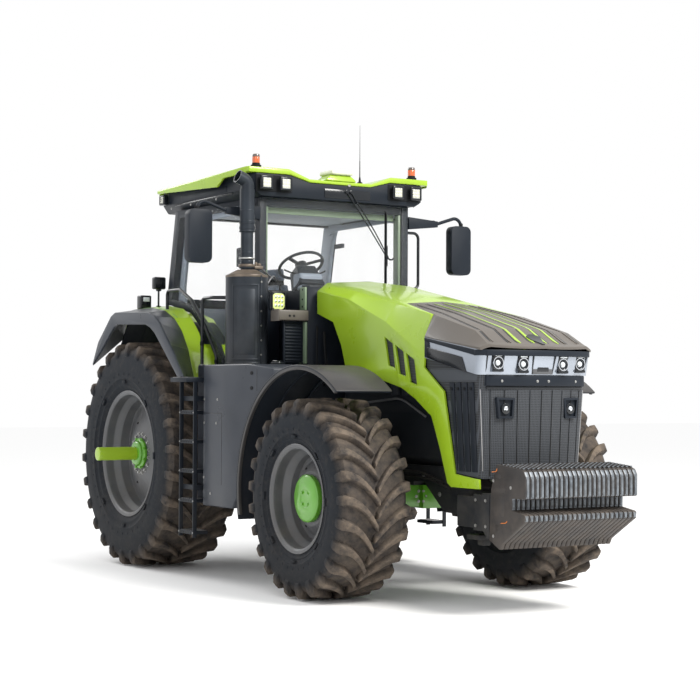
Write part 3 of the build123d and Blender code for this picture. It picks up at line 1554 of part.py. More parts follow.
drawbar_end_y = 2560.0
drawbar_bottom_z = 470.0
drawbar_top_z = 515.0
drawbar_hole_radius = 16.0
shaft_radius = 22.2
with BuildPart() as hitch_frame:
    # cross shaft that carries the lower links, drawbar, power take-off stub and its shield
    with Locations(Location((0, link_pivot_y, link_pivot_z), (0, 90, 0))):
        Cylinder(18, 1010)
    block(-60, 60, 1500, drawbar_end_y, drawbar_bottom_z, drawbar_top_z)
    block(-120, 120, 1700, 2010, drawbar_top_z - 1, 689.7)
    with Locations((0, drawbar_end_y - 45, (drawbar_bottom_z + drawbar_top_z) / 2)):
        Cylinder(drawbar_hole_radius, 80, mode=Mode.SUBTRACT)
    with Locations(Location((0, gearbox_rear_y + 70 + seat_gap, 820), (90, 0, 0))):
        Cylinder(shaft_radius, 140)
save(hitch_frame.part, "drawbar_and_pivots")

with BuildPart() as remotes:
    block(-200, 200, gearbox_rear_y + seat_gap, 2190, 1000, 1140)
    for k in range(6):
        with Locations(Location((-150 + 60 * k, 2205, 1070), (90, 0, 0))):
            Cylinder(20, 40)
save(remotes.part, "remote_valves")
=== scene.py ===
"""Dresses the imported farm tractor: finishes, moulded detail, tyres, lamps, cab trim, light and camera.

Everything is in metres in the tractor's own frame: +X to its left, +Y to its rear, +Z up, on the ground.
"""

import json
import logging
import math
from dataclasses import dataclass
from enum import Enum
from typing import Callable, Iterable, Sequence

import bmesh
import bpy
from mathutils import Matrix, Vector


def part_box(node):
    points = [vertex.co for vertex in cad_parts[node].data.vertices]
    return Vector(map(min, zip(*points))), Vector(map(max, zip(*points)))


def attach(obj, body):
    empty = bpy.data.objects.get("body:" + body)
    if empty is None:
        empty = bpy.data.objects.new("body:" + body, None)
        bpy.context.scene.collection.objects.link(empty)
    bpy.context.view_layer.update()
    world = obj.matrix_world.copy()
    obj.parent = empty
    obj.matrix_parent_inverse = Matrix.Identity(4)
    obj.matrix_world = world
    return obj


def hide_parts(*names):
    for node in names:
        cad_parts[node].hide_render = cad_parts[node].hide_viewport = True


LOG = logging.getLogger("tractor")
Point = tuple[float, float, float]
Colour = tuple[float, float, float]
Piece = bpy.types.Object
Parts = Piece | list[Piece]
Socket = bpy.types.NodeSocket

REAR_AXLE_Y = 1.8
FRONT_AXLE_Y = -1.164
FRONT_AXLE_Z = 0.758

# A height above the whole tractor, from which the lines of touch() look down.
OVERHEAD = 4.0

TO_LEFT = (1, 0, 0)
TO_RIGHT = (-1, 0, 0)
TO_REAR = (0, 1, 0)
TO_FRONT = (0, -1, 0)
UP = (0, 0, 1)
DOWN = (0, 0, -1)

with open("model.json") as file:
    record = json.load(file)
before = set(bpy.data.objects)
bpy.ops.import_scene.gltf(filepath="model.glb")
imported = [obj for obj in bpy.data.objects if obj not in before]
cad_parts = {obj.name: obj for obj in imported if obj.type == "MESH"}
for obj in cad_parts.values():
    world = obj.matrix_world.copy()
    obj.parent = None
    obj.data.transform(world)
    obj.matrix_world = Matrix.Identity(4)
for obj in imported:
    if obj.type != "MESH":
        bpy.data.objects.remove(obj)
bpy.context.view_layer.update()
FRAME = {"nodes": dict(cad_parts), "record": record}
BODY_OF = {node: body for body, nodes in FRAME["record"]["behaviour"]["bodies"].items() for node in nodes}


class Side(Enum):
    """The tractor's two sides, as the sign of X."""

    RIGHT = -1
    LEFT = 1

    @property
    def word(self) -> str:
        """The side's name as node names end.

        Returns:
            "right" or "left".
        """
        return self.name.lower()


# ---------------------------------------------------------------- modelling


def clear_selection() -> None:
    """Leaves edit mode and selects nothing."""
    if bpy.context.object and bpy.context.object.mode != "OBJECT":
        bpy.ops.object.mode_set(mode="OBJECT")
    bpy.ops.object.select_all(action="DESELECT")


def activate(piece: Piece) -> None:
    """Makes a piece the only selected and the active object.

    Args:
        piece: The object to work on.
    """
    clear_selection()
    piece.select_set(True)
    bpy.context.view_layer.objects.active = piece


def named(name: str) -> Piece:
    """Names the active object and returns it.

    Args:
        name: The piece's new name.

    Returns:
        The active object.
    """
    piece = bpy.context.object
    piece.name = name
    piece.data.name = name
    return piece


def settle(piece: Piece) -> Piece:
    """Applies the piece's place, turn and scale, so that its object sits at the origin.

    Args:
        piece: The object to settle.

    Returns:
        The same object.
    """
    activate(piece)
    bpy.ops.object.transform_apply(location=True, rotation=True, scale=True)
    return piece


def modify(piece: Piece, kind: str, **settings: object) -> Piece:
    """Adds one modifier and applies it at once.

    Args:
        piece: The object to change.
        kind: The modifier's type, such as BEVEL.
        settings: Attributes of the modifier.

    Returns:
        The same object.
    """
    activate(piece)
    modifier = piece.modifiers.new(kind.title(), kind)
    for key, value in settings.items():
        setattr(modifier, key, value)
    bpy.ops.object.modifier_apply(modifier=modifier.name)
    return piece


def smooth(piece: Piece, degrees: float = 32.0) -> Piece:
    """Shades a piece smooth with creases over an angle.

    Args:
        piece: The object to shade.
        degrees: Edges sharper than this stay creased.

    Returns:
        The same object.
    """
    activate(piece)
    bpy.ops.object.shade_smooth_by_angle(angle=math.radians(degrees))
    return piece


def bevel(piece: Piece, width: float, segments: int = 2, degrees: float = 30.0) -> Piece:
    """Rounds the sharp edges of a piece and shades it.

    Args:
        piece: The object to round.
        width: Bevel width in metres.
        segments: Faces across each bevel.
        degrees: Edges sharper than this are rounded.

    Returns:
        The same object.
    """
    modify(piece, "BEVEL", width=width, segments=segments, limit_method="ANGLE",
           angle_limit=math.radians(degrees), use_clamp_overlap=True)
    return smooth(piece, 40.0)


def outward(piece: Piece) -> Piece:
    """Merges doubled points and turns all faces outwards.

    Args:
        piece: The object to tidy.

    Returns:
        The same object.
    """
    activate(piece)
    bpy.ops.object.mode_set(mode="EDIT")
    bpy.ops.mesh.select_all(action="SELECT")
    bpy.ops.mesh.remove_doubles(threshold=1e-5)
    bpy.ops.mesh.normals_make_consistent(inside=False)
    bpy.ops.object.mode_set(mode="OBJECT")
    return piece


def select_faces(piece: Piece, wanted: Callable[[bmesh.types.BMFace], bool]) -> None:
    """Selects faces of the piece in edit mode by their place or normal.

    Args:
        piece: The object, active and in edit mode.
        wanted: Says whether a face is chosen.
    """
    bpy.ops.mesh.select_mode(type="FACE")
    bpy.ops.mesh.select_all(action="DESELECT")
    mesh = bmesh.from_edit_mesh(piece.data)
    for face in mesh.faces:
        if wanted(face):
            face.select_set(True)
    bmesh.update_edit_mesh(piece.data)


def recess(piece: Piece, edge: float, depth: float, wanted: Callable[[bmesh.types.BMFace], bool]) -> None:
    """Sinks the front of a piece behind a rim of even width.

    Args:
        piece: The piece, whose front faces forwards.
        edge: Width of the rim that stays.
        depth: How far the front sinks.
        wanted: Says whether a face belongs to the front.
    """
    activate(piece)
    bpy.ops.object.mode_set(mode="EDIT")
    select_faces(piece, wanted)
    bpy.ops.mesh.inset(thickness=edge)
    bpy.ops.mesh.extrude_region_move(TRANSFORM_OT_translate={"value": (0, depth, 0)})
    bpy.ops.object.mode_set(mode="OBJECT")


def join(pieces: Sequence[Piece], name: str = "joined") -> Piece:
    """Joins pieces into one object.

    Args:
        pieces: The objects to join.
        name: The joined piece's name, where it isn't named later.

    Returns:
        The joined object.
    """
    clear_selection()
    for piece in pieces:
        piece.select_set(True)
    bpy.context.view_layer.objects.active = pieces[0]
    if len(pieces) > 1:
        bpy.ops.object.join()
    return named(name)


def copy_of(piece: Piece, place: Matrix) -> Piece:
    """A copy with its own mesh, moved by a matrix in the tractor's frame.

    Args:
        piece: The piece to copy, settled at the origin.
        place: Where the copy goes.

    Returns:
        The new object, settled.
    """
    twin = piece.copy()
    twin.data = piece.data.copy()
    bpy.context.collection.objects.link(twin)
    twin.data.transform(place)
    if place.determinant() < 0:
        outward(twin)
    return twin


def mirrored(piece: Piece) -> Piece:
    """The same piece on the tractor's other side, as a copy.

    Args:
        piece: The piece, settled.

    Returns:
        The mirrored copy.
    """
    return copy_of(piece, Matrix.Diagonal((-1.0, 1.0, 1.0, 1.0)))


def box(low: Point, high: Point, round_off: float = 0.0, segments: int = 2) -> Piece:
    """A box between two corners, with rounded edges if wanted.

    Args:
        low: Its lowest corner.
        high: Its highest corner.
        round_off: Width of the edge rounding in metres.
        segments: Faces across each rounding.

    Returns:
        The new object, settled.
    """
    clear_selection()
    centre = [(a + b) / 2 for a, b in zip(low, high)]
    bpy.ops.mesh.primitive_cube_add(size=1.0, location=centre, scale=[abs(b - a) for a, b in zip(low, high)])
    piece = settle(bpy.context.object)
    if round_off:
        bevel(piece, round_off, segments)
    return piece


def rod(start: Point, end: Point, radius: float, facets: int = 20, tip: float | None = None) -> Piece:
    """A round bar or cone between two points.

    Args:
        start: Centre of the first end.
        end: Centre of the other end.
        radius: Radius at the start.
        facets: Sides of the round.
        tip: Radius at the end, or None for a plain bar.

    Returns:
        The new object, settled.
    """
    a = Vector(start)
    b = Vector(end)
    clear_selection()
    bpy.ops.mesh.primitive_cone_add(
        vertices=facets, radius1=radius, radius2=radius if tip is None else tip, depth=(b - a).length,
        location=(a + b) / 2, rotation=(b - a).to_track_quat("Z", "Y").to_euler(),
    )
    return settle(bpy.context.object)


def outline_wire(points: Sequence[Point]) -> Piece:
    """An open chain of edges through points, as the start of a spin or an extrusion.

    Args:
        points: The corners in order.

    Returns:
        The new wire object, in edit mode with all of it selected.
    """
    clear_selection()
    bpy.ops.mesh.primitive_plane_add(size=1.0, location=points[0])
    settle(bpy.context.object)
    bpy.ops.object.mode_set(mode="EDIT")
    bpy.ops.mesh.select_mode(type="VERT")
    bpy.ops.mesh.select_all(action="SELECT")
    bpy.ops.mesh.merge(type="CENTER")
    for a, b in zip(points, points[1:]):
        bpy.ops.mesh.extrude_region_move(TRANSFORM_OT_translate={"value": Vector(b) - Vector(a)})
    bpy.ops.mesh.select_all(action="SELECT")
    return bpy.context.object


def pulled_tube(points: Sequence[Point], radius: float, bend: float = 0.05) -> Piece:
    """A bent tube through corner points, with rounded corners.

    Args:
        points: The corners in order.
        radius: Tube radius in metres.
        bend: Corner radius in metres.

    Returns:
        The new mesh object, settled.
    """
    outline_wire(points)
    if len(points) > 2:
        bpy.ops.mesh.bevel(offset=bend, segments=6, affect="VERTICES", clamp_overlap=True)
    bpy.ops.object.mode_set(mode="OBJECT")
    bpy.ops.object.convert(target="CURVE")
    piece = bpy.context.object
    piece.data.dimensions = "3D"
    piece.data.bevel_depth = radius
    piece.data.bevel_resolution = 3
    piece.data.use_fill_caps = True
    bpy.ops.object.convert(target="MESH")
    return smooth(outward(bpy.context.object), 45.0)


def slab(points: Sequence[Point], push: Vector, round_off: float = 0.0) -> Piece:
    """A plate with a closed outline, pushed out to a thickness.

    Args:
        points: The outline's corners in order, all in one plane.
        push: The extrusion as a vector.
        round_off: Width of the edge rounding in metres.

    Returns:
        The new object, settled.
    """
    outline_wire(points)
    bpy.ops.mesh.edge_face_add()
    bpy.ops.mesh.select_all(action="SELECT")
    bpy.ops.mesh.extrude_region_move(TRANSFORM_OT_translate={"value": push})
    bpy.ops.mesh.select_all(action="SELECT")
    bpy.ops.mesh.normals_make_consistent(inside=False)
    bpy.ops.object.mode_set(mode="OBJECT")
    piece = bpy.context.object
    return bevel(piece, round_off) if round_off else piece


def spun(profile: Sequence[tuple[float, float]], centre: Point, steps: int) -> Piece:
    """A ring or disc spun about an axle along X.

    Args:
        profile: (along, radius) points of a closed section; along is the X coordinate.
        centre: A point on the axle.
        steps: Faces round the turn.

    Returns:
        The new object, settled.
    """
    corners = [(x, centre[1], centre[2] + r) for x, r in profile]
    piece = outline_wire([*corners, corners[0]])
    bpy.ops.mesh.remove_doubles(threshold=1e-6)
    bpy.ops.mesh.select_all(action="SELECT")
    bpy.ops.mesh.spin(steps=steps, angle=2 * math.pi, center=centre, axis=TO_LEFT)
    bpy.ops.mesh.select_all(action="SELECT")
    bpy.ops.mesh.remove_doubles(threshold=1e-5)
    bpy.ops.mesh.normals_make_consistent(inside=False)
    bpy.ops.object.mode_set(mode="OBJECT")
    return smooth(piece, 32.0)


def turn_about(centre: Point, angle: float, axis: str) -> Matrix:
    """A turn about a line parallel to an axis.

    Args:
        centre: A point on the line.
        angle: The turn in radians.
        axis: "X", "Y" or "Z".

    Returns:
        The turn in the tractor's frame.
    """
    pivot = Matrix.Translation(centre)
    return pivot @ Matrix.Rotation(angle, 4, axis) @ pivot.inverted()


def ringed(piece: Piece, centre: Point, count: int) -> Piece:
    """Copies a piece evenly round an axle along X and joins the copies.

    Args:
        piece: The first copy, settled.
        centre: A point on the axle.
        count: Number of copies.

    Returns:
        The joined object.
    """
    copies = [piece]
    for k in range(1, count):
        copies.append(copy_of(piece, turn_about(centre, 2 * math.pi * k / count, "X")))
    return join(copies)


def bolt_row(places: Iterable[Point], axis: Point, size: float, stand: float) -> Piece:
    """Hexagon bolt heads on washers, all facing one way.

    Args:
        places: Where each head's seat lies.
        axis: Vector that the heads stand out along.
        size: Radius of the hexagon in metres.
        stand: Height of the head in metres.

    Returns:
        The joined heads.
    """
    heads = []
    way = Vector(axis).normalized()
    for place in places:
        seat = Vector(place)
        heads.append(rod(seat - way * 0.001, seat + way * stand * 0.25, size * 1.45, 16))
        heads.append(rod(seat, seat + way * stand, size, 6, tip=size * 0.93))
    return smooth(join(heads), 30.0)


def ride_with(piece: Piece, node: str) -> Piece:
    """Makes a piece move with the body that holds a CAD node.

    Args:
        piece: The finished piece.
        node: A CAD node of that body.

    Returns:
        The same object.
    """
    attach(piece, BODY_OF[node])
    LOG.info("%s rides on %s", piece.name, BODY_OF[node])
    return piece


def softened(node: str, width: float, segments: int = 2, flat: float = 0.5) -> Piece:
    """Replaces a CAD node by a copy with rounded edges.

    Args:
        node: The CAD node.
        width: Bevel width in metres.
        segments: Faces across each bevel.
        flat: Neighbouring faces within this many degrees are merged first.

    Returns:
        The visible copy.
    """
    source = FRAME["nodes"][node]
    piece = source.copy()
    piece.data = source.data.copy()
    piece.parent = None
    bpy.context.collection.objects.link(piece)
    piece.matrix_world = Matrix.Identity(4)
    activate(piece)
    bpy.ops.object.mode_set(mode="EDIT")
    bpy.ops.mesh.select_all(action="SELECT")
    bpy.ops.mesh.remove_doubles(threshold=2e-5)
    bpy.ops.mesh.dissolve_limited(angle_limit=math.radians(flat))
    bpy.ops.object.mode_set(mode="OBJECT")
    named(f"{node}_dressed")
    bevel(piece, width, segments)
    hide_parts(node)
    return ride_with(piece, node)


def touch(node: str, start: Point, way: Point) -> Vector:
    """Where a straight line first meets a CAD node.

    Args:
        node: The CAD node.
        start: A point outside it.
        way: The line's direction.

    Returns:
        The point on the node's surface.

    Raises:
        ValueError: If the line misses the node.
    """
    hit, place, _, _ = FRAME["nodes"][node].ray_cast(Vector(start), Vector(way).normalized())
    if not hit:
        raise ValueError(f"{node} is not met from {start}")
    return place


def ribbon(points: Sequence[Point], across: Point, push: Point) -> Piece:
    """A strip of even width laid along a line of points and given a thickness.

    Args:
        points: One edge of the strip.
        across: Vector from that edge to the other.
        push: Thickness as a vector.

    Returns:
        The new object, settled.
    """
    piece = outline_wire(points)
    bpy.ops.mesh.extrude_region_move(TRANSFORM_OT_translate={"value": Vector(across)})
    bpy.ops.mesh.select_all(action="SELECT")
    bpy.ops.mesh.extrude_region_move(TRANSFORM_OT_translate={"value": Vector(push)})
    bpy.ops.mesh.select_all(action="SELECT")
    bpy.ops.mesh.normals_make_consistent(inside=False)
    bpy.ops.object.mode_set(mode="OBJECT")
    return smooth(piece, 35.0)


def skinned(loops: Sequence[Sequence[Point]]) -> Piece:
    """A closed body skinned over cross sections of equal point count.

    Args:
        loops: The cross sections in order, each a closed loop of points.

    Returns:
        The new object, settled.
    """
    rings = []
    for loop in loops:
        outline_wire([*loop, loop[0]])
        bpy.ops.mesh.remove_doubles(threshold=1e-6)
        bpy.ops.object.mode_set(mode="OBJECT")
        rings.append(bpy.context.object)
    piece = join(rings)
    count = len(loops[0])
    bpy.ops.object.mode_set(mode="EDIT")
    bpy.ops.mesh.select_mode(type="EDGE")
    for k in range(len(loops) - 1):
        bpy.ops.mesh.select_all(action="DESELECT")
        mesh = bmesh.from_edit_mesh(piece.data)
        mesh.edges.ensure_lookup_table()
        for edge in mesh.edges:
            first, second = (vert.index // count for vert in edge.verts)
            edge.select_set(first == second and first in (k, k + 1))
        bmesh.update_edit_mesh(piece.data)
        bpy.ops.mesh.bridge_edge_loops()
    for k in (0, len(loops) - 1):
        bpy.ops.mesh.select_all(action="DESELECT")
        mesh = bmesh.from_edit_mesh(piece.data)
        for edge in mesh.edges:
            first, second = (vert.index // count for vert in edge.verts)
            edge.select_set(first == second == k)
        bmesh.update_edit_mesh(piece.data)
        bpy.ops.mesh.edge_face_add()
    bpy.ops.mesh.select_all(action="SELECT")
    bpy.ops.mesh.normals_make_consistent(inside=False)
    bpy.ops.object.mode_set(mode="OBJECT")
    return piece


# ---------------------------------------------------------------- finishes


class Nodes:
    """A small writer of shader trees, used for materials and for node groups."""

    def __init__(self, tree: bpy.types.NodeTree) -> None:
        """Keeps the tree to write in.

        Args:
            tree: A material's or a group's node tree.
        """
        self.tree = tree

    def add(self, kind: str, **settings: object) -> bpy.types.Node:
        """Adds a node with its attributes set.

        Args:
            kind: The node's type name without the ShaderNode prefix.
            settings: Attributes of the node.

        Returns:
            The new node.
        """
        node = self.tree.nodes.new("ShaderNode" + kind)
        for key, value in settings.items():
            setattr(node, key, value)
        return node

    def link(self, source: Socket, target: Socket) -> None:
        """Joins an output to an input.

        Args:
            source: The output.
            target: The input.
        """
        self.tree.links.new(source, target)

    def feed(self, target: Socket, value: object) -> None:
        """Links a socket or sets a plain value on an input.

        Args:
            target: The input.
            value: An output socket, a number or a colour.
        """
        if isinstance(value, Socket):
            self.link(value, target)
        elif value is not None:
            target.default_value = value

    def math(self, operation: str, *values: object, clamp: bool = False) -> Socket:
        """A Math node's result.

        Args:
            operation: The operation's name.
            values: Its inputs in order.
            clamp: Whether the result is kept from 0 to 1.

        Returns:
            The output socket.
        """
        node = self.add("Math", operation=operation, use_clamp=clamp)
        for socket, value in zip(node.inputs, values):
            self.feed(socket, value)
        return node.outputs[0]

    def mix(self, share: object, a: object, b: object, blend: str = "MIX") -> Socket:
        """A colour mix.

        Args:
            share: The factor.
            a: First colour.
            b: Second colour.
            blend: The blend type.

        Returns:
            The mixed colour.
        """
        node = self.add("Mix", data_type="RGBA", blend_type=blend)
        self.feed(node.inputs["Factor"], share)
        self.feed(node.inputs[6], a)
        self.feed(node.inputs[7], b)
        return node.outputs[2]

    def spread(self, value: object, low: float, high: float, to_low: float, to_high: float) -> Socket:
        """A value moved from one range to another, clamped.

        Args:
            value: The input value.
            low: Start of the input range.
            high: End of the input range.
            to_low: Start of the output range.
            to_high: End of the output range.

        Returns:
            The output socket.
        """
        node = self.add("MapRange")
        for index, entry in enumerate((value, low, high, to_low, to_high)):
            self.feed(node.inputs[index], entry)
        return node.outputs[0]

    def bump(self, height: Socket, shader: bpy.types.Node, strength: float, depth: float) -> None:
        """Turns a height into the shader's relief.

        Args:
            height: The height's socket.
            shader: The Principled BSDF.
            strength: Share of the relief that shows.
            depth: Depth of the relief in metres.
        """
        bump = self.add("Bump")
        bump.inputs["Strength"].default_value = strength
        bump.inputs["Distance"].default_value = depth
        self.link(height, bump.inputs["Height"])
        self.link(bump.outputs["Normal"], shader.inputs["Normal"])

    def noise(self, where: object, scale: object, detail: float = 3.0, rough: float = 0.55) -> Socket:
        """A noise value.

        Args:
            where: The coordinates.
            scale: Noise scale per metre, as a number or a socket.
            detail: Octaves.
            rough: Share of each finer octave.

        Returns:
            The factor socket.
        """
        node = self.add("TexNoise")
        self.feed(node.inputs["Vector"], where)
        self.feed(node.inputs["Scale"], scale)
        self.feed(node.inputs["Detail"], detail)
        self.feed(node.inputs["Roughness"], rough)
        return node.outputs["Fac"]


def rgba(colour: Colour) -> tuple[float, float, float, float]:
    """A linear colour with full alpha.

    Args:
        colour: Red, green and blue.

    Returns:
        The colour with its alpha.
    """
    return (*colour, 1.0)


def new_group(name: str, inputs: Sequence[tuple[str, str, object]],
              outputs: Sequence[tuple[str, str]]) -> Nodes:
    """Starts a shader node group.

    Args:
        name: The group's name.
        inputs: (name, socket type, default) of each input.
        outputs: (name, socket type) of each output.

    Returns:
        A writer for the group's tree, whose group input and output nodes are in place.
    """
    tree = bpy.data.node_groups.new(name, "ShaderNodeTree")
    for label, kind, default in inputs:
        socket = tree.interface.new_socket(label, in_out="INPUT", socket_type=kind)
        socket.default_value = default
    for label, kind in outputs:
        tree.interface.new_socket(label, in_out="OUTPUT", socket_type=kind)
    tree.nodes.new("NodeGroupInput").name = "in"
    tree.nodes.new("NodeGroupOutput").name = "out"
    return Nodes(tree)


def group_socket(nodes: Nodes, side: str, label: str) -> Socket:
    """A socket of a group's input node ("in") or output node ("out").

    Args:
        nodes: The group's tree writer.
        side: "in" or "out".
        label: The socket's label.

    Returns:
        The socket.
    """
    node = nodes.tree.nodes[side]
    return (node.outputs if side == "in" else node.inputs)[label]


def mottle_group() -> bpy.types.NodeTree:
    """Group that varies a colour slowly over a surface, as handling and weather do.

    Returns:
        The group's tree.
    """
    nodes = new_group(
        "Mottle",
        (("Colour", "NodeSocketColor", (0.5, 0.5, 0.5, 1.0)), ("Scale", "NodeSocketFloat", 3.0),
         ("Amount", "NodeSocketFloat", 0.1)),
        (("Colour", "NodeSocketColor"), ("Tone", "NodeSocketFloat")),
    )
    where = nodes.add("TexCoord").outputs["Object"]
    broad = nodes.noise(where, group_socket(nodes, "in", "Scale"), 6.0, 0.5)
    tone = nodes.spread(broad, 0.3, 0.7, 0.0, 1.0)
    darker = nodes.mix(group_socket(nodes, "in", "Amount"), (1, 1, 1, 1), tone, "MIX")
    result = nodes.mix(1.0, group_socket(nodes, "in", "Colour"), darker, "MULTIPLY")
    nodes.link(result, group_socket(nodes, "out", "Colour"))
    nodes.link(tone, group_socket(nodes, "out", "Tone"))
    return nodes.tree


def dust_group() -> bpy.types.NodeTree:
    """Group that masks where field dust settles: low down, on upward faces and in patches.

    Returns:
        The group's tree.
    """
    nodes = new_group(
        "Dust",
        (("Reach", "NodeSocketFloat", 1.0), ("Amount", "NodeSocketFloat", 0.5)),
        (("Mask", "NodeSocketFloat"),),
    )
    where = nodes.add("TexCoord").outputs["Object"]
    height = nodes.add("SeparateXYZ")
    nodes.link(where, height.inputs[0])
    facing = nodes.add("SeparateXYZ")
    nodes.link(nodes.add("NewGeometry").outputs["Normal"], facing.inputs[0])
    low = nodes.math("SUBTRACT", 1.0, nodes.math("DIVIDE", height.outputs["Z"],
                                                 group_socket(nodes, "in", "Reach")), clamp=True)
    up = nodes.spread(facing.outputs["Z"], 0.1, 1.0, 0.0, 1.0)
    patches = nodes.spread(nodes.noise(where, 7.0, 8.0, 0.65), 0.38, 0.66, 0.0, 1.0)
    laid = nodes.math("ADD", nodes.math("MULTIPLY", low, 0.9), nodes.math("MULTIPLY", up, 0.35), clamp=True)
    spotted = nodes.math("MULTIPLY", laid, nodes.math("ADD", nodes.math("MULTIPLY", patches, 0.75), 0.25))
    mask = nodes.math("MULTIPLY", spotted, group_socket(nodes, "in", "Amount"), clamp=True)
    nodes.link(mask, group_socket(nodes, "out", "Mask"))
    return nodes.tree


def grain_group() -> bpy.types.NodeTree:
    """Group for a fine surface grain: moulded plastic, cast skin or orange peel.

    Returns:
        The group's tree.
    """
    nodes = new_group(
        "Grain",
        (("Scale", "NodeSocketFloat", 200.0), ("Coarse", "NodeSocketFloat", 20.0),
         ("Share", "NodeSocketFloat", 0.3)),
        (("Height", "NodeSocketFloat"),),
    )
    where = nodes.add("TexCoord").outputs["Object"]
    fine = nodes.noise(where, group_socket(nodes, "in", "Scale"), 2.0, 0.5)
    rough = nodes.noise(where, group_socket(nodes, "in", "Coarse"), 4.0, 0.5)
    blend = nodes.add("Mix", data_type="FLOAT")
    nodes.link(group_socket(nodes, "in", "Share"), blend.inputs["Factor"])
    nodes.link(fine, blend.inputs[2])
    nodes.link(rough, blend.inputs[3])
    nodes.link(blend.outputs[0], group_socket(nodes, "out", "Height"))
    return nodes.tree


GROUPS: dict[str, bpy.types.NodeTree] = {}


def group(nodes: Nodes, name: str, **values: object) -> bpy.types.Node:
    """Places a shared group in a tree, building it on first use.

    Args:
        nodes: The tree's writer.
        name: "Mottle", "Dust" or "Grain".
        values: Input values or sockets by name.

    Returns:
        The group node.
    """
    makers = {"Mottle": mottle_group, "Dust": dust_group, "Grain": grain_group}
    if name not in GROUPS:
        GROUPS[name] = makers[name]()
    node = nodes.add("Group")
    node.node_tree = GROUPS[name]
    for label, value in values.items():
        nodes.feed(node.inputs[label], value)
    return node


MADE: dict[str, bpy.types.Material] = {}


@dataclass(frozen=True)
class Finish:
    """An opaque finish: colour, gloss, grain and the dust that lies on it."""

    name: str
    colour: Colour
    roughness: float = 0.5
    metallic: float = 0.0
    coat: float = 0.0
    specular: float = 0.5
    mottle: float = 0.12
    mottle_scale: float = 3.0
    grain: float = 0.15
    grain_scale: float = 220.0
    grain_coarse: float = 18.0
    grain_share: float = 0.3
    grain_depth: float = 0.0006
    dust: float = 0.35
    dust_reach: float = 1.6
    dust_colour: Colour = (0.30, 0.26, 0.20)
    rough_spread: float = 0.12

    def shade(self, nodes: Nodes, shader: bpy.types.Node) -> None:
        """Adds what a special finish needs, which is nothing for a plain one.

        Args:
            nodes: The material's tree writer.
            shader: The Principled BSDF.
        """

    def material(self) -> bpy.types.Material:
        """The finish's material, made once.

        Returns:
            The Blender material.
        """
        if self.name in MADE:
            return MADE[self.name]
        material = bpy.data.materials.new(self.name)
        material.use_nodes = True
        nodes = Nodes(material.node_tree)
        shader = material.node_tree.nodes["Principled BSDF"]
        mottle = group(nodes, "Mottle", Colour=rgba(self.colour), Scale=self.mottle_scale, Amount=self.mottle)
        dust = group(nodes, "Dust", Reach=self.dust_reach, Amount=self.dust)
        colour = nodes.mix(dust.outputs["Mask"], mottle.outputs["Colour"], rgba(self.dust_colour))
        nodes.link(colour, shader.inputs["Base Color"])
        worn = nodes.spread(mottle.outputs["Tone"], 0.0, 1.0, self.roughness - self.rough_spread / 2,
                            self.roughness + self.rough_spread / 2)
        dusty = nodes.math("ADD", worn, nodes.math("MULTIPLY", dust.outputs["Mask"], 0.4), clamp=True)
        nodes.link(dusty, shader.inputs["Roughness"])
        shader.inputs["Metallic"].default_value = self.metallic
        shader.inputs["Specular IOR Level"].default_value = self.specular
        if self.coat:
            shader.inputs["Coat Weight"].default_value = self.coat
            shader.inputs["Coat Roughness"].default_value = 0.12
        grain = group(nodes, "Grain", Scale=self.grain_scale, Coarse=self.grain_coarse,
                      Share=self.grain_share)
        nodes.bump(grain.outputs["Height"], shader, self.grain, self.grain_depth)
        self.shade(nodes, shader)
        MADE[self.name] = material
        return material


@dataclass(frozen=True)
class Pane(Finish):
    """Clear glass with a faint tint."""

    alpha: float = 0.22

    def material(self) -> bpy.types.Material:
        """The glass material, made once.

        Returns:
            The Blender material.
        """
        if self.name in MADE:
            return MADE[self.name]
        material = bpy.data.materials.new(self.name)
        material.use_nodes = True
        nodes = Nodes(material.node_tree)
        shader = material.node_tree.nodes["Principled BSDF"]
        where = nodes.add("TexCoord").outputs["Object"]
        film = nodes.spread(nodes.noise(where, 2.2, 5.0), 0.35, 0.7, self.roughness, self.roughness + 0.04)
        nodes.link(film, shader.inputs["Roughness"])
        smear = nodes.spread(nodes.noise(where, 1.3, 4.0), 0.3, 0.75, self.alpha, self.alpha + 0.03)
        nodes.link(smear, shader.inputs["Alpha"])
        shader.inputs["Base Color"].default_value = rgba(self.colour)
        shader.inputs["Transmission Weight"].default_value = 0.6
        shader.inputs["IOR"].default_value = 1.45
        shader.inputs["Specular IOR Level"].default_value = 0.25
        MADE[self.name] = material
        return material


@dataclass(frozen=True)
class Glow(Finish):
    """A lamp lens, with prism lines and a little light of its own."""

    strength: float = 0.0
    ribs: float = 320.0

    def shade(self, nodes: Nodes, shader: bpy.types.Node) -> None:
        """Adds the prism lines and the glow.

        Args:
            nodes: The material's tree writer.
            shader: The Principled BSDF.
        """
        where = nodes.add("TexCoord").outputs["Object"]
        wave = nodes.add("TexWave", bands_direction="X")
        nodes.link(where, wave.inputs["Vector"])
        wave.inputs["Scale"].default_value = self.ribs / 20.0
        nodes.bump(wave.outputs["Fac"], shader, 0.5, 0.002)
        if self.strength:
            glow = nodes.mix(wave.outputs["Fac"], rgba(self.colour), (1.0, 1.0, 1.0, 1.0))
            nodes.link(glow, shader.inputs["Emission Color"])
            shader.inputs["Emission Strength"].default_value = self.strength


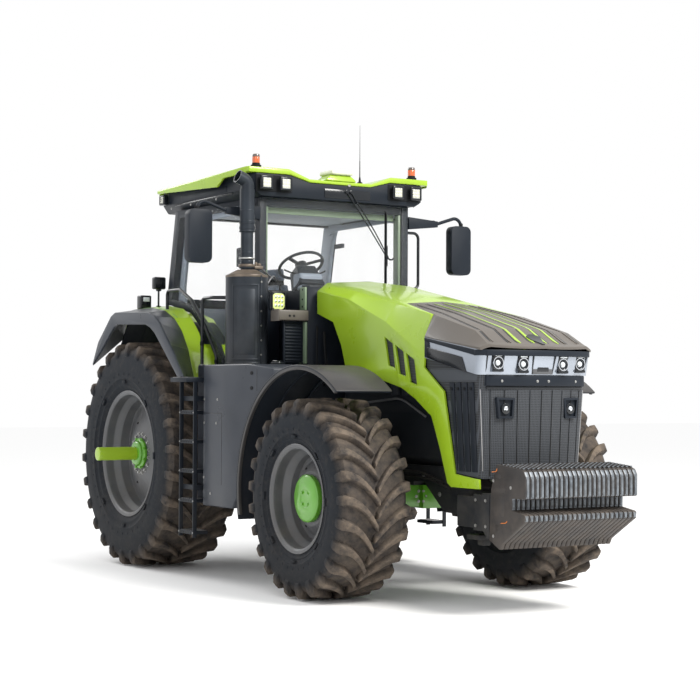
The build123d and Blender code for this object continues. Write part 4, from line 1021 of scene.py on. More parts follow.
@dataclass(frozen=True)
class Cloth(Finish):
    """Woven seat cloth in soft blue-grey patches."""

    second: Colour = (0.08, 0.11, 0.16)

    def shade(self, nodes: Nodes, shader: bpy.types.Node) -> None:
        """Adds the patches, the weave and the sheen.

        Args:
            nodes: The material's tree writer.
            shader: The Principled BSDF.
        """
        where = nodes.add("TexCoord").outputs["Object"]
        patches = nodes.spread(nodes.noise(where, 16.0, 2.0), 0.47, 0.53, 0.0, 1.0)
        colour = nodes.mix(patches, rgba(self.colour), rgba(self.second))
        weave = nodes.add("TexWave", bands_direction="DIAGONAL")
        nodes.link(where, weave.inputs["Vector"])
        weave.inputs["Scale"].default_value = 110.0
        shaded = nodes.mix(nodes.math("MULTIPLY", weave.outputs["Fac"], 0.35), colour,
                           (0.02, 0.02, 0.03, 1.0))
        nodes.link(shaded, shader.inputs["Base Color"])
        nodes.bump(weave.outputs["Fac"], shader, 0.6, 0.001)
        shader.inputs["Sheen Weight"].default_value = 0.4


@dataclass(frozen=True)
class Rubber(Finish):
    """Tyre rubber: black, weathered, with brown on its lugs that paints both field dust and the warm
    highlight of the lit lug tops.
    """

    lug_colour: Colour = (0.16, 0.125, 0.095)
    axle: tuple[float, float] = (0.0, 0.0)
    crown: float = 0.9

    def shade(self, nodes: Nodes, shader: bpy.types.Node) -> None:
        """Browns the tread, which lies further from the axle than the wall does, as field dust and as a
        painted highlight of the lit lug tops.

        Args:
            nodes: The material's tree writer.
            shader: The Principled BSDF.
        """
        where = nodes.add("TexCoord").outputs["Object"]
        parts = nodes.add("SeparateXYZ")
        nodes.link(where, parts.inputs[0])
        along = nodes.math("SUBTRACT", parts.outputs["Y"], self.axle[0])
        above = nodes.math("SUBTRACT", parts.outputs["Z"], self.axle[1])
        reach = nodes.math("SQRT", nodes.math("ADD", nodes.math("MULTIPLY", along, along),
                                              nodes.math("MULTIPLY", above, above)))
        tread = nodes.spread(reach, self.crown - 0.10, self.crown + 0.02, 0.0, 1.0)
        patches = nodes.spread(nodes.noise(where, 9.0, 9.0, 0.7), 0.36, 0.64, 0.15, 1.0)
        mask = nodes.math("MULTIPLY", tread, patches, clamp=True)
        streaks = nodes.spread(nodes.noise(where, 26.0, 6.0, 0.7), 0.5, 0.75, 0.0, 0.35)
        base = shader.inputs["Base Color"].links[0].from_socket
        wall = nodes.mix(streaks, base, (0.060, 0.052, 0.045, 1.0))
        # The brown laid over the tread is partly field dust and partly a painted highlight on the lit lug
        # tops.
        nodes.link(nodes.mix(mask, wall, rgba(self.lug_colour)), shader.inputs["Base Color"])


@dataclass(frozen=True)
class Mesh(Finish):
    """Black woven wire behind a grille: a fine lattice of dark grey wires, with the gaps between them painted
    near black as the shade seen through the holes.
    """

    pitch: float = 0.012
    wire: Colour = (0.040, 0.046, 0.056)

    def shade(self, nodes: Nodes, shader: bpy.types.Node) -> None:
        """Adds the lattice as colour and as height.

        Args:
            nodes: The material's tree writer.
            shader: The Principled BSDF.
        """
        where = nodes.add("TexCoord").outputs["Object"]
        parts = nodes.add("SeparateXYZ")
        nodes.link(where, parts.inputs[0])
        bars = []
        for axis in ("X", "Z"):
            phase = nodes.math("SINE", nodes.math("MULTIPLY", parts.outputs[axis], 2 * math.pi / self.pitch))
            bars.append(nodes.spread(phase, 0.1, 0.6, 0.0, 1.0))
        lattice = nodes.math("MAXIMUM", bars[0], bars[1])
        # The gaps take the near-black base colour: painted shade for the dark seen through the mesh.
        nodes.link(nodes.mix(lattice, rgba(self.colour), rgba(self.wire)), shader.inputs["Base Color"])
        nodes.bump(lattice, shader, 0.8, 0.002)


@dataclass(frozen=True)
class Palette:
    """Every finish of the tractor."""

    lime: Finish = Finish("lime_paint", (0.290, 0.455, 0.016), 0.30, coat=0.5, specular=0.4, mottle=0.06,
                          grain=0.05, grain_scale=90.0, grain_coarse=40.0, dust=0.10, dust_reach=1.4)
    fresh_green: Finish = Finish("hub_green_paint", (0.095, 0.33, 0.014), 0.34, coat=0.5, mottle=0.15,
                                 dust=0.2, dust_reach=1.0, grain=0.1)
    tan: Finish = Finish("warm_grey_panel", (0.100, 0.088, 0.077), 0.40, coat=0.1, specular=0.35,
                         mottle=0.12, grain=0.25, grain_scale=260.0, dust=0.12, rough_spread=0.16)
    rim: Finish = Finish("rim_grey_paint", (0.105, 0.110, 0.120), 0.42, metallic=0.2, mottle=0.35,
                         mottle_scale=4.0, grain=0.2, dust=0.55, dust_reach=2.2,
                         dust_colour=(0.12, 0.105, 0.088))
    iron: Finish = Finish("dark_casting", (0.013, 0.016, 0.021), 0.55, specular=0.16, mottle=0.35, grain=0.5,
                          grain_scale=110.0, grain_share=0.5, grain_depth=0.0015, dust=0.20, dust_reach=1.4)
    plastic: Finish = Finish("dark_moulding", (0.012, 0.016, 0.023), 0.46, specular=0.16, mottle=0.15,
                             grain=0.4, grain_scale=520.0, grain_share=0.2, grain_depth=0.0005, dust=0.07,
                             rough_spread=0.16)
    gloss_black: Finish = Finish("gloss_black", (0.008, 0.010, 0.013), 0.18, coat=0.2, specular=0.3,
                                 mottle=0.1, grain=0.05, dust=0.08)
    matt_black: Finish = Finish("matt_black", (0.009, 0.010, 0.012), 0.7, specular=0.15, mottle=0.2,
                                grain=0.3, dust=0.2)
    trim: Finish = Finish("cab_trim", (0.42, 0.46, 0.49), 0.6, mottle=0.1, grain=0.3, grain_scale=600.0,
                          dust=0.05)
    steel: Finish = Finish("machined_steel", (0.40, 0.40, 0.41), 0.36, metallic=0.9, mottle=0.3, grain=0.25,
                           dust=0.3)
    zinc: Finish = Finish("zinc_bolts", (0.45, 0.45, 0.44), 0.38, metallic=0.85, mottle=0.2, grain=0.1,
                          dust=0.2)
    silver: Finish = Finish("lamp_silver", (0.30, 0.335, 0.39), 0.22, metallic=0.55, coat=0.7, mottle=0.12,
                            grain=0.05, dust=0.05)
    reflector: Finish = Finish("reflector", (0.75, 0.78, 0.82), 0.12, metallic=0.95, mottle=0.05,
                               grain=0.05, dust=0.0)
    lens: Finish = Glow("lamp_lens", (0.62, 0.66, 0.68), 0.12, coat=0.8, dust=0.04, strength=0.12)
    amber: Finish = Glow("amber_lens", (0.60, 0.10, 0.008), 0.2, coat=0.7, dust=0.03, strength=0.06,
                         ribs=500.0)
    red: Finish = Glow("red_lens", (0.45, 0.02, 0.01), 0.2, coat=0.6, dust=0.05, ribs=500.0)
    # The base colour is the near black of the mesh's gaps, painted shade seen through the holes.
    wire: Finish = Mesh("wire_mesh", (0.006, 0.0065, 0.007), 0.6, dust=0.1)
    cloth: Finish = Cloth("seat_cloth", (0.13, 0.18, 0.26), 0.85, dust=0.0)
    glass: Finish = Pane("cab_glass", (0.93, 0.97, 0.96), 0.01, alpha=0.02)
    weight: Finish = Finish("weight_casting", (0.026, 0.025, 0.026), 0.45, specular=0.3, mottle=0.35,
                            mottle_scale=9.0, grain=0.45, grain_scale=120.0, grain_share=0.5,
                            grain_depth=0.0015, dust=0.75, dust_reach=1.5, dust_colour=(0.13, 0.105, 0.085))
    # Lighter bluish finish for the plates' front faces: a painted highlight, the reflection that the front
    # faces show.
    weight_pad: Finish = Finish("weight_worn_face", (0.16, 0.185, 0.215), 0.40, metallic=0.4, mottle=0.55,
                                mottle_scale=28.0, grain=0.4, grain_scale=140.0, dust=0.25)
    can: Finish = Finish("exhaust_can_paint", (0.024, 0.030, 0.039), 0.38, metallic=0.25, specular=0.25,
                         mottle=0.35, mottle_scale=6.0, grain=0.3, grain_scale=90.0, dust=0.18,
                         dust_reach=2.6)
    can_top: Finish = Finish("heated_cap", (0.17, 0.135, 0.105), 0.45, metallic=0.35, mottle=0.5,
                             mottle_scale=14.0, grain=0.4, dust=0.15)
    lit_lens: Finish = Glow("lit_side_lens", (0.60, 0.68, 0.22), 0.15, coat=0.8, dust=0.03, strength=0.10,
                            ribs=420.0)
    sage: Finish = Finish("sage_trim", (0.150, 0.210, 0.135), 0.45, coat=0.1, mottle=0.15, grain=0.2,
                          dust=0.2)
    cream: Finish = Finish("receiver_cap", (0.62, 0.64, 0.50), 0.45, mottle=0.1, grain=0.1, dust=0.1)
    lining: Finish = Finish("pillar_lining", (0.235, 0.275, 0.335), 0.6, mottle=0.1, grain=0.3,
                            grain_scale=600.0, dust=0.05)
    fender_grey: Finish = Finish("front_fender_moulding", (0.040, 0.039, 0.040), 0.38, coat=0.06,
                                 specular=0.22, mottle=0.2, grain=0.3, grain_scale=420.0, dust=0.10,
                                 dust_reach=2.0, rough_spread=0.16)
    tank_grey: Finish = Finish("tank_moulding", (0.042, 0.048, 0.060), 0.36, coat=0.06, specular=0.22,
                               mottle=0.18, grain=0.3, grain_scale=420.0, dust=0.08, dust_reach=1.6,
                               rough_spread=0.18)
    smoke: Finish = Finish("smoke_cap", (0.10, 0.085, 0.080), 0.2, coat=0.6, mottle=0.1, grain=0.05,
                           dust=0.05)
    cell: Finish = Glow("lamp_cell", (0.50, 0.50, 0.42), 0.2, coat=0.6, dust=0.03, strength=0.05, ribs=900.0)
    mirror_face: Finish = Finish("mirror_face", (0.80, 0.83, 0.86), 0.04, metallic=1.0, mottle=0.03,
                                 grain=0.0, dust=0.0)
    screen: Finish = Finish("monitor_screen", (0.02, 0.05, 0.09), 0.12, coat=0.6, mottle=0.1, grain=0.02,
                            dust=0.0)
    orange: Finish = Finish("orange_cable", (0.75, 0.20, 0.02), 0.45, mottle=0.1, dust=0.05)


PALETTE = Palette()


def dress(piece: Piece, finish: Finish) -> Piece:
    """Gives a piece one finish.

    Args:
        piece: A mesh object or a CAD node.
        finish: The finish.

    Returns:
        The same object.
    """
    piece.data.materials.clear()
    piece.data.materials.append(finish.material())
    return piece


def dress_faces(piece: Piece, finish: Finish, wanted: Callable[[bpy.types.MeshPolygon], bool]) -> None:
    """Gives some faces of a scene piece a further finish.

    Args:
        piece: The piece, which already has its main finish.
        finish: The finish of the chosen faces.
        wanted: Says whether a face is chosen.
    """
    piece.data.materials.append(finish.material())
    index = len(piece.data.materials) - 1
    for face in piece.data.polygons:
        if wanted(face):
            face.material_index = index


# ---------------------------------------------------------------- studio


@dataclass
class Studio:
    """Camera, floor and soft light."""

    place: Point = (-7.4795, -12.2054, 1.5401)
    yaw: float = 31.332
    pitch: float = 1.502
    roll: float = 0.26
    lens: float = 87.09
    floor_half: float = 60.0

    def camera(self) -> None:
        """Sets the camera level with the hood, ahead of the right front wheel."""
        bpy.ops.object.camera_add(location=self.place)
        camera = bpy.context.object
        camera.name = "camera"
        turn = (
            Matrix.Rotation(math.radians(-self.yaw), 4, "Z")
            @ Matrix.Rotation(math.radians(90.0 + self.pitch), 4, "X")
            @ Matrix.Rotation(math.radians(self.roll), 4, "Z")
        )
        camera.matrix_world = Matrix.Translation(self.place) @ turn
        camera.data.lens = self.lens
        camera.data.sensor_width = 36.0
        camera.data.clip_end = 400.0
        bpy.context.scene.camera = camera

    def floor(self) -> None:
        """Lays the plain pale floor."""
        clear_selection()
        bpy.ops.mesh.primitive_plane_add(size=2 * self.floor_half, location=(0, 0, 0))
        plane = named("floor")
        bpy.ops.object.mode_set(mode="EDIT")
        bpy.ops.mesh.subdivide(number_cuts=3)
        bpy.ops.object.mode_set(mode="OBJECT")
        dress(plane, Finish("studio_floor", (0.97, 0.97, 0.97), 0.9, specular=0.0, mottle=0.01, grain=0.02,
                            dust=0.0))

    def lamp(self, name: str, place: Point, target: Point, size: float, watts: float,
             colour: Colour = (1.0, 1.0, 1.0)) -> None:
        """Hangs one soft rectangular light.

        Args:
            name: The light's name.
            place: Where it hangs.
            target: What it points at.
            size: Edge length in metres.
            watts: Its power.
            colour: Its colour.
        """
        bpy.ops.object.light_add(type="AREA", location=place)
        light = bpy.context.object
        light.name = name
        light.data.shape = "SQUARE"
        light.data.size = size
        light.data.energy = watts
        light.data.color = colour
        way = Vector(target) - Vector(place)
        light.rotation_euler = way.to_track_quat("-Z", "Y").to_euler()

    def light(self) -> None:
        """Sets a bright even surround with a key from the upper right of the view and a rim from behind."""
        world = bpy.data.worlds.new("studio_world")
        world.use_nodes = True
        background = world.node_tree.nodes["Background"]
        background.inputs["Color"].default_value = (1.0, 1.0, 1.0, 1.0)
        background.inputs["Strength"].default_value = 1.0
        bpy.context.scene.world = world
        self.lamp("key", (2.5, -9.0, 9.0), (0.0, -0.6, 1.2), 4.0, 1650.0, (1.0, 0.98, 0.94))
        self.lamp("side_fill", (-10.0, -3.0, 4.5), (0.0, 0.0, 1.4), 5.0, 70.0, (0.90, 0.95, 1.0))
        self.lamp("rim", (-4.0, 9.0, 7.0), (0.0, 0.5, 2.0), 4.0, 320.0)
        bpy.context.scene.view_settings.view_transform = "Standard"

    def build(self) -> None:
        """Builds the whole studio."""
        self.camera()
        self.floor()
        self.light()
        LOG.info("studio ready")


# ---------------------------------------------------------------- wheels


@dataclass
class Tyre:
    """A lugged drive tyre: a turned carcass, and one curved lug copied round each half of the tread."""

    end: str
    radius: float
    width: float
    bead: float
    bead_half: float
    lugs: int
    centre: Point
    sweep: float = 0.36
    stations: int = 6

    @property
    def crown(self) -> float:
        """Radius of the tread between the lugs.

        Returns:
            The radius in metres.
        """
        return self.radius - 0.050

    def spot(self, along: float, angle: float, reach: float) -> Point:
        """A point on the tyre.

        Args:
            along: Distance from the middle of the tread, outwards.
            angle: Angle forwards from the top, in radians.
            reach: Radius in metres.

        Returns:
            The point in the tractor's frame.
        """
        x, y, z = self.centre
        return (x - along, y - math.sin(angle) * reach, z + math.cos(angle) * reach)

    def carcass(self) -> Piece:
        """Turns the casing: tread, shoulders, walls with moulded rings, and beads.

        Returns:
            The casing.
        """
        half = self.width / 2
        deep = self.crown - self.bead
        wall = (
            (half - 0.060, self.crown - 0.006), (half - 0.030, self.crown - 0.030),
            (half - 0.018, self.crown - 0.062), (half - 0.011, self.bead + deep * 0.72),
            (half - 0.006, self.bead + deep * 0.60),
            (half - 0.004, self.bead + deep * 0.48), (half - 0.010, self.bead + deep * 0.36),
            (half - 0.008, self.bead + deep * 0.345), (half - 0.009, self.bead + deep * 0.315),
            (half - 0.017, self.bead + deep * 0.29), (half - 0.026, self.bead + deep * 0.20),
            (half - 0.024, self.bead + deep * 0.185), (half - 0.026, self.bead + deep * 0.165),
            (half - 0.034, self.bead + deep * 0.13), (self.bead_half + 0.012, self.bead + 0.030),
            (self.bead_half + 0.002, self.bead + 0.012), (self.bead_half - 0.012, self.bead + 0.001),
        )
        x = self.centre[0]
        tread = [(0.0, self.crown), (half * 0.55, self.crown - 0.001)]
        right = [(x - along, reach) for along, reach in (*tread, *wall)]
        left = [(x + along, reach) for along, reach in (*tread[1:], *wall)]
        profile = [*reversed(left), *right]
        return smooth(spun(profile, self.centre, 88), 40.0)

    def lug(self, half_sign: int) -> Piece:
        """Models the first lug of one half of the tread.

        Args:
            half_sign: 1 for the outer half, -1 for the inner half.

        Returns:
            The lug.
        """
        half = self.width / 2
        shoulder = half - 0.034
        lag = self.sweep * self.width / self.radius
        start = half_sign * math.pi / self.lugs / 2
        loops = []
        for k in range(self.stations):
            share = k / (self.stations - 1)
            along = -0.006 + share * (shoulder + 0.006)
            angle = start - lag * (1 - (1 - share) ** 1.9)
            top_half = 0.019 + 0.012 * share
            foot_half = top_half + 0.014
            top = self.radius - 0.001 - 0.010 * share ** 2
            foot = self.crown - 0.012 - 0.012 * share ** 2
            lean = 0.004 * (1 - share)
            loops.append([self.spot(half_sign * along, angle - foot_half / foot + lean, foot),
                          self.spot(half_sign * along, angle - top_half / top, top),
                          self.spot(half_sign * along, angle + top_half / top, top),
                          self.spot(half_sign * along, angle + foot_half / foot, foot),])
        angle = start - lag
        for out, top, foot_out, foot, top_half in (
            (half - 0.012, self.radius - 0.036, half - 0.045, self.crown - 0.055, 0.032),
            (half - 0.001, self.radius - 0.092, half - 0.035, self.crown - 0.070, 0.029),
            (half - 0.006, self.radius - 0.128, half - 0.030, self.crown - 0.105, 0.024),
        ):
            loops.append([self.spot(half_sign * foot_out, angle - (top_half + 0.012) / foot, foot),
                          self.spot(half_sign * out, angle - top_half / top, top),
                          self.spot(half_sign * out, angle + top_half / top, top),
                          self.spot(half_sign * foot_out, angle + (top_half + 0.012) / foot, foot),])
        piece = skinned(loops)
        return bevel(piece, 0.005, 2, 25.0)

    def wall_marks(self) -> list[Piece]:
        """Small raised bars round the outer wall.

        Returns:
            One joined ring of bars for each size.
        """
        deep = self.crown - self.bead
        half = self.width / 2
        bars = []
        for count, low, high, wide in ((40, 0.40, 0.46, 0.004), (8, 0.215, 0.27, 0.030)):
            bar = box(
                (self.centre[0] - half + 0.004, self.centre[1] - wide,
                 self.centre[2] + self.bead + deep * low),
                (self.centre[0] - half + 0.030, self.centre[1] + wide,
                 self.centre[2] + self.bead + deep * high),
                0.002,
            )
            bars.append(ringed(bar, self.centre, count))
        return bars

    def build(self) -> None:
        """Builds the right tyre and mirrors it to the left."""
        treads = [ringed(self.lug(sign), self.centre, self.lugs) for sign in (1, -1)]
        tyre = join([self.carcass(), *treads, *self.wall_marks()], f"tyre_{self.end}_right_dressed")
        finish = Rubber(f"rubber_{self.end}", (0.011, 0.014, 0.019), 0.68, specular=0.14, mottle=0.3,
                        grain=0.4, grain_scale=140.0, dust=0.12, dust_reach=1.2,
                        dust_colour=(0.13, 0.11, 0.09), axle=(self.centre[1], self.centre[2]),
                        crown=self.radius - 0.02)
        dress(tyre, finish)
        twin = mirrored(tyre)
        twin.name = f"tyre_{self.end}_left_dressed"
        for piece, side in ((tyre, Side.RIGHT), (twin, Side.LEFT)):
            node = f"tyre_{self.end}_{side.word}"
            smooth(piece, 42.0)
            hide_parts(node)
            ride_with(piece, node)


@dataclass
class WheelFittings:
    """Nuts, screws and edge rings of one pair of wheels."""

    end: str
    centre: Point
    disc_radius: float
    nuts: int
    hub_reach: float
    flange: float
    face_out: float

    def pair(self, piece: Piece, name: str, finish: Finish) -> None:
        """Finishes a right-hand piece, copies it to the left and lets both turn with their wheels.

        Args:
            piece: The right-hand piece.
            name: What the piece is.
            finish: Its finish.
        """
        dress(piece, finish)
        piece.name = f"{name}_{self.end}_right"
        twin = mirrored(piece)
        twin.name = f"{name}_{self.end}_left"
        ride_with(piece, f"rim_{self.end}_right")
        ride_with(twin, f"rim_{self.end}_left")

    def circle_of_nuts(self, radius: float, count: int, size: float, name: str, finish: Finish,
                       node: str) -> None:
        """Seats nuts in a circle on the outside of a node.

        Args:
            radius: Radius of the circle.
            count: Number of nuts.
            size: Size of one nut.
            name: The piece's name.
            finish: Its finish.
            node: The CAD node, without its side, that the nuts sit on.
        """
        x, y, z = self.centre
        places = []
        for k in range(count):
            angle = 2 * math.pi * (k + 0.5) / count
            places.append(touch(f"{node}_right", (x - 1.2, y + math.sin(angle) * radius,
                                                  z + math.cos(angle) * radius), TO_LEFT))
        self.pair(bolt_row(places, TO_RIGHT, size, size * 1.1), name, finish)

    def build(self) -> None:
        """Adds the nuts and the bright edge of the rim."""
        x = self.centre[0]
        edge = spun([(x - self.face_out, self.flange - 0.004),
                     (x - self.face_out - 0.003, self.flange + 0.001),
                     (x - self.face_out, self.flange + 0.006),
                     (x - self.face_out + 0.006, self.flange + 0.001)], self.centre, 80)
        self.pair(edge, "rim_edge", PALETTE.rim)
        self.circle_of_nuts(self.disc_radius, self.nuts, 0.013, "wheel_nuts", PALETTE.zinc, f"rim_{self.end}")
        self.circle_of_nuts(self.disc_radius * 1.75, 6, 0.008, "disc_screws", PALETTE.matt_black,
                            f"rim_{self.end}")
        self.circle_of_nuts(self.hub_reach, 4 if self.end == "front" else 8, 0.010, "hub_screws",
                            PALETTE.fresh_green, f"hub_{self.end}")


# ---------------------------------------------------------------- nose and hood


def whole(parts: Parts) -> Piece:
    """One object from a piece or from a list of pieces.

    Args:
        parts: The piece, or the pieces to join.

    Returns:
        The single piece.
    """
    return join(parts) if isinstance(parts, list) else parts


def pair_up(parts: Parts, name: str, finish: Finish, node: str) -> None:
    """Finishes a right-hand piece, mirrors it to the left and lets both move with a node's body.

    Args:
        parts: The right-hand piece, or a list of pieces to join into it.
        name: What the piece is.
        finish: Its finish.
        node: The CAD node that carries both.
    """
    piece = whole(parts)
    dress(piece, finish)
    piece.name = f"{name}_right"
    twin = mirrored(piece)
    twin.name = f"{name}_left"
    smooth(twin, 38.0)
    ride_with(piece, node)
    ride_with(twin, node)


def put(parts: Parts, name: str, finish: Finish, node: str) -> Piece:
    """Names and finishes a single piece and lets it move with a node's body.

    Args:
        parts: The piece, or a list of pieces to join into it.
        name: Its name.
        finish: Its finish.
        node: The CAD node that carries it.

    Returns:
        The finished piece.
    """
    piece = whole(parts)
    piece.name = name
    dress(piece, finish)
    return ride_with(piece, node)


def laid_strip(node: str, line: Sequence[Point], stand: float) -> Piece:
    """A strip that follows the top of a CAD node.

    Args:
        node: The CAD node.
        line: (x, y, half width) at each station.
        stand: How far the strip stands off the surface.

    Returns:
        The strip.
    """
    loops = []
    for x, y, half in line:
        left = touch(node, (x - half, y, OVERHEAD), DOWN)
        right = touch(node, (x + half, y, OVERHEAD), DOWN)
        lift = Vector((0, 0, stand))
        sink = Vector((0, 0, -0.003))
        loops.append([tuple(left + sink), tuple(left + lift), tuple(right + lift), tuple(right + sink)])
    return smooth(skinned(loops), 25.0)


@dataclass
class Nose:
    """The bowed front of the hood: lip, silver lamp band, bumper shelf, mesh grille and lower lamps."""

    corner_y: float = -2.5
    bow: float = 0.105
    half: float = 0.5
    ahead: float = -3.2
    lamp_places: tuple[tuple[float, float], ...] = ((0.368, 1.768), (0.178, 1.760))

    def front(self, x: float, back: float = 0.0) -> float:
        """The front's place along the tractor at a distance from the middle.

        Args:
            x: Distance from the middle.
            back: Setback of the front at the wanted height.

        Returns:
            The Y coordinate.
        """
        return self.corner_y + back - self.bow * (1 - (x / self.half) ** 2)

    def bowed_bar(self, low: float, high: float, out: float, back: float, reach: float,
                  deep: float) -> Piece:
        """A bar bent to the bowed front.

        Args:
            low: Height of its underside.
            high: Height of its top.
            out: How far it stands in front.
            back: Setback of the front at this height.
            reach: Half its length.
            deep: Its depth behind the front.

        Returns:
            The bar.
        """
        steps = [reach * (-1 + k / 12) for k in range(25)]
        outer = [(x, self.front(x, back) - out, low) for x in steps]
        inner = [(x, self.front(x, back) + deep, low) for x in reversed(steps)]
        return slab([*outer, *inner], Vector((0, 0, high - low)), 0.004)

    def lamp(self, x: float, z: float) -> list[tuple[Piece, Finish]]:
        """One round headlamp with its reflector cup, black case, lens and day strip.

        Args:
            x: Where its middle lies across the nose.
            z: Height of its middle.

        Returns:
            Each piece with its finish.
        """
        y = self.front(x)
        cup = rod((x, y + 0.022, z), (x, y + 0.004, z), 0.042, 40, tip=0.045)
        activate(cup)
        bpy.ops.object.mode_set(mode="EDIT")
        select_faces(cup, lambda face: face.normal.y < -0.9)
        bpy.ops.mesh.inset(thickness=0.006)
        bpy.ops.mesh.extrude_region_move(TRANSFORM_OT_translate={"value": (0, 0.014, 0)})
        bpy.ops.mesh.inset(thickness=0.010)
        bpy.ops.object.mode_set(mode="OBJECT")
        smooth(cup, 30.0)
        lens = rod((x, y + 0.019, z), (x, y + 0.004, z), 0.024, 32, tip=0.015)
        bevel(lens, 0.004, 3, 40.0)
        case = join([box((x - 0.044, y + 0.002, z + 0.044), (x + 0.044, y + 0.024, z + 0.062), 0.003),
                     box((x - 0.044, y + 0.002, z - 0.062), (x + 0.044, y + 0.024, z - 0.044), 0.003),
                     box((x - 0.045, y + 0.014, z - 0.063), (x + 0.045, y + 0.024, z + 0.063), 0.002),])
        strip = box((x - 0.030, y - 0.001, z + 0.048), (x + 0.030, y + 0.006, z + 0.057), 0.002)
        return [(cup, PALETTE.reflector), (lens, PALETTE.lens), (case, PALETTE.gloss_black),
                (strip, PALETTE.lens)]

    def band(self) -> None:
        """Fits the lamps, the frames round them, the blank centre plate and the dark side plates."""
        for index, (x, z) in enumerate(self.lamp_places):
            for part, (piece, finish) in zip(("cup", "lens", "case", "day_strip"), self.lamp(-x, z)):
                pair_up(piece, f"headlamp_{part}_{index}", finish, "headlamp_band")
        plate = self.bowed_bar(1.708, 1.812, 0.004, 0.030, 0.052, 0.02)
        put(plate, "centre_plate", PALETTE.gloss_black, "headlamp_band")
        recess = self.bowed_bar(1.690, 1.828, 0.0015, 0.030, 0.088, 0.02)
        put(recess, "centre_recess", PALETTE.rim, "headlamp_band")
        for out, name in ((0.098, "inner"), (0.447, "outer")):
            y = self.front(out)
            seam = slab([(-out - 0.004, y - 0.003, 1.826), (-out + 0.004, y - 0.003, 1.826),
                         (-out + 0.012, y + 0.035, 1.690), (-out + 0.004, y + 0.035, 1.690)],
                        Vector((0, 0.02, 0)), 0.001)
            pair_up(seam, f"band_seam_{name}", PALETTE.gloss_black, "headlamp_band")
        side = slab([(-self.half, -1.835, 1.894), (-self.half, -2.285, 1.812), (-self.half, -2.340, 1.700),
                     (-self.half, -1.835, 1.812)], Vector((-0.006, 0, 0)), 0.004)
        pair_up(side, "band_side_plate", PALETTE.gloss_black, "headlamp_band")
        cap = slab([(-self.half, -1.805, 1.960), (-self.half, -1.862, 1.952), (-self.half, -1.890, 1.800),
                    (-self.half, -1.805, 1.818)], Vector((-0.004, 0, 0)), 0.002)
        pair_up(cap, "band_rear_cap", PALETTE.plastic, "headlamp_band")

    def lip(self) -> None:
        """Runs the dark lip under the edge of the hood's top panel."""
        put(self.bowed_bar(1.818, 1.861, 0.012, 0.0, 0.462, 0.03), "hood_lip", PALETTE.plastic, "hood_insert")
        side = slab([(-self.half, -2.440, 1.861), (-self.half, -1.806, 1.962), (-self.half, -1.806, 1.940),
                     (-self.half, -2.440, 1.822)], Vector((-0.008, 0, 0)), 0.003)
        pair_up(side, "hood_side_lip", PALETTE.plastic, "hood_insert")
        corner = slab([(-0.508, -2.436, 1.820), (-0.506, -2.470, 1.820), (-0.488, -2.500, 1.820),
                       (-0.455, -2.530, 1.820), (-0.445, -2.500, 1.820), (-0.480, -2.430, 1.820)],
                      Vector((0, 0, 0.041)), 0.003)
        pair_up(corner, "hood_lip_corner", PALETTE.plastic, "hood_insert")

    def shelf(self) -> None:
        """Puts the bumper shelf under the lamps."""
        put(self.bowed_bar(1.605, 1.682, 0.014, 0.040, 0.440, 0.02), "bumper_shelf", PALETTE.plastic,
            "nose_grille")
        put(self.bowed_bar(1.584, 1.602, 0.004, 0.042, 0.430, 0.02), "bumper_foot", PALETTE.gloss_black,
            "nose_grille")
        for x in (0.33, 0.05):
            y = self.front(x, 0.040) - 0.014
            pair_up(bolt_row([(-x, y, 1.64)], TO_FRONT, 0.007, 0.005), f"shelf_bolt_{int(x * 100)}",
                    PALETTE.zinc, "nose_grille")

    def grille(self) -> None:
        """Adds the ribbed side panels, the corner trims and the lower lamps."""
        node = "nose_grille"
        columns = (-2.395, -2.315, -2.235, -2.155)
        for index, y in enumerate(columns):
            low_z, high_z = 0.99, 1.63
            back = y + 0.062
            corners = []
            for cy, cz in ((y, low_z), (y, high_z), (back, high_z), (back, low_z)):
                if cz < 1.4 and cy > -2.150:
                    cy = -2.150
                place = touch(node, (-0.9, cy, cz), TO_LEFT)
                corners.append((place.x - 0.001, cy, cz))
            panel = slab(corners, Vector((-0.007, 0, 0)), 0.003)
            pair_up(panel, f"grille_side_rib_{index}", PALETTE.plastic, node)
            # The hole in each rib is a matt black disc: painted shade seen through it.
            vent = rod((corners[1][0] - 0.006, y + 0.031, high_z - 0.045),
                       (corners[1][0] - 0.011, y + 0.031, high_z - 0.045), 0.012, 16)
            pair_up(vent, f"grille_side_hole_{index}", PALETTE.matt_black, node)
        top = touch(node, (-0.462, self.ahead, 1.58), TO_REAR)
        foot = touch(node, (-0.425, self.ahead, 1.00), TO_REAR)
        trim = rod(tuple(foot + Vector((0, -0.002, 0))), tuple(top + Vector((0, -0.002, 0))), 0.0045, 8)
        pair_up(trim, "grille_corner_trim", PALETTE.steel, node)
        for k in range(9):
            x = -0.40 + 0.1 * k
            high = touch(node, (x, self.ahead, 1.575), TO_REAR)
            low = touch(node, (x * 0.95, self.ahead, 0.965), TO_REAR)
            bar = rod(tuple(low), tuple(high), 0.004, 6)
            put(bar, f"grille_bar_{k}", PALETTE.matt_black, node)
        x, z = -0.290, 1.450
        y = self.front(x, 0.05)
        outer = slab([(x - 0.078, y - 0.004, z + 0.074), (x + 0.070, y - 0.020, z + 0.070),
                      (x + 0.058, y - 0.020, z - 0.076), (x - 0.060, y - 0.004, z - 0.076)],
                     Vector((0, 0.03, 0)), 0.003)
        recess(outer, 0.013, 0.018, lambda face: face.normal.y < -0.9 and face.calc_area() > 0.005)
        pair_up(smooth(outer, 25.0), "lower_lamp_frame", PALETTE.plastic, node)
        cup = rod((x, y + 0.004, z - 0.006), (x, y - 0.008, z - 0.006), 0.036, 32, tip=0.040)
        pair_up(bevel(cup, 0.003, 2, 40.0), "lower_lamp_cup", PALETTE.gloss_black, node)
        lens = rod((x, y - 0.004, z - 0.006), (x, y - 0.016, z - 0.006), 0.022, 28, tip=0.012)
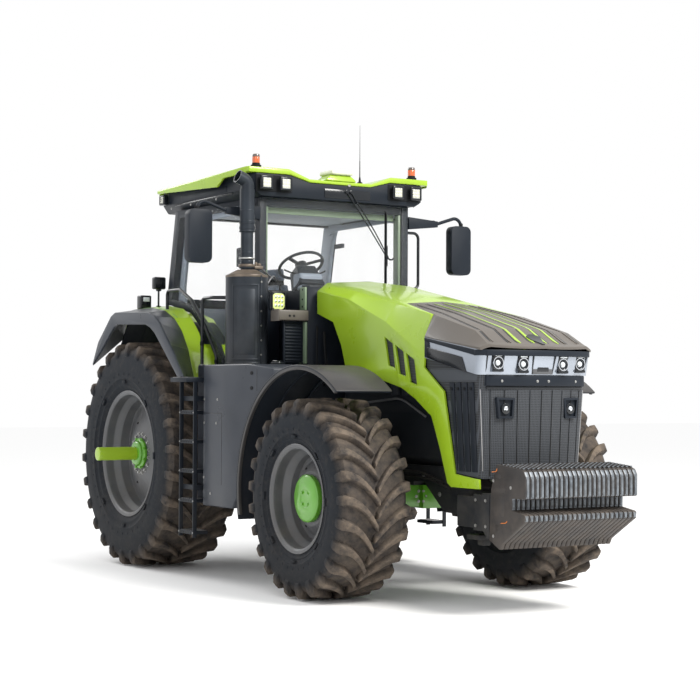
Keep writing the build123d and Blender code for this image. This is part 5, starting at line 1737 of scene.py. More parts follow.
        pair_up(bevel(lens, 0.004, 3, 40.0), "lower_lamp_lens", PALETTE.reflector, node)

    def build(self) -> None:
        """Builds the nose."""
        self.band()
        self.lip()
        self.shelf()
        self.grille()


@dataclass
class HoodTop:
    """The warm grey top panel: pressed grooves drawn as gloss black strips of painted shade, lime stripes and
    the black catch.
    """

    rear: float = -1.38
    tip: float = -2.545

    def line(self, rear_x: float, front_x: float, thin: float,
             wide: float) -> list[tuple[float, float, float]]:
        """Stations of one line along the panel.

        Args:
            rear_x: Its distance from the middle at the rear.
            front_x: Its distance from the middle at the front.
            thin: Half its width at the rear.
            wide: Half its width at the front.

        Returns:
            (x, y, half width) at each station.
        """
        stations = []
        for k in range(25):
            share = k / 24
            y = self.rear + (self.tip + 0.02 * (front_x / 0.4) ** 2 * 3 - self.rear) * share
            x = rear_x + (front_x - rear_x) * share
            half = thin + (wide - thin) * share ** 3
            if k in (0, 24):
                half *= 0.35
            stations.append((x, y, half))
        return stations

    def build(self) -> None:
        """Lays the lines and fits the catch."""
        node = "hood_insert"
        for index, (rear_x, front_x) in enumerate(((0.305, 0.400), (0.215, 0.265))):
            for side in Side:
                # Each groove is a thin gloss black strip laid on the panel: painted shade of the pressed
                # groove.
                groove = laid_strip(node, self.line(side.value * rear_x, side.value * front_x, 0.005,
                                                    0.008), 0.0012)
                put(groove, f"hood_groove_{index}_{side.word}", PALETTE.gloss_black, node)
                crest = laid_strip(node, self.line(side.value * (rear_x - 0.017),
                                                   side.value * (front_x - 0.021), 0.006, 0.010), 0.005)
                put(crest, f"hood_crest_{index}_{side.word}", PALETTE.tan, node)
        for index, (rear_x, front_x) in enumerate(((0.130, 0.170), (0.040, 0.055))):
            for side in Side:
                stripe = laid_strip(node, self.line(side.value * rear_x, side.value * front_x, 0.004,
                                                    0.014), 0.0035)
                put(stripe, f"hood_stripe_{index}_{side.word}", PALETTE.lime, node)
                edge = laid_strip(node, self.line(side.value * (rear_x + 0.012),
                                                  side.value * (front_x + 0.022), 0.004, 0.007), 0.0010)
                put(edge, f"hood_stripe_shadow_{index}_{side.word}", PALETTE.gloss_black, node)
        catch = laid_strip(node, [(0.0, -2.430, 0.022), (0.0, -2.455, 0.062), (0.0, -2.500, 0.050),
                                  (0.0, -2.545, 0.026), (0.0, -2.585, 0.010)], 0.009)
        put(bevel(catch, 0.002, 2, 30.0), "hood_catch", PALETTE.gloss_black, node)


# ---------------------------------------------------------------- softened solids


def disc(seat: Point, way: Point, radius: float, depth: float, round_off: float = 0.003,
         facets: int = 28) -> Piece:
    """A round button standing on a seat, with a rounded rim.

    Args:
        seat: Centre of its foot.
        way: Unit vector that it stands along.
        radius: Its radius.
        depth: Its height.
        round_off: Width of the rounding.
        facets: Sides of the round.

    Returns:
        The new object, settled.
    """
    start = Vector(seat)
    return bevel(rod(start, start + Vector(way).normalized() * depth, radius, facets), round_off, 2, 40.0)


def arc_plate(centre: tuple[float, float], radius: float, start: float, end: float, low: float, high: float,
              thick: float) -> Piece:
    """An upright plate bent round a vertical axis.

    Args:
        centre: The axis, as x and y.
        radius: Radius of its inner face.
        start: First bearing in degrees, from forwards towards the left.
        end: Last bearing in degrees.
        low: Height of its foot.
        high: Height of its top.
        thick: Its thickness.

    Returns:
        The new object, settled.
    """
    steps = max(2, int(abs(end - start) / 6))
    bearings = [math.radians(start + (end - start) * k / steps) for k in range(steps + 1)]
    outer = [(centre[0] + math.sin(a) * (radius + thick), centre[1] - math.cos(a) * (radius + thick), low)
             for a in bearings]
    inner = [(centre[0] + math.sin(a) * radius, centre[1] - math.cos(a) * radius, low)
             for a in reversed(bearings)]
    return slab([*outer, *inner], Vector((0, 0, high - low)), 0.0015)


@dataclass
class SoftEdges:
    """Rounded copies of the pressed, moulded and cast solids."""

    widths: tuple[tuple[str, float], ...] = (
        ("hood_shell", 0.006), ("hood_insert", 0.004), ("roof_shell", 0.010), ("roof_valance", 0.006),
        ("cab_frame", 0.006), ("weight_carrier", 0.008), ("steering_console", 0.012),
        ("armrest_and_monitor", 0.010), ("cowl", 0.006), ("front_axle", 0.008), ("transaxle", 0.012),
        ("engine_block", 0.012), ("front_frame", 0.005), ("cooling_pack", 0.005),
        ("drawbar_and_pivots", 0.004), ("remote_valves", 0.004), ("lift_arms", 0.005), ("lift_rods", 0.005),
        ("lower_links", 0.005), ("knuckle_right", 0.005), ("knuckle_left", 0.005), ("rear_fenders", 0.004),
        ("fender_flares", 0.005), ("side_tanks", 0.010), ("ladders", 0.003), ("mirrors", 0.010),
        ("rim_front_right", 0.004), ("rim_front_left", 0.004), ("rim_rear_right", 0.004),
        ("rim_rear_left", 0.004), ("hub_front_right", 0.005), ("hub_front_left", 0.005),
        ("hub_rear_right", 0.005), ("hub_rear_left", 0.005), ("bar_axle_right", 0.003),
        ("bar_axle_left", 0.003),
    )

    def build(self) -> None:
        """Rounds each solid of the list."""
        for node, width in self.widths:
            softened(node, width)


# ---------------------------------------------------------------- weights


@dataclass
class Weights:
    """The block of front weights, one plate copied across, on its carrier."""

    count: int = 24
    pitch: float = 0.0414
    thick: float = 0.0362
    outline: tuple[tuple[float, float], ...] = (
        (-2.692, 1.060), (-2.960, 1.037), (-3.000, 1.022), (-3.023, 0.985), (-3.023, 0.838), (-3.010, 0.832),
        (-2.868, 0.832), (-2.866, 0.750), (-3.005, 0.728), (-3.016, 0.720), (-3.010, 0.676), (-2.750, 0.512),
        (-2.728, 0.470), (-2.606, 0.528), (-2.626, 0.886),
    )

    def plate(self) -> Piece:
        """Models one plate at the middle: the casting, its front pads and the slots along its top.

        Returns:
            The plate.
        """
        half = self.thick / 2
        body = slab([(-half, y, z) for y, z in self.outline], Vector((self.thick, 0, 0)), 0.005)
        parts = [body]
        for low, high, front in ((0.846, 0.972, -3.029), (0.762, 0.820, -2.872), (0.684, 0.714, -3.019)):
            parts.append(box((-0.011, front, low), (0.011, front + 0.016, high), 0.004))
        for k in range(7):
            y = -2.725 - 0.038 * k
            z = 1.060 - 0.0225 * k * 0.038 / 0.268
            parts.append(box((-0.009, y - 0.026, z - 0.006), (0.009, y, z + 0.003), 0.003))
        return join(parts)

    def build(self) -> None:
        """Copies the plate across and dresses the ends and the carrier."""
        first = self.plate()
        plates = []
        for k in range(self.count):
            plates.append(copy_of(first, Matrix.Translation(((k - (self.count - 1) / 2) * self.pitch, 0, 0))))
        bpy.data.objects.remove(first)
        block = join(plates, "front_weights_dressed")
        smooth(block, 40.0)
        dress(block, PALETTE.weight)
        # The front faces of each plate get the lighter bluish finish as a painted highlight.
        dress_faces(block, PALETTE.weight_pad,
                    lambda face: face.normal.y < -0.8 and abs((face.center.x / self.pitch) % 1 - 0.5) < 0.30
                    and face.center.z > 0.68)
        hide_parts("front_weights")
        ride_with(block, "front_weights")
        node = "front_weights"
        edge = -0.4942
        pads = ((-2.745, -2.665, 0.960, 0.995), (-2.800, -2.655, 0.865, 0.905),
                (-2.790, -2.665, 0.700, 0.840), (-2.760, -2.680, 0.590, 0.640))
        marks = [box((edge - 0.0015, front, low), (edge + 0.004, back, high), 0.001)
                 for front, back, low, high in pads]
        pair_up(marks, "weight_side_pad", PALETTE.weight, node)
        pair_up(bolt_row([(edge, -2.855, 0.905), (edge, -2.655, 0.945), (edge, -2.655, 0.56)], TO_RIGHT,
                         0.008, 0.003), "weight_side_bolts", PALETTE.zinc, node)
        hook = [pulled_tube([(edge - 0.001, -2.640, 1.005), (edge - 0.001, -2.690, 1.010),
                             (edge - 0.001, -2.700, 1.030)], 0.0025, 0.01),
                pulled_tube([(edge - 0.001, -2.745, 0.655), (edge - 0.001, -2.800, 0.660),
                             (edge - 0.001, -2.815, 0.672)], 0.0025, 0.01)]
        pair_up(hook, "weight_retaining_wire", PALETTE.orange, node)
        carrier = "weight_carrier"
        pair_up(bolt_row([(-0.486, -2.44, 0.80), (-0.486, -2.44, 0.62), (-0.486, -2.56, 0.80),
                          (-0.486, -2.56, 0.62)], TO_RIGHT, 0.013, 0.010), "carrier_bolts", PALETTE.zinc,
                carrier)
        pair_up(box((-0.489, -2.600, 0.585), (-0.484, -2.410, 0.840), 0.003), "carrier_side_plate",
                PALETTE.iron, carrier)
        step = [box((-0.40, -2.36, 0.505), (-0.19, -2.20, 0.540), 0.006),
                box((-0.36, -2.36, 0.465), (-0.30, -2.28, 0.51), 0.006)]
        pair_up(step, "carrier_foot", PALETTE.iron, carrier)


# ---------------------------------------------------------------- exhaust, cowl and side lamps


@dataclass
class Exhaust:
    """The upright can with its guard, seam and clamps, and the stack above it."""

    centre: tuple[float, float] = (-0.931, 0.200)
    radius: float = 0.175

    def ring(self, radius: float, low: float, high: float, name: str, finish: Finish, node: str) -> None:
        """Clamps one band round the can or the stack.

        Args:
            radius: Outer radius of the band.
            low: Height of its lower edge.
            high: Height of its upper edge.
            name: The piece's name.
            finish: Its finish.
            node: The CAD node that carries it.
        """
        x, y = self.centre
        put(bevel(rod((x, y, low), (x, y, high), radius, 40), 0.003, 2, 40.0), name, finish, node)

    def build(self) -> None:
        """Adds the guard, the seam, the bands, the bracket and the brown cap."""
        node = "exhaust_can"
        x, y = self.centre
        wall = self.radius - 0.001
        frame = [arc_plate(self.centre, wall, start, end, low, high, thick) for start, end, low, high,
                 thick in ((-70, -66, 1.83, 2.44, 0.005), (4, 8, 1.83, 2.44, 0.005),
                           (-70, 8, 2.425, 2.44, 0.005), (-70, 8, 1.815, 1.83, 0.005),
                           (-58, -4, 1.86, 2.40, 0.003))]
        put(frame, "exhaust_guard", PALETTE.can, node)
        put(arc_plate(self.centre, wall, 12, 17, 1.79, 2.515, 0.006), "exhaust_seam", PALETTE.can, node)
        bearing = math.radians(14.5)
        way = (math.sin(bearing), -math.cos(bearing), 0.0)
        seat = self.radius + 0.004
        places = [(x + way[0] * seat, y + way[1] * seat, 1.86 + 0.12 * k) for k in range(6)]
        put(bolt_row(places, way, 0.006, 0.006), "exhaust_seam_bolts", PALETTE.zinc, node)
        self.ring(0.1765, 2.500, 2.522, "exhaust_top_band", PALETTE.can_top, node)
        self.ring(0.1765, 1.782, 1.800, "exhaust_foot_band", PALETTE.can, node)
        cone = rod((x, y, 2.519), (x, y, 2.5655), 0.1725, 48, tip=0.083)
        put(bevel(cone, 0.002, 2, 20.0), "exhaust_cap", PALETTE.can_top, node)
        stack = "exhaust_stack"
        self.ring(0.071, 2.590, 2.612, "stack_clamp_low", PALETTE.can_top, stack)
        self.ring(0.0665, 2.655, 2.668, "stack_clamp_mid", PALETTE.zinc, stack)
        self.ring(0.0665, 2.880, 2.892, "stack_clamp_high", PALETTE.can, stack)
        ear = [box((x + 0.045, y - 0.055, 2.575), (x + 0.125, y, 2.600), 0.004),
               disc((x + 0.095, y - 0.030, 2.60), UP, 0.020, 0.022),
               disc((x + 0.060, y - 0.045, 2.60), UP, 0.012, 0.03)]
        put(ear, "stack_clamp_ear", PALETTE.can_top, stack)
        stay = [pulled_tube([(x + 0.10, y - 0.03, 2.595), (x + 0.22, y + 0.02, 2.530),
                             (x + 0.33, y + 0.12, 2.50)], 0.007, 0.05),
                pulled_tube([(x + 0.165, y - 0.06, 2.46), (x + 0.24, y - 0.02, 2.535),
                             (x + 0.33, y + 0.10, 2.50)], 0.007, 0.05)]
        put(stay, "exhaust_stay", PALETTE.steel, node)
        for index, (low, high) in enumerate(((2.615, 2.645), (2.70, 2.715), (2.96, 2.975), (3.05, 3.065))):
            self.ring(0.0535 if high < 2.88 else 0.0635, low, high, f"stack_band_{index}", PALETTE.can, stack)
        pipe = [rod((x + 0.14, y + 0.16, 1.78), (x + 0.14, y + 0.16, 2.44), 0.030, 20),
                rod((x + 0.18, y + 0.10, 1.78), (x + 0.18, y + 0.10, 2.43), 0.014, 16)]
        put(pipe, "exhaust_side_pipes", PALETTE.can, node)


@dataclass
class CowlSides:
    """The sides of the cowl: lamp brackets, lit side lamps, louvred panels and edge strips."""

    def build(self) -> None:
        """Builds both sides."""
        node = "side_lamps"
        bracket = box((-0.838, -0.190, 2.140), (-0.5605, -0.060, 2.226), 0.010, 3)
        lamp = box((-0.860, -0.098, 2.222), (-0.735, -0.016, 2.372), 0.026, 4)
        dress(bracket, PALETTE.tan)
        dress(lamp, PALETTE.gloss_black)
        right = join([bracket, lamp], "side_lamps_dressed")
        left = mirrored(right)
        both = smooth(join([right, left], "side_lamps_dressed"), 38.0)
        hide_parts(node)
        ride_with(both, node)
        lens = box((-0.853, -0.108, 2.230), (-0.742, -0.094, 2.364), 0.0)
        activate(lens)
        bpy.ops.object.mode_set(mode="EDIT")
        bpy.ops.mesh.select_mode(type="EDGE")
        bpy.ops.mesh.select_all(action="DESELECT")
        mesh = bmesh.from_edit_mesh(lens.data)
        for edge in mesh.edges:
            edge.select_set(abs(edge.verts[0].co.y - edge.verts[1].co.y) > 0.01)
        bmesh.update_edit_mesh(lens.data)
        bpy.ops.mesh.bevel(offset=0.034, segments=6, affect="EDGES")
        bpy.ops.object.mode_set(mode="OBJECT")
        lens = bevel(lens, 0.004, 3, 40.0)
        pair_up(lens, "side_lamp_lens", PALETTE.lit_lens, node)
        cups = [disc((-0.826 + 0.030 * i, -0.107, 2.262 + 0.036 * j), TO_FRONT, 0.012, 0.003, 0.001, 16)
                for i in range(3) for j in range(3)]
        pair_up(cups, "side_lamp_cells", PALETTE.reflector, node)
        rim_bars = [box((-0.861, -0.112, 2.222), (-0.853, -0.090, 2.372), 0.003),
                    box((-0.742, -0.112, 2.222), (-0.734, -0.090, 2.372), 0.003),
                    box((-0.861, -0.112, 2.364), (-0.734, -0.090, 2.373), 0.003),
                    box((-0.861, -0.112, 2.221), (-0.734, -0.090, 2.230), 0.003)]
        pair_up(rim_bars, "side_lamp_rim", PALETTE.gloss_black, node)
        # The bracket's holes are matt black discs: painted shade seen through them.
        holes = [disc((px, -0.190, 2.178), TO_FRONT, 0.010, 0.0015, 0.0005, 18) for px in (-0.740, -0.700)]
        pair_up(holes, "side_bracket_holes", PALETTE.matt_black, node)
        pair_up(box((-0.845, -0.193, 2.134), (-0.835, -0.057, 2.232), 0.004), "side_bracket_end",
                PALETTE.tan, node)
        cowl = "cowl"
        wall_x = -0.5605
        strip = [box((-0.582, -0.168, 1.790), (wall_x, -0.070, 2.135), 0.006),
                 box((-0.582, -0.160, 2.230), (wall_x, -0.070, 2.420), 0.006)]
        pair_up(strip, "cowl_edge_strip", PALETTE.sage, cowl)
        slats = [box((-0.752, -0.118, 1.800), (-0.583, -0.110, 2.137), 0.003)]
        slats += [box((-0.745, -0.128, 1.815 + 0.026 * k), (-0.590, -0.116, 1.828 + 0.026 * k), 0.003)
                  for k in range(12)]
        slats += [box((-0.760, -0.132, 1.790), (-0.748, -0.108, 2.139), 0.003),
                  box((-0.5835, -0.132, 1.790), (-0.5610, -0.108, 2.139), 0.002)]
        pair_up(slats, "cowl_louvres", PALETTE.plastic, cowl)
        pair_up(bolt_row([(-0.582, -0.12, z) for z in (2.26, 2.32, 2.40, 1.84, 2.08)], TO_RIGHT, 0.006,
                         0.004), "cowl_bolts", PALETTE.matt_black, cowl)
        hose = [pulled_tube([(-0.40, -0.166, 1.62), (-0.40, -0.23, 1.62), (-0.44, -0.24, 1.95),
                             (-0.40, -0.166, 2.05)], 0.012, 0.06),
                pulled_tube([(-0.48, -0.166, 1.70), (-0.50, -0.22, 1.72), (-0.50, -0.22, 2.02),
                             (-0.47, -0.166, 2.10)], 0.008, 0.05)]
        pair_up(hose, "cowl_hoses", PALETTE.matt_black, cowl)


# ---------------------------------------------------------------- cab


@dataclass
class CabTrim:
    """Linings, seals and small fittings of the hollow cab."""

    knee_z: float = 2.15
    head_z: float = 3.20
    foot_y: float = 1.95
    head_y: float = 1.727

    def rear_y(self, z: float) -> float:
        """Where the leaning rear pillar stands at a height.

        Args:
            z: The height.

        Returns:
            The Y coordinate.
        """
        share = max(0.0, (z - self.knee_z) / (self.head_z - self.knee_z))
        return self.foot_y + (self.head_y - self.foot_y) * share

    def lining(self) -> Piece:
        """The wide pale lining inside the right rear pillar.

        Returns:
            The lining.
        """
        loops = []
        for z, wide in ((1.80, 0.02), (2.36, 0.20), (2.50, 0.15), (2.95, 0.14), (3.10, 0.19), (3.17, 0.30)):
            y = self.rear_y(max(z, 2.36))
            loops.append([(-0.768, y - wide, z), (-0.735, y - wide + 0.015, z), (-0.735, y + 0.045, z),
                          (-0.768, y + 0.045, z)])
        return bevel(skinned(loops), 0.006, 2, 30.0)

    def build(self) -> None:
        """Lines the pillars and the roof and adds the seals, the wiper and the small fittings."""
        node = "cab_frame"
        pair_up(self.lining(), "rear_pillar_lining", PALETTE.lining, node)
        front = skinned([[(-0.706, 0.413, z), (-0.676, 0.413, z), (-0.672, 0.455, z), (-0.706, 0.462, z)]
                         for z in (2.42, 2.80, 3.13)])
        pair_up(bevel(front, 0.005, 2, 30.0), "front_pillar_lining", PALETTE.sage, node)
        inner = skinned([[(-0.679, 0.345, z), (-0.655, 0.350, z), (-0.655, 0.405, z), (-0.679, 0.410, z)]
                         for z in (2.42, 2.80, 3.13)])
        pair_up(bevel(inner, 0.004, 2, 30.0), "front_pillar_edge", PALETTE.sage, node)
        put(box((-0.70, 0.46, 3.140), (0.70, 1.66, 3.192), 0.022, 3), "roof_lining", PALETTE.lining, node)
        put(box((-0.66, 0.405, 3.100), (0.66, 0.62, 3.150), 0.016, 3), "roof_console", PALETTE.lining, node)
        put([box((-0.52 + 0.36 * k, 0.43, 3.092), (-0.34 + 0.36 * k, 0.56, 3.104), 0.004) for k in range(4)],
            "roof_vents", PALETTE.plastic, node)
        put(box((-0.64, 0.402, 3.075), (0.64, 0.418, 3.128), 0.005), "roof_front_strip", PALETTE.sage, node)
        side_y = ((0.46, 3.06), (0.46, 3.135), (1.62, 3.135), (1.66, 3.05), (1.55, 3.085), (0.60, 3.085))
        pair_up(slab([(-0.742, y, z) for y, z in side_y], Vector((0.030, 0, 0)), 0.005),
                "side_roof_lining", PALETTE.lining, node)
        self.console()
        self.fittings()
        self.wiper()

    def console(self) -> None:
        """Builds the right-hand controls: levers, keypad and monitor face."""
        node = "armrest_and_monitor"
        screen = box((-0.4600, 1.102, 2.694), (-0.4585, 1.238, 2.826), 0.001)
        put(screen, "monitor_face", PALETTE.screen, node)
        frame = box((-0.4825, 1.085, 2.675), (-0.462, 1.255, 2.845), 0.008, 3)
        put(frame, "monitor_case", PALETTE.plastic, node)
        keys = [box((-0.405 + 0.038 * i, 1.05 + 0.034 * j, 2.3995),
                    (-0.380 + 0.038 * i, 1.074 + 0.034 * j, 2.406), 0.002)
                for i in range(3) for j in range(4)]
        put(keys, "armrest_keys", PALETTE.trim, node)
        lever = [rod((-0.35, 1.24, 2.395), (-0.352, 1.225, 2.46), 0.010, 16),
                 box((-0.378, 1.195, 2.452), (-0.326, 1.25, 2.535), 0.016, 3)]
        put(lever, "drive_lever", PALETTE.gloss_black, node)
        pad = box((-0.425, 1.28, 2.398), (-0.275, 1.475, 2.424), 0.010, 3)
        put(pad, "armrest_pad", PALETTE.plastic, node)

    def fittings(self) -> None:
        """Adds the column cover, the dash display, the stalks, the pedals, the floor mat, the rear wall pad
        and the windscreen's foot seal.
        """
        node = "steering_console"
        put(box((-0.120, 0.735, 2.455), (0.120, 0.875, 2.610), 0.030, 4), "column_cover", PALETTE.lining,
            node)
        put(box((-0.085, 0.800, 2.585), (0.085, 0.905, 2.650), 0.020, 4), "dash_display",
            PALETTE.gloss_black, node)
        stalk = [pulled_tube([(0.05, 0.86, 2.60), (0.16, 0.86, 2.62), (0.215, 0.87, 2.645)], 0.007, 0.03),
                 pulled_tube([(-0.05, 0.86, 2.60), (-0.16, 0.86, 2.62), (-0.205, 0.87, 2.640)], 0.007, 0.03)]
        put(stalk, "column_stalks", PALETTE.matt_black, node)
        pedals = [box((-0.14 - 0.10 * k, 0.47, 1.84), (-0.07 - 0.10 * k, 0.50, 1.93), 0.006)
                  for k in range(2)]
        arms = [rod((-0.105 - 0.10 * k, 0.49, 1.88), (-0.105 - 0.10 * k, 0.42, 1.765), 0.008, 10)
                for k in range(2)]
        put([*pedals, *arms], "pedals", PALETTE.matt_black, "cab_frame")
        put(box((-0.60, 0.42, 1.7605), (0.60, 1.04, 1.768), 0.003), "floor_mat", PALETTE.matt_black,
            "cab_frame")
        put(box((-0.55, 1.895, 2.00), (0.55, 1.932, 2.33), 0.012), "rear_wall_pad", PALETTE.lining,
            "cab_frame")
        seal = box((-0.735, 0.3215, 2.4005), (0.735, 0.338, 2.418), 0.004)
        put(seal, "windscreen_foot", PALETTE.matt_black, "cab_frame")

    def wiper(self) -> None:
        """Hangs the two-armed wiper with its long blade before the windscreen."""
        node = "roof_valance"
        arms = []
        for shift in (0.0, 0.045):
            arms.append(pulled_tube([(0.055 + shift, 0.237, 3.285), (0.300 + shift * 0.8, 0.232, 2.960),
                                     (0.470 + shift * 0.35, 0.240, 2.735)], 0.0055, 0.05))
        arms.append(rod((0.040, 0.250, 3.285), (0.115, 0.250, 3.285), 0.012, 16))
        arms.append(disc((0.055, 0.250, 3.285), TO_FRONT, 0.017, 0.022))
        arms.append(disc((0.100, 0.250, 3.285), TO_FRONT, 0.017, 0.022))
        arms.append(pulled_tube([(0.462, 0.240, 2.740), (0.520, 0.245, 2.712), (0.545, 0.248, 2.735)],
                                0.007, 0.02))
        put(arms, "wiper_arms", PALETTE.gloss_black, node)
        blade = [box((0.462, 0.243, 2.46), (0.474, 0.262, 3.13), 0.003),
                 box((0.465, 0.262, 2.44), (0.471, 0.276, 3.15), 0.001),
                 box((0.458, 0.236, 2.66), (0.478, 0.250, 2.84), 0.004)]
        put(blade, "wiper_blade", PALETTE.matt_black, node)
        put(box((-0.16, 0.244, 3.222), (0.30, 0.252, 3.300), 0.003), "wiper_cover", PALETTE.gloss_black, node)
        put(disc((0.085, 0.250, 3.345), TO_FRONT, 0.016, 0.010), "wiper_washer", PALETTE.zinc, node)


# ---------------------------------------------------------------- seat


@dataclass
class Seat:
    """The driver's seat: pads of stuffed cloth on a suspension base."""

    voxel: float = 0.006
    cap: float = 0.022

    def stuffed(self, pad: Piece, name: str, flat_below: float | None = None) -> Piece:
        """Swells a closed pad as stuffed cloth does and applies the result.

        Args:
            pad: The pad, slightly smaller than it should end.
            name: The piece's name.
            flat_below: Height below which the pad rests on something and stays flat.

        Returns:
            The stuffed pad.
        """
        modify(pad, "REMESH", mode="VOXEL", voxel_size=self.voxel)
        rest = [vert.co.copy() for vert in pad.data.vertices]
        activate(pad)
        cloth = pad.modifiers.new("Cloth", "CLOTH")
        cloth.settings.use_pressure = True
        cloth.settings.uniform_pressure_force = 4.0
        cloth.settings.effector_weights.gravity = 0.0
        cloth.settings.quality = 5
        for frame in range(1, 21):
            bpy.context.scene.frame_set(frame)
        bpy.ops.object.modifier_apply(modifier=cloth.name)
        bpy.context.scene.frame_set(1)
        for vert, start in zip(pad.data.vertices, rest):
            shift = vert.co - start
            if shift.length > self.cap:
                shift *= self.cap / shift.length
            if flat_below is not None and start.z < flat_below:
                shift.z = 0.0
            vert.co = start + shift
        modify(pad, "SUBSURF", levels=1, render_levels=1)
        named(name)
        return smooth(pad, 180.0)

    def slanted(self, half: float, low: tuple[float, float], high: tuple[float, float], thick: float,
                round_off: float) -> Piece:
        """A pad along the leaning backrest.

        Args:
            half: Half its width.
            low: Lower end of its front face, as y and z.
            high: Upper end of its front face, as y and z.
            thick: Its thickness at the lower end.
            round_off: Width of the edge rounding.

        Returns:
            The pad.
        """
        outline = [(-half, low[0], low[1]), (-half, low[0] + thick, low[1] + 0.01),
                   (-half, high[0] + thick * 0.8, high[1] - 0.01), (-half, high[0], high[1])]
        return slab(outline, Vector((2 * half, 0, 0)), round_off)

    def build(self) -> None:
        """Makes the pads, the shell with its folds and base, and the belt stalk."""
        pads = [
            (box((-0.150, 1.095, 2.105), (0.150, 1.475, 2.185), 0.020, 3), "seat_cushion_middle", 2.12),
            (box((-0.228, 1.085, 2.105), (-0.165, 1.475, 2.198), 0.020, 3), "seat_cushion_right", 2.12),
            (box((0.165, 1.085, 2.105), (0.228, 1.475, 2.198), 0.020, 3), "seat_cushion_left", 2.12),
            (self.slanted(0.140, (1.478, 2.235), (1.560, 2.560), 0.075, 0.020), "seat_back_middle", None),
            (self.slanted(0.205, (1.568, 2.590), (1.602, 2.715), 0.060, 0.020), "seat_back_head", None),
        ]
        for side in Side:
            wing = self.slanted(0.030, (1.462, 2.235), (1.545, 2.560), 0.080, 0.018)
            wing.data.transform(Matrix.Translation((side.value * 0.187, 0, 0)))
            pads.append((wing, f"seat_back_{side.word}", None))
        for pad, name, flat in pads:
            piece = self.stuffed(pad, name, flat)
            dress(piece, PALETTE.cloth)
            ride_with(piece, "seat")
        shell = [
            box((-0.225, 1.085, 2.090), (0.225, 1.560, 2.112), 0.010, 3),
            self.slanted(0.215, (1.548, 2.200), (1.640, 2.700), 0.034, 0.012),
            box((-0.170, 1.170, 1.7604), (0.170, 1.490, 1.815), 0.012),
            box((-0.150, 1.200, 1.815), (0.150, 1.460, 2.050), 0.008),
            box((-0.175, 1.160, 2.045), (0.175, 1.500, 2.092), 0.012),
        ]
        folds = [box((-0.158, 1.192, 1.835 + 0.030 * k), (0.158, 1.468, 1.850 + 0.030 * k), 0.006)
                 for k in range(7)]
        base = join([*shell, *folds], "seat_shell")
        dress(base, PALETTE.matt_black)
        ride_with(base, "seat")
        belt = pulled_tube([(0.232, 1.50, 2.12), (0.240, 1.53, 2.30), (0.225, 1.60, 2.50)], 0.006, 0.05)
        put(belt, "seat_belt_stalk", PALETTE.matt_black, "seat")
        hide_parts("seat")


# ---------------------------------------------------------------- roof


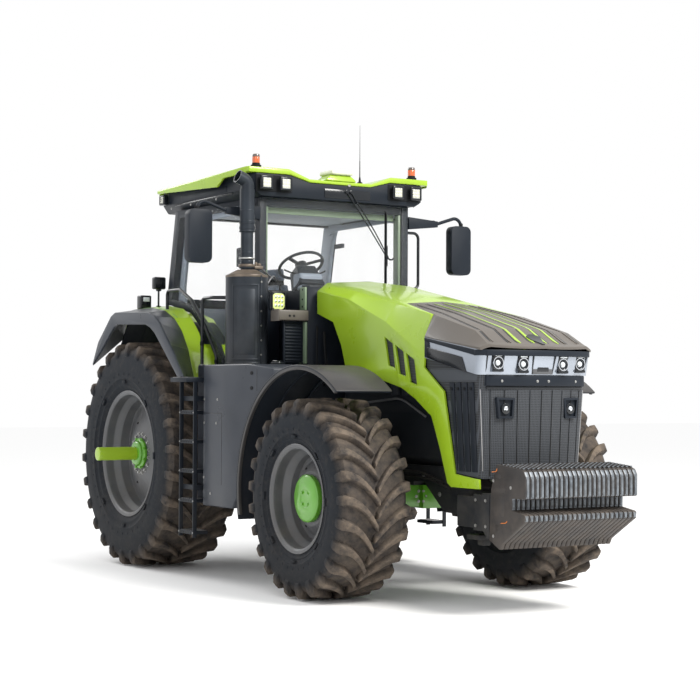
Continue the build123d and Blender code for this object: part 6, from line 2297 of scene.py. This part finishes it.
@dataclass
class RoofGear:
    """Work lamps, beacons, the receiver, the antenna and the roof's seams."""

    lamp_x: tuple[float, ...] = (0.562, 0.746)
    lamp_z: float = 3.308
    lamp_y: float = 0.2197

    def work_lamp(self) -> tuple[Piece, Piece, Piece]:
        """One square lamp facing forwards at the middle.

        Returns:
            Its bezel, its lens and its nine cells.
        """
        bezel = box((-0.058, 0.0, -0.060), (0.058, 0.0297, 0.060), 0.010, 3)
        recess(bezel, 0.008, 0.012, lambda face: face.normal.y < -0.95 and face.calc_area() > 0.002)
        smooth(bezel, 30.0)
        lens = box((-0.040, 0.006, -0.042), (0.040, 0.016, 0.042), 0.008, 3)
        cells = [box((-0.037 + 0.0255 * i, 0.003, -0.038 + 0.026 * j),
                     (-0.014 + 0.0255 * i, 0.009, -0.014 + 0.026 * j), 0.003)
                 for i in range(3) for j in range(3)]
        return bezel, lens, join(cells)

    def placed(self, parts: Sequence[Piece], place: Matrix, tag: str) -> list[Piece]:
        """Copies a lamp's parts to a place and gives each its finish.

        Args:
            parts: The bezel, the lens and the cells.
            place: Where the copy goes.
            tag: What ends the copies' names.

        Returns:
            The finished copies, bezel first.
        """
        finishes = (PALETTE.gloss_black, PALETTE.lens, PALETTE.cell)
        copies = []
        for part, finish, word in zip(parts, finishes, ("bezel", "lens", "cells")):
            twin = copy_of(part, place)
            copies.append(put(twin, f"work_lamp_{word}_{tag}", finish, "roof_work_lamps"))
        return copies

    def lamps(self) -> None:
        """Fits the four front lamps, the four rear lamps and the two corner lamps."""
        parts = self.work_lamp()
        for side in Side:
            for k, x in enumerate(self.lamp_x):
                place = Matrix.Translation((side.value * x, self.lamp_y - 0.0297, self.lamp_z))
                self.placed(parts, place, f"front_{k}_{side.word}")[0]
            for k, x in enumerate((0.470, 0.640)):
                place = (Matrix.Translation((side.value * x, 2.0603 + 0.0297, 3.295))
                         @ Matrix.Rotation(math.pi, 4, "Z") @ Matrix.Diagonal((1.05, 1.0, 0.82, 1.0)))
                self.placed(parts, place, f"rear_{k}_{side.word}")[0]
            place = (Matrix.Translation((side.value * (0.8655 + 0.052), 1.910, 3.310))
                     @ Matrix.Rotation(math.radians(side.value * 90), 4, "Z")
                     @ Matrix.Diagonal((0.92, 1.6, 0.78, 1.0)))
            self.placed(parts, place, f"corner_{side.word}")[0]
        for part in parts:
            bpy.data.objects.remove(part)
        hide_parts("roof_work_lamps")

    def beacons(self) -> None:
        """Stands the two flashing lamps on the roof."""
        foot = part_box("beacons")[0][2]
        x, y = 0.782, 0.330
        base = join([disc((-x, y, foot), UP, 0.045, 0.026, 0.004),
                     disc((-x, y, foot + 0.026), UP, 0.034, 0.016)])
        lens = bevel(rod((-x, y, foot + 0.040), (-x, y, foot + 0.096), 0.031, 32, tip=0.028), 0.004, 3, 40.0)
        cap = bevel(rod((-x, y, foot + 0.094), (-x, y, foot + 0.1175), 0.033, 32, tip=0.030), 0.005, 3, 40.0)
        ribs = box((-x - 0.002, y - 0.0325, foot + 0.044), (-x + 0.002, y - 0.026, foot + 0.094), 0.001)
        fins = [ribs]
        for k in range(1, 8):
            fins.append(copy_of(ribs, turn_about((-x, y, 0), math.pi * k / 4, "Z")))
        pair_up(fins, "beacon_ribs", PALETTE.amber, "beacons")
        pair_up(lens, "beacon_lens", PALETTE.amber, "beacons")
        pair_up(cap, "beacon_cap", PALETTE.smoke, "beacons")
        left = mirrored(base)
        both = put(smooth(join([base, left], "beacon_bases"), 35.0), "beacon_bases", PALETTE.matt_black,
                   "beacons")
        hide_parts("beacons")

    def receiver(self) -> None:
        """Seats the receiver and the whip antenna."""
        low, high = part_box("receiver_and_antenna")
        foot, tip = low[2], high[2]
        loops = []
        for z, half, deep in ((foot, 0.150, 0.090), (foot + 0.020, 0.142, 0.086),
                              (foot + 0.050, 0.104, 0.078), (foot + 0.058, 0.098, 0.074)):
            loops.append([(-half, 0.32 - deep, z), (half, 0.32 - deep, z), (half, 0.32 + deep, z),
                          (-half, 0.32 + deep, z)])
        base = bevel(skinned(loops), 0.012, 3, 40.0)
        put(base, "receiver_base", PALETTE.lime, "receiver_and_antenna")
        cap = box((-0.108, 0.212, foot + 0.056), (0.108, 0.430, foot + 0.0935), 0.014, 4)
        put(cap, "receiver_cap", PALETTE.cream, "receiver_and_antenna")
        x, y = 0.225, 0.300
        whip = [disc((x, y, foot), UP, 0.024, 0.014),
                rod((x, y, foot + 0.012), (x, y, foot + 0.060), 0.012, 20, tip=0.006),
                rod((x, y, foot + 0.055), (x, y, foot + 0.200), 0.0045, 12, tip=0.0035),
                rod((x, y, foot + 0.195), (x, y, tip), 0.0028, 10, tip=0.0012)]
        mast = put(smooth(join(whip), 35.0), "whip_antenna", PALETTE.matt_black, "receiver_and_antenna")
        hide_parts("receiver_and_antenna")

    def seams(self) -> None:
        """Adds the roof's side seams and panels, rear vents, bolts, the roof's top seams and the dark bezels
        round the front lamps.
        """
        node = "roof_valance"
        for side in Side:
            bezel = box((side.value * 0.654 - 0.172, 0.2440, 3.238),
                        (side.value * 0.654 + 0.172, 0.2515, 3.378), 0.012, 3)
            put(bezel, f"lamp_recess_{side.word}", PALETTE.matt_black, node)
        pair_up(box((-0.8685, 0.60, 3.238), (-0.8645, 1.72, 3.252), 0.002), "valance_seam",
                PALETTE.gloss_black, node)
        pair_up(box((-0.8685, 0.70, 3.268), (-0.8645, 1.60, 3.320), 0.002), "valance_panel",
                PALETTE.plastic, node)
        vents = [box((-0.30 + 0.10 * k, 2.0585, 3.250), (-0.22 + 0.10 * k, 2.066, 3.330), 0.004)
                 for k in range(6)]
        put(vents, "roof_rear_vents", PALETTE.matt_black, node)
        pair_up(bolt_row([(-0.8655, y, 3.225) for y in (0.42, 0.9, 1.4, 1.8)], TO_RIGHT, 0.007, 0.005),
                "valance_bolts", PALETTE.zinc, node)
        roof = "roof_shell"
        strips = [laid_strip(roof, [(x, y, 0.006) for y in (0.95, 1.2, 1.4, 1.6)], 0.0015)
                  for x in (-0.28, 0.28)]
        put(strips, "roof_seams", PALETTE.matt_black, roof)

    def build(self) -> None:
        """Builds everything on the roof."""
        self.lamps()
        self.beacons()
        self.receiver()
        self.seams()


# ---------------------------------------------------------------- fenders, tanks, ladders and rails


@dataclass
class SideGear:
    """What hangs along each side: fenders, tanks, ladders, rails, mirrors and rear lamps."""

    arc_y: float = FRONT_AXLE_Y + 0.044
    arc_z: float = 0.790
    arc_radius: float = 0.972
    tank_x: float = -1.205
    beside: float = -1.6

    def arch_lip(self, x0: float, x1: float, inner: float, outer: float) -> Piece:
        """A rounded lip that follows the front fender's edge.

        Args:
            x0: Where it starts across the tractor.
            x1: Where it ends across the tractor.
            inner: Radius of its inner side.
            outer: Radius of its outer side.

        Returns:
            The lip.
        """
        bearings = [math.radians(-13 + 139 * k / 40) for k in range(41)]
        rim_out = [(x0, self.arc_y + math.cos(a) * outer, self.arc_z + math.sin(a) * outer) for a in bearings]
        rim_in = [(x0, self.arc_y + math.cos(a) * inner, self.arc_z + math.sin(a) * inner)
                  for a in reversed(bearings)]
        return slab([*rim_out, *rim_in], Vector((x1 - x0, 0, 0)), 0.004)

    def front_fenders(self) -> None:
        """Rounds the front fenders, paints their outer faces a lighter warm grey as a painted highlight and
        leaves their inner faces dark as painted shade, and adds a rolled lip, an inner lip and a rib.
        """
        skin = softened("front_fenders", 0.004)
        reach = self.arc_radius - 0.004
        # The outer faces and the outer lip get the lighter grey as a painted highlight of the lit edge; the
        # inner faces stay dark as painted shade under the fender.
        dress(skin, PALETTE.plastic)
        dress_faces(skin, PALETTE.fender_grey,
                    lambda face: math.hypot(face.center.y - self.arc_y, face.center.z - self.arc_z) > reach)
        node = "front_fenders"
        pair_up(self.arch_lip(-1.199, -1.172, 0.934, 0.971), "front_fender_lip", PALETTE.fender_grey, node)
        pair_up(self.arch_lip(-0.744, -0.722, 0.940, 0.970), "front_fender_inner_lip", PALETTE.plastic, node)
        rib = self.arch_lip(-0.970, -0.950, 0.948, 0.958)
        pair_up(rib, "front_fender_rib", PALETTE.plastic, node)

    def tank_marks(self) -> None:
        """Cuts the tanks' seams, hatch and grips as thin dark lines and cups; the black of the grip cups is
        painted shade in their hollows.
        """
        node = "side_tanks"
        ovals = []
        for z in (1.706, 1.587):
            place = touch(node, (self.beside, -0.338, z), TO_LEFT)
            dish = disc(tuple(place + Vector((0.001, 0, 0))), TO_RIGHT, 0.019, 0.003, 0.001, 24)
            dish.data.transform(Matrix.Translation(place) @ Matrix.Diagonal((1, 1.25, 0.8, 1))
                                @ Matrix.Translation(-place))
            ovals.append(dish)
        # The grip cups are matt black: painted shade in the recessed grips.
        pair_up(ovals, "tank_grips", PALETTE.matt_black, node)
        loops = []
        for k in range(9):
            z = 1.735 - 0.085 * k
            if math.hypot(-0.414 - self.arc_y, z - self.arc_z) < 0.99:
                break
            place = touch(node, (self.beside, -0.414, z), TO_LEFT)
            loops.append([(place.x + 0.002, -0.417, z), (place.x - 0.0012, -0.417, z),
                          (place.x - 0.0012, -0.412, z), (place.x + 0.002, -0.412, z)])
        pair_up(skinned(loops), "tank_front_seam", PALETTE.gloss_black, node)
        long_seam = [box((self.tank_x - 0.0015, 0.100, 1.378), (self.tank_x + 0.002, 0.452, 1.383), 0.0008),
                     box((self.tank_x - 0.0015, 0.100, 0.80), (self.tank_x + 0.002, 0.105, 1.380), 0.0008)]
        pair_up(long_seam, "tank_side_seams", PALETTE.gloss_black, node)
        pair_up(bolt_row([(self.tank_x, 0.418, 1.496), (self.tank_x, 0.180, 1.493),
                          (self.tank_x, 0.418, 1.30), (self.tank_x, 0.20, 1.30), (self.tank_x, 0.30, 0.72),
                          (self.tank_x, 0.42, 0.85)], TO_RIGHT, 0.008, 0.005), "tank_bolts", PALETTE.zinc,
                node)
        top = box((-1.165, -0.28, 1.7795), (-1.115, 0.10, 1.785), 0.002)
        pair_up(top, "tank_top_edge", PALETTE.fender_grey, node)
        cap = join([disc((-0.86, -0.20, 1.7795), UP, 0.055, 0.022, 0.006),
                    box((-0.905, -0.208, 1.800), (-0.815, -0.192, 1.812), 0.004)])
        pair_up(cap, "tank_filler_cap", PALETTE.gloss_black, node)
        straps = [box((self.tank_x + 0.02, y, 0.6135), (-0.80, y + 0.05, 0.6185), 0.001)
                  for y in (0.10, 0.38)]
        pair_up(straps, "tank_straps", PALETTE.iron, node)
        cable = pulled_tube([(-0.92, -0.50, 1.745), (-0.90, -0.62, 1.752), (-0.82, -0.78, 1.715),
                             (-0.76, -0.82, 1.70)], 0.007, 0.06)
        pair_up(cable, "work_light_cable", PALETTE.orange, node)
        tip = rod((-0.93, -0.470, 1.745), (-0.92, -0.510, 1.748), 0.011, 20)
        pair_up(bevel(tip, 0.002, 2), "cable_end", PALETTE.steel, node)

    def ladders(self) -> None:
        """Adds tread holes drawn as matt black discs of painted shade, side bolts and the platform's grip
        bars to the ladders.
        """
        node = "ladders"
        side_x = -1.272
        levels = (0.386, 0.649, 0.894, 1.139, 1.383)
        holes, treads, bolts = [], [], []
        for level in levels:
            for k in range(5):
                # Each hole is a matt black disc: painted shade seen through the hole.
                holes.append(disc((side_x, 0.525 + 0.046 * k, level), TO_RIGHT, 0.0075, 0.0012, 0.0004, 12))
            for k in range(6):
                treads.append(box((-1.266, 0.505 + 0.040 * k, level + 0.0135),
                                  (-1.135, 0.512 + 0.040 * k, level + 0.019), 0.001))
            for y in (0.487, 0.748):
                bolts.append((side_x, y, level))
        pair_up(holes, "ladder_holes", PALETTE.matt_black, node)
        pair_up(treads, "ladder_treads", PALETTE.steel, node)
        pair_up(bolt_row(bolts, TO_RIGHT, 0.005, 0.004), "ladder_bolts", PALETTE.zinc, node)
        grips = [box((-1.335 + 0.035 * k, 0.480, 1.6745), (-1.327 + 0.035 * k, 0.755, 1.679), 0.001)
                 for k in range(7)]
        pair_up(grips, "platform_grips", PALETTE.steel, node)
        edge = box((-1.3505, 0.4635, 1.643), (-1.3475, 0.7695, 1.672), 0.001)
        pair_up(edge, "platform_edge", PALETTE.plastic, node)

    def flares(self) -> None:
        """Lines the rear arches with dark mudguards and marks the fenders' creases, the bead with a darker
        green strip of painted shade.
        """
        arch = ((-0.690, 1.880), (-0.560, 2.050), (-0.410, 2.155), (-0.215, 2.232), (0.060, 2.266),
                (0.440, 2.266), (0.620, 2.180), (0.745, 2.020), (0.860, 1.890), (0.960, 1.740))
        liner = ribbon([(-1.022, REAR_AXLE_Y + y, z) for y, z in arch], (0.420, 0, 0), (0, 0, -0.008))
        pair_up(liner, "rear_arch_liner", PALETTE.plastic, "rear_fenders")
        ridge = [ribbon([(px, REAR_AXLE_Y + y, z) for y, z in arch], (0.014, 0, 0), (0, 0.006, -0.020))
                 for px in (-1.020, -0.820, -0.620)]
        pair_up(ridge, "rear_arch_ridges", PALETTE.plastic, "rear_fenders")
        fender = "rear_fenders"
        # The darker green strip along the bead is painted shade of the crease; the lime strip is the crease's
        # raised line.
        for name, x, half, stand, finish in (("fender_bead", -0.99, 0.004, 0.003, PALETTE.fresh_green),
                                             ("fender_crease", -0.875, 0.003, 0.002, PALETTE.lime)):
            line = [(x, y, half) for y in (1.40, 1.60, 1.80, 2.00, 2.20)]
            pair_up(laid_strip(fender, line, stand), name, finish, fender)

    def rear_lamps(self) -> None:
        """Replaces the fender lamps: the lamp on its stalk and the tail lamp."""
        node = "fender_lamps"
        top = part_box(node)[1][2]
        x, y = -0.900, 1.990
        case = box((x - 0.058, y - 0.038, top - 0.113), (x + 0.058, y + 0.030, top - 0.001), 0.014, 3)
        stalk = [rod((x, y, top - 0.28), (x, y, top - 0.105), 0.009, 16),
                 disc((x, y, top - 0.272), UP, 0.022, 0.008),
                 box((x - 0.020, y - 0.020, top - 0.130), (x + 0.020, y + 0.020, top - 0.105), 0.004)]
        fins = [box((x - 0.045 + 0.018 * k, y - 0.0395, top - 0.100),
                    (x - 0.039 + 0.018 * k, y - 0.030, top - 0.015), 0.001) for k in range(6)]
        hit = touch("rear_fenders", (-0.96, 2.18, 3.0), DOWN)
        tail = box((-1.014, 2.127, hit.z - 0.01), (-0.906, 2.222, hit.z + 0.118), 0.012, 3)
        lamp = join([case, *stalk, *fins, tail])
        dress(lamp, PALETTE.gloss_black)
        left = mirrored(lamp)
        both = smooth(join([lamp, left], "fender_lamps_dressed"), 38.0)
        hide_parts(node)
        ride_with(both, node)
        pair_up(box((x - 0.046, y + 0.026, top - 0.098), (x + 0.046, y + 0.036, top - 0.014), 0.006, 3),
                "fender_work_lens", PALETTE.lens, node)
        tail_y = 2.219
        for word, finish, inner, outer, low, high in (
            ("lens_red", PALETTE.red, -0.914, -1.006, 0.050, 0.108),
            ("lens_amber", PALETTE.amber, -0.962, -1.006, 0.010, 0.045),
            ("lens_clear", PALETTE.lens, -0.914, -0.957, 0.010, 0.045),
        ):
            lens = box((outer, tail_y, hit.z + low), (inner, tail_y + 0.010, hit.z + high), 0.005, 3)
            pair_up(lens, f"tail_{word}", finish, node)
        front = box((-0.99, 2.119, hit.z + 0.060), (-0.93, 2.129, hit.z + 0.100), 0.004, 3)
        pair_up(front, "tail_front_lens", PALETTE.lens, node)

    def mirrors(self) -> None:
        """Puts the two glasses and the arm's joints on the mirrors."""
        node = "mirrors"
        x, z, back = -1.306, 2.841, 0.3935
        pair_up(box((x - 0.085, back - 0.003, z - 0.060), (x + 0.085, back + 0.0015, z + 0.200), 0.012, 3),
                "mirror_glass", PALETTE.mirror_face, node)
        pair_up(box((x - 0.085, back - 0.003, z - 0.200), (x + 0.085, back + 0.0015, z - 0.072), 0.012, 3),
                "mirror_wide_glass", PALETTE.mirror_face, node)
        arm = [disc((-1.02, 0.34, 3.085), UP, 0.018, 0.014),
               bevel(rod((-1.326, 0.34, 3.050), (-1.326, 0.34, 3.090), 0.0185, 20), 0.003)]
        pair_up(arm, "mirror_joints", PALETTE.matt_black, node)

    def rails(self) -> None:
        """Seats the rails' feet and their collars."""
        node = "handrails"
        feet = [disc((-1.070, 0.742, 1.7805), UP, 0.026, 0.008),
                disc((-0.985, 0.640, 1.7805), UP, 0.026, 0.008)]
        put(feet, "rail_feet", PALETTE.zinc, node)
        collar = [bevel(rod((-1.070, 0.742, 1.95), (-1.070, 0.742, 1.985), 0.0185, 20), 0.003),
                  bevel(rod((-0.985, 0.640, 1.80), (-0.985, 0.640, 1.83), 0.0185, 20), 0.003)]
        put(collar, "rail_collars", PALETTE.matt_black, node)

    def build(self) -> None:
        """Dresses both sides."""
        self.tank_marks()
        self.flares()
        self.rear_lamps()
        self.ladders()
        self.mirrors()
        self.rails()
        self.front_fenders()


# ---------------------------------------------------------------- chassis and hitch


@dataclass
class Chassis:
    """Cast and bolted detail under the hood, on the axles and on the rear hitch."""

    def front_axle(self) -> None:
        """Bolts the axle, and adds the steering cylinder, hoses and fittings."""
        node = "front_axle"
        low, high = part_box(node)
        z = FRONT_AXLE_Z
        rams = [rod((-0.30, high[1] - 0.010, 0.80), (0.30, high[1] - 0.010, 0.80), 0.032, 28),
                rod((-0.44, high[1] - 0.010, 0.80), (0.44, high[1] - 0.010, 0.80), 0.016, 20)]
        put(smooth(join(rams), 35.0), "steering_cylinder", PALETTE.steel, node)
        bolts = []
        for side in Side:
            for k in range(6):
                turn = 2 * math.pi * k / 6
                bolts.append((side.value * 0.20 + 0.045 * math.cos(turn), low[1] + 0.002,
                              z + 0.045 * math.sin(turn)))
        put(bolt_row(bolts, TO_FRONT, 0.008, 0.008), "axle_bolts", PALETTE.zinc, node)
        frame = "front_frame"
        places = [(-0.2500, -2.30 + 0.22 * k, 0.93 - 0.14 * (k % 2)) for k in range(8)]
        pair_up(bolt_row(places, TO_RIGHT, 0.013, 0.010), "frame_bolts", PALETTE.zinc, frame)
        hoses = [pulled_tube([(-0.256, -0.70, 0.90), (-0.290, -0.90, 0.96), (-0.290, -1.45, 0.95),
                              (-0.256, -1.70, 0.88)], 0.011, 0.09),
                 pulled_tube([(-0.256, -0.74, 0.86), (-0.278, -0.92, 0.925), (-0.278, -1.50, 0.91),
                              (-0.256, -1.80, 0.84)], 0.009, 0.09)]
        pair_up(hoses, "frame_hoses", PALETTE.matt_black, frame)

    def engine(self) -> None:
        """Breaks up the engine block's sides with covers, filters and pipes."""
        node = "engine_block"
        low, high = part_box(node)
        x = low[0]
        mid = (low[1] + high[1]) / 2
        parts = [box((x - 0.006, low[1] + 0.10, low[2] + 0.66),
                     (x + 0.002, mid - 0.06, low[2] + 0.80), 0.006),
                 box((x - 0.010, mid, low[2] + 0.62), (x + 0.002, high[1] - 0.10, low[2] + 0.84), 0.008)]
        parts += [bevel(rod((x - 0.012, mid - 0.30 + 0.15 * k, low[2] + 0.62),
                            (x - 0.012, mid - 0.30 + 0.15 * k, low[2] + 0.82), 0.045, 24), 0.006)
                  for k in range(2)]
        pair_up(parts, "engine_side_fittings", PALETTE.iron, node)
        pipes = [pulled_tube([(x - 0.02, low[1] + 0.12, high[2] - 0.20), (x - 0.03, mid, high[2] - 0.14),
                              (x - 0.02, high[1] - 0.12, high[2] - 0.22)], 0.022, 0.10),
                 pulled_tube([(x - 0.015, low[1] + 0.10, low[2] + 0.46),
                              (x - 0.03, low[1] + 0.42, low[2] + 0.60),
                              (x - 0.015, mid + 0.30, low[2] + 0.56)], 0.009, 0.08)]
        pair_up(pipes, "engine_pipes", PALETTE.rim, node)
        pair_up(bolt_row([(x, low[1] + 0.08 + 0.12 * k, low[2] + 0.98) for k in range(9)], TO_RIGHT,
                         0.009, 0.007), "engine_bolts", PALETTE.zinc, node)

    def rear(self) -> None:
        """Adds coupler caps and levers, the power shaft's splines and guard, and the link pins at the back.
        """
        node = "remote_valves"
        caps = [disc((-0.150 + 0.060 * k, 2.2245, 1.070), TO_REAR, 0.017, 0.008, 0.003, 20)
                for k in range(6)]
        for k, cap in enumerate(caps):
            # The amber caps take the beacon's lens finish and glow faintly though they are no lamps: painted
            # light.
            put(cap, f"coupler_cap_{k}", (PALETTE.red, PALETTE.amber, PALETTE.fresh_green)[k % 3], node)
        levers = [box((-0.165 + 0.060 * k, 2.15, 1.138), (-0.135 + 0.060 * k, 2.19, 1.150), 0.003)
                  for k in range(6)]
        put(levers, "coupler_levers", PALETTE.matt_black, node)
        drawbar = "drawbar_and_pivots"
        tooth = box((-0.0035, 2.120, 0.8415), (0.0035, 2.205, 0.8445), 0.001)
        shaft, teeth = (0, 0, 0.820), 18
        splines = [copy_of(tooth, turn_about(shaft, 2 * math.pi * k / teeth, "Y")) for k in range(teeth)]
        bpy.data.objects.remove(tooth)
        put(splines, "power_shaft_splines", PALETTE.steel, drawbar)
        guard = [box((-0.14, 2.045, 0.930), (0.14, 2.190, 0.942), 0.003),
                 box((-0.14, 2.045, 0.72), (-0.130, 2.190, 0.942), 0.003),
                 box((0.130, 2.045, 0.72), (0.14, 2.190, 0.942), 0.003)]
        put(guard, "power_shaft_guard", PALETTE.iron, drawbar)
        link = "lower_links"
        pair_up(bolt_row([(-0.4835, y, z) for y, z in ((2.61, 0.560), (2.30, 0.560), (2.14, 0.560))],
                         TO_RIGHT, 0.014, 0.006), "link_pins", PALETTE.zinc, link)

    def build(self) -> None:
        """Dresses the chassis."""
        self.front_axle()
        self.engine()
        self.rear()


# ---------------------------------------------------------------- assembly


def dress_rest() -> None:
    """Gives every CAD node that still shows a finish by its record slot."""
    finishes = {
        "lime": PALETTE.lime, "hub_green": PALETTE.fresh_green, "tan": PALETTE.tan, "rim_grey": PALETTE.rim,
        "dark_iron": PALETTE.iron, "dark_plastic": PALETTE.plastic, "roof_plastic": PALETTE.lime,
        "lamp_band": PALETTE.silver, "grille": PALETTE.wire, "tyre": PALETTE.iron, "steel": PALETTE.steel,
        "exhaust": PALETTE.can, "glass": PALETTE.glass, "seat": PALETTE.cloth, "amber": PALETTE.amber,
        "lamp": PALETTE.plastic,
    }
    own = {"side_tanks": PALETTE.tank_grey, "fender_flares": PALETTE.tank_grey,
           "cooling_pack": PALETTE.matt_black, "bar_axle_left": PALETTE.lime,
           "bar_axle_right": PALETTE.lime, "handrails": PALETTE.gloss_black}
    for part in FRAME["record"]["subparts"]:
        node = part["node"]
        dress(FRAME["nodes"][node], own.get(node, finishes[part["material_slot"]]))


@dataclass
class Wheels:
    """Both pairs of drive tyres, with the fittings of their rims and hubs."""

    front: Point = (-0.957, FRONT_AXLE_Y, FRONT_AXLE_Z)
    rear: Point = (-0.980, REAR_AXLE_Y, 1.003)

    def build(self) -> None:
        """Builds the tyres and then what is bolted to the wheels."""
        Tyre("front", 0.7575, 0.600, 0.388, 0.254, 25, self.front).build()
        Tyre("rear", 1.0022, 0.700, 0.540, 0.287, 26, self.rear).build()
        WheelFittings("front", self.front, 0.142, 12, 0.060, 0.406, 0.270).build()
        WheelFittings("rear", self.rear, 0.175, 16, 0.135, 0.558, 0.303).build()


ASSEMBLIES = (
    Wheels(), Nose(), HoodTop(), Weights(), Exhaust(), CowlSides(), CabTrim(), Seat(), RoofGear(), Chassis(),
    SideGear(), SoftEdges(),
)


def main() -> None:
    """Builds the studio and dresses the tractor, sub-assembly by sub-assembly."""
    logging.basicConfig(level=logging.INFO, format="%(message)s")
    Studio().build()
    dress_rest()
    for assembly in ASSEMBLIES:
        assembly.build()
        LOG.info("%s built", type(assembly).__name__)


if __name__ == "__main__":
    main()
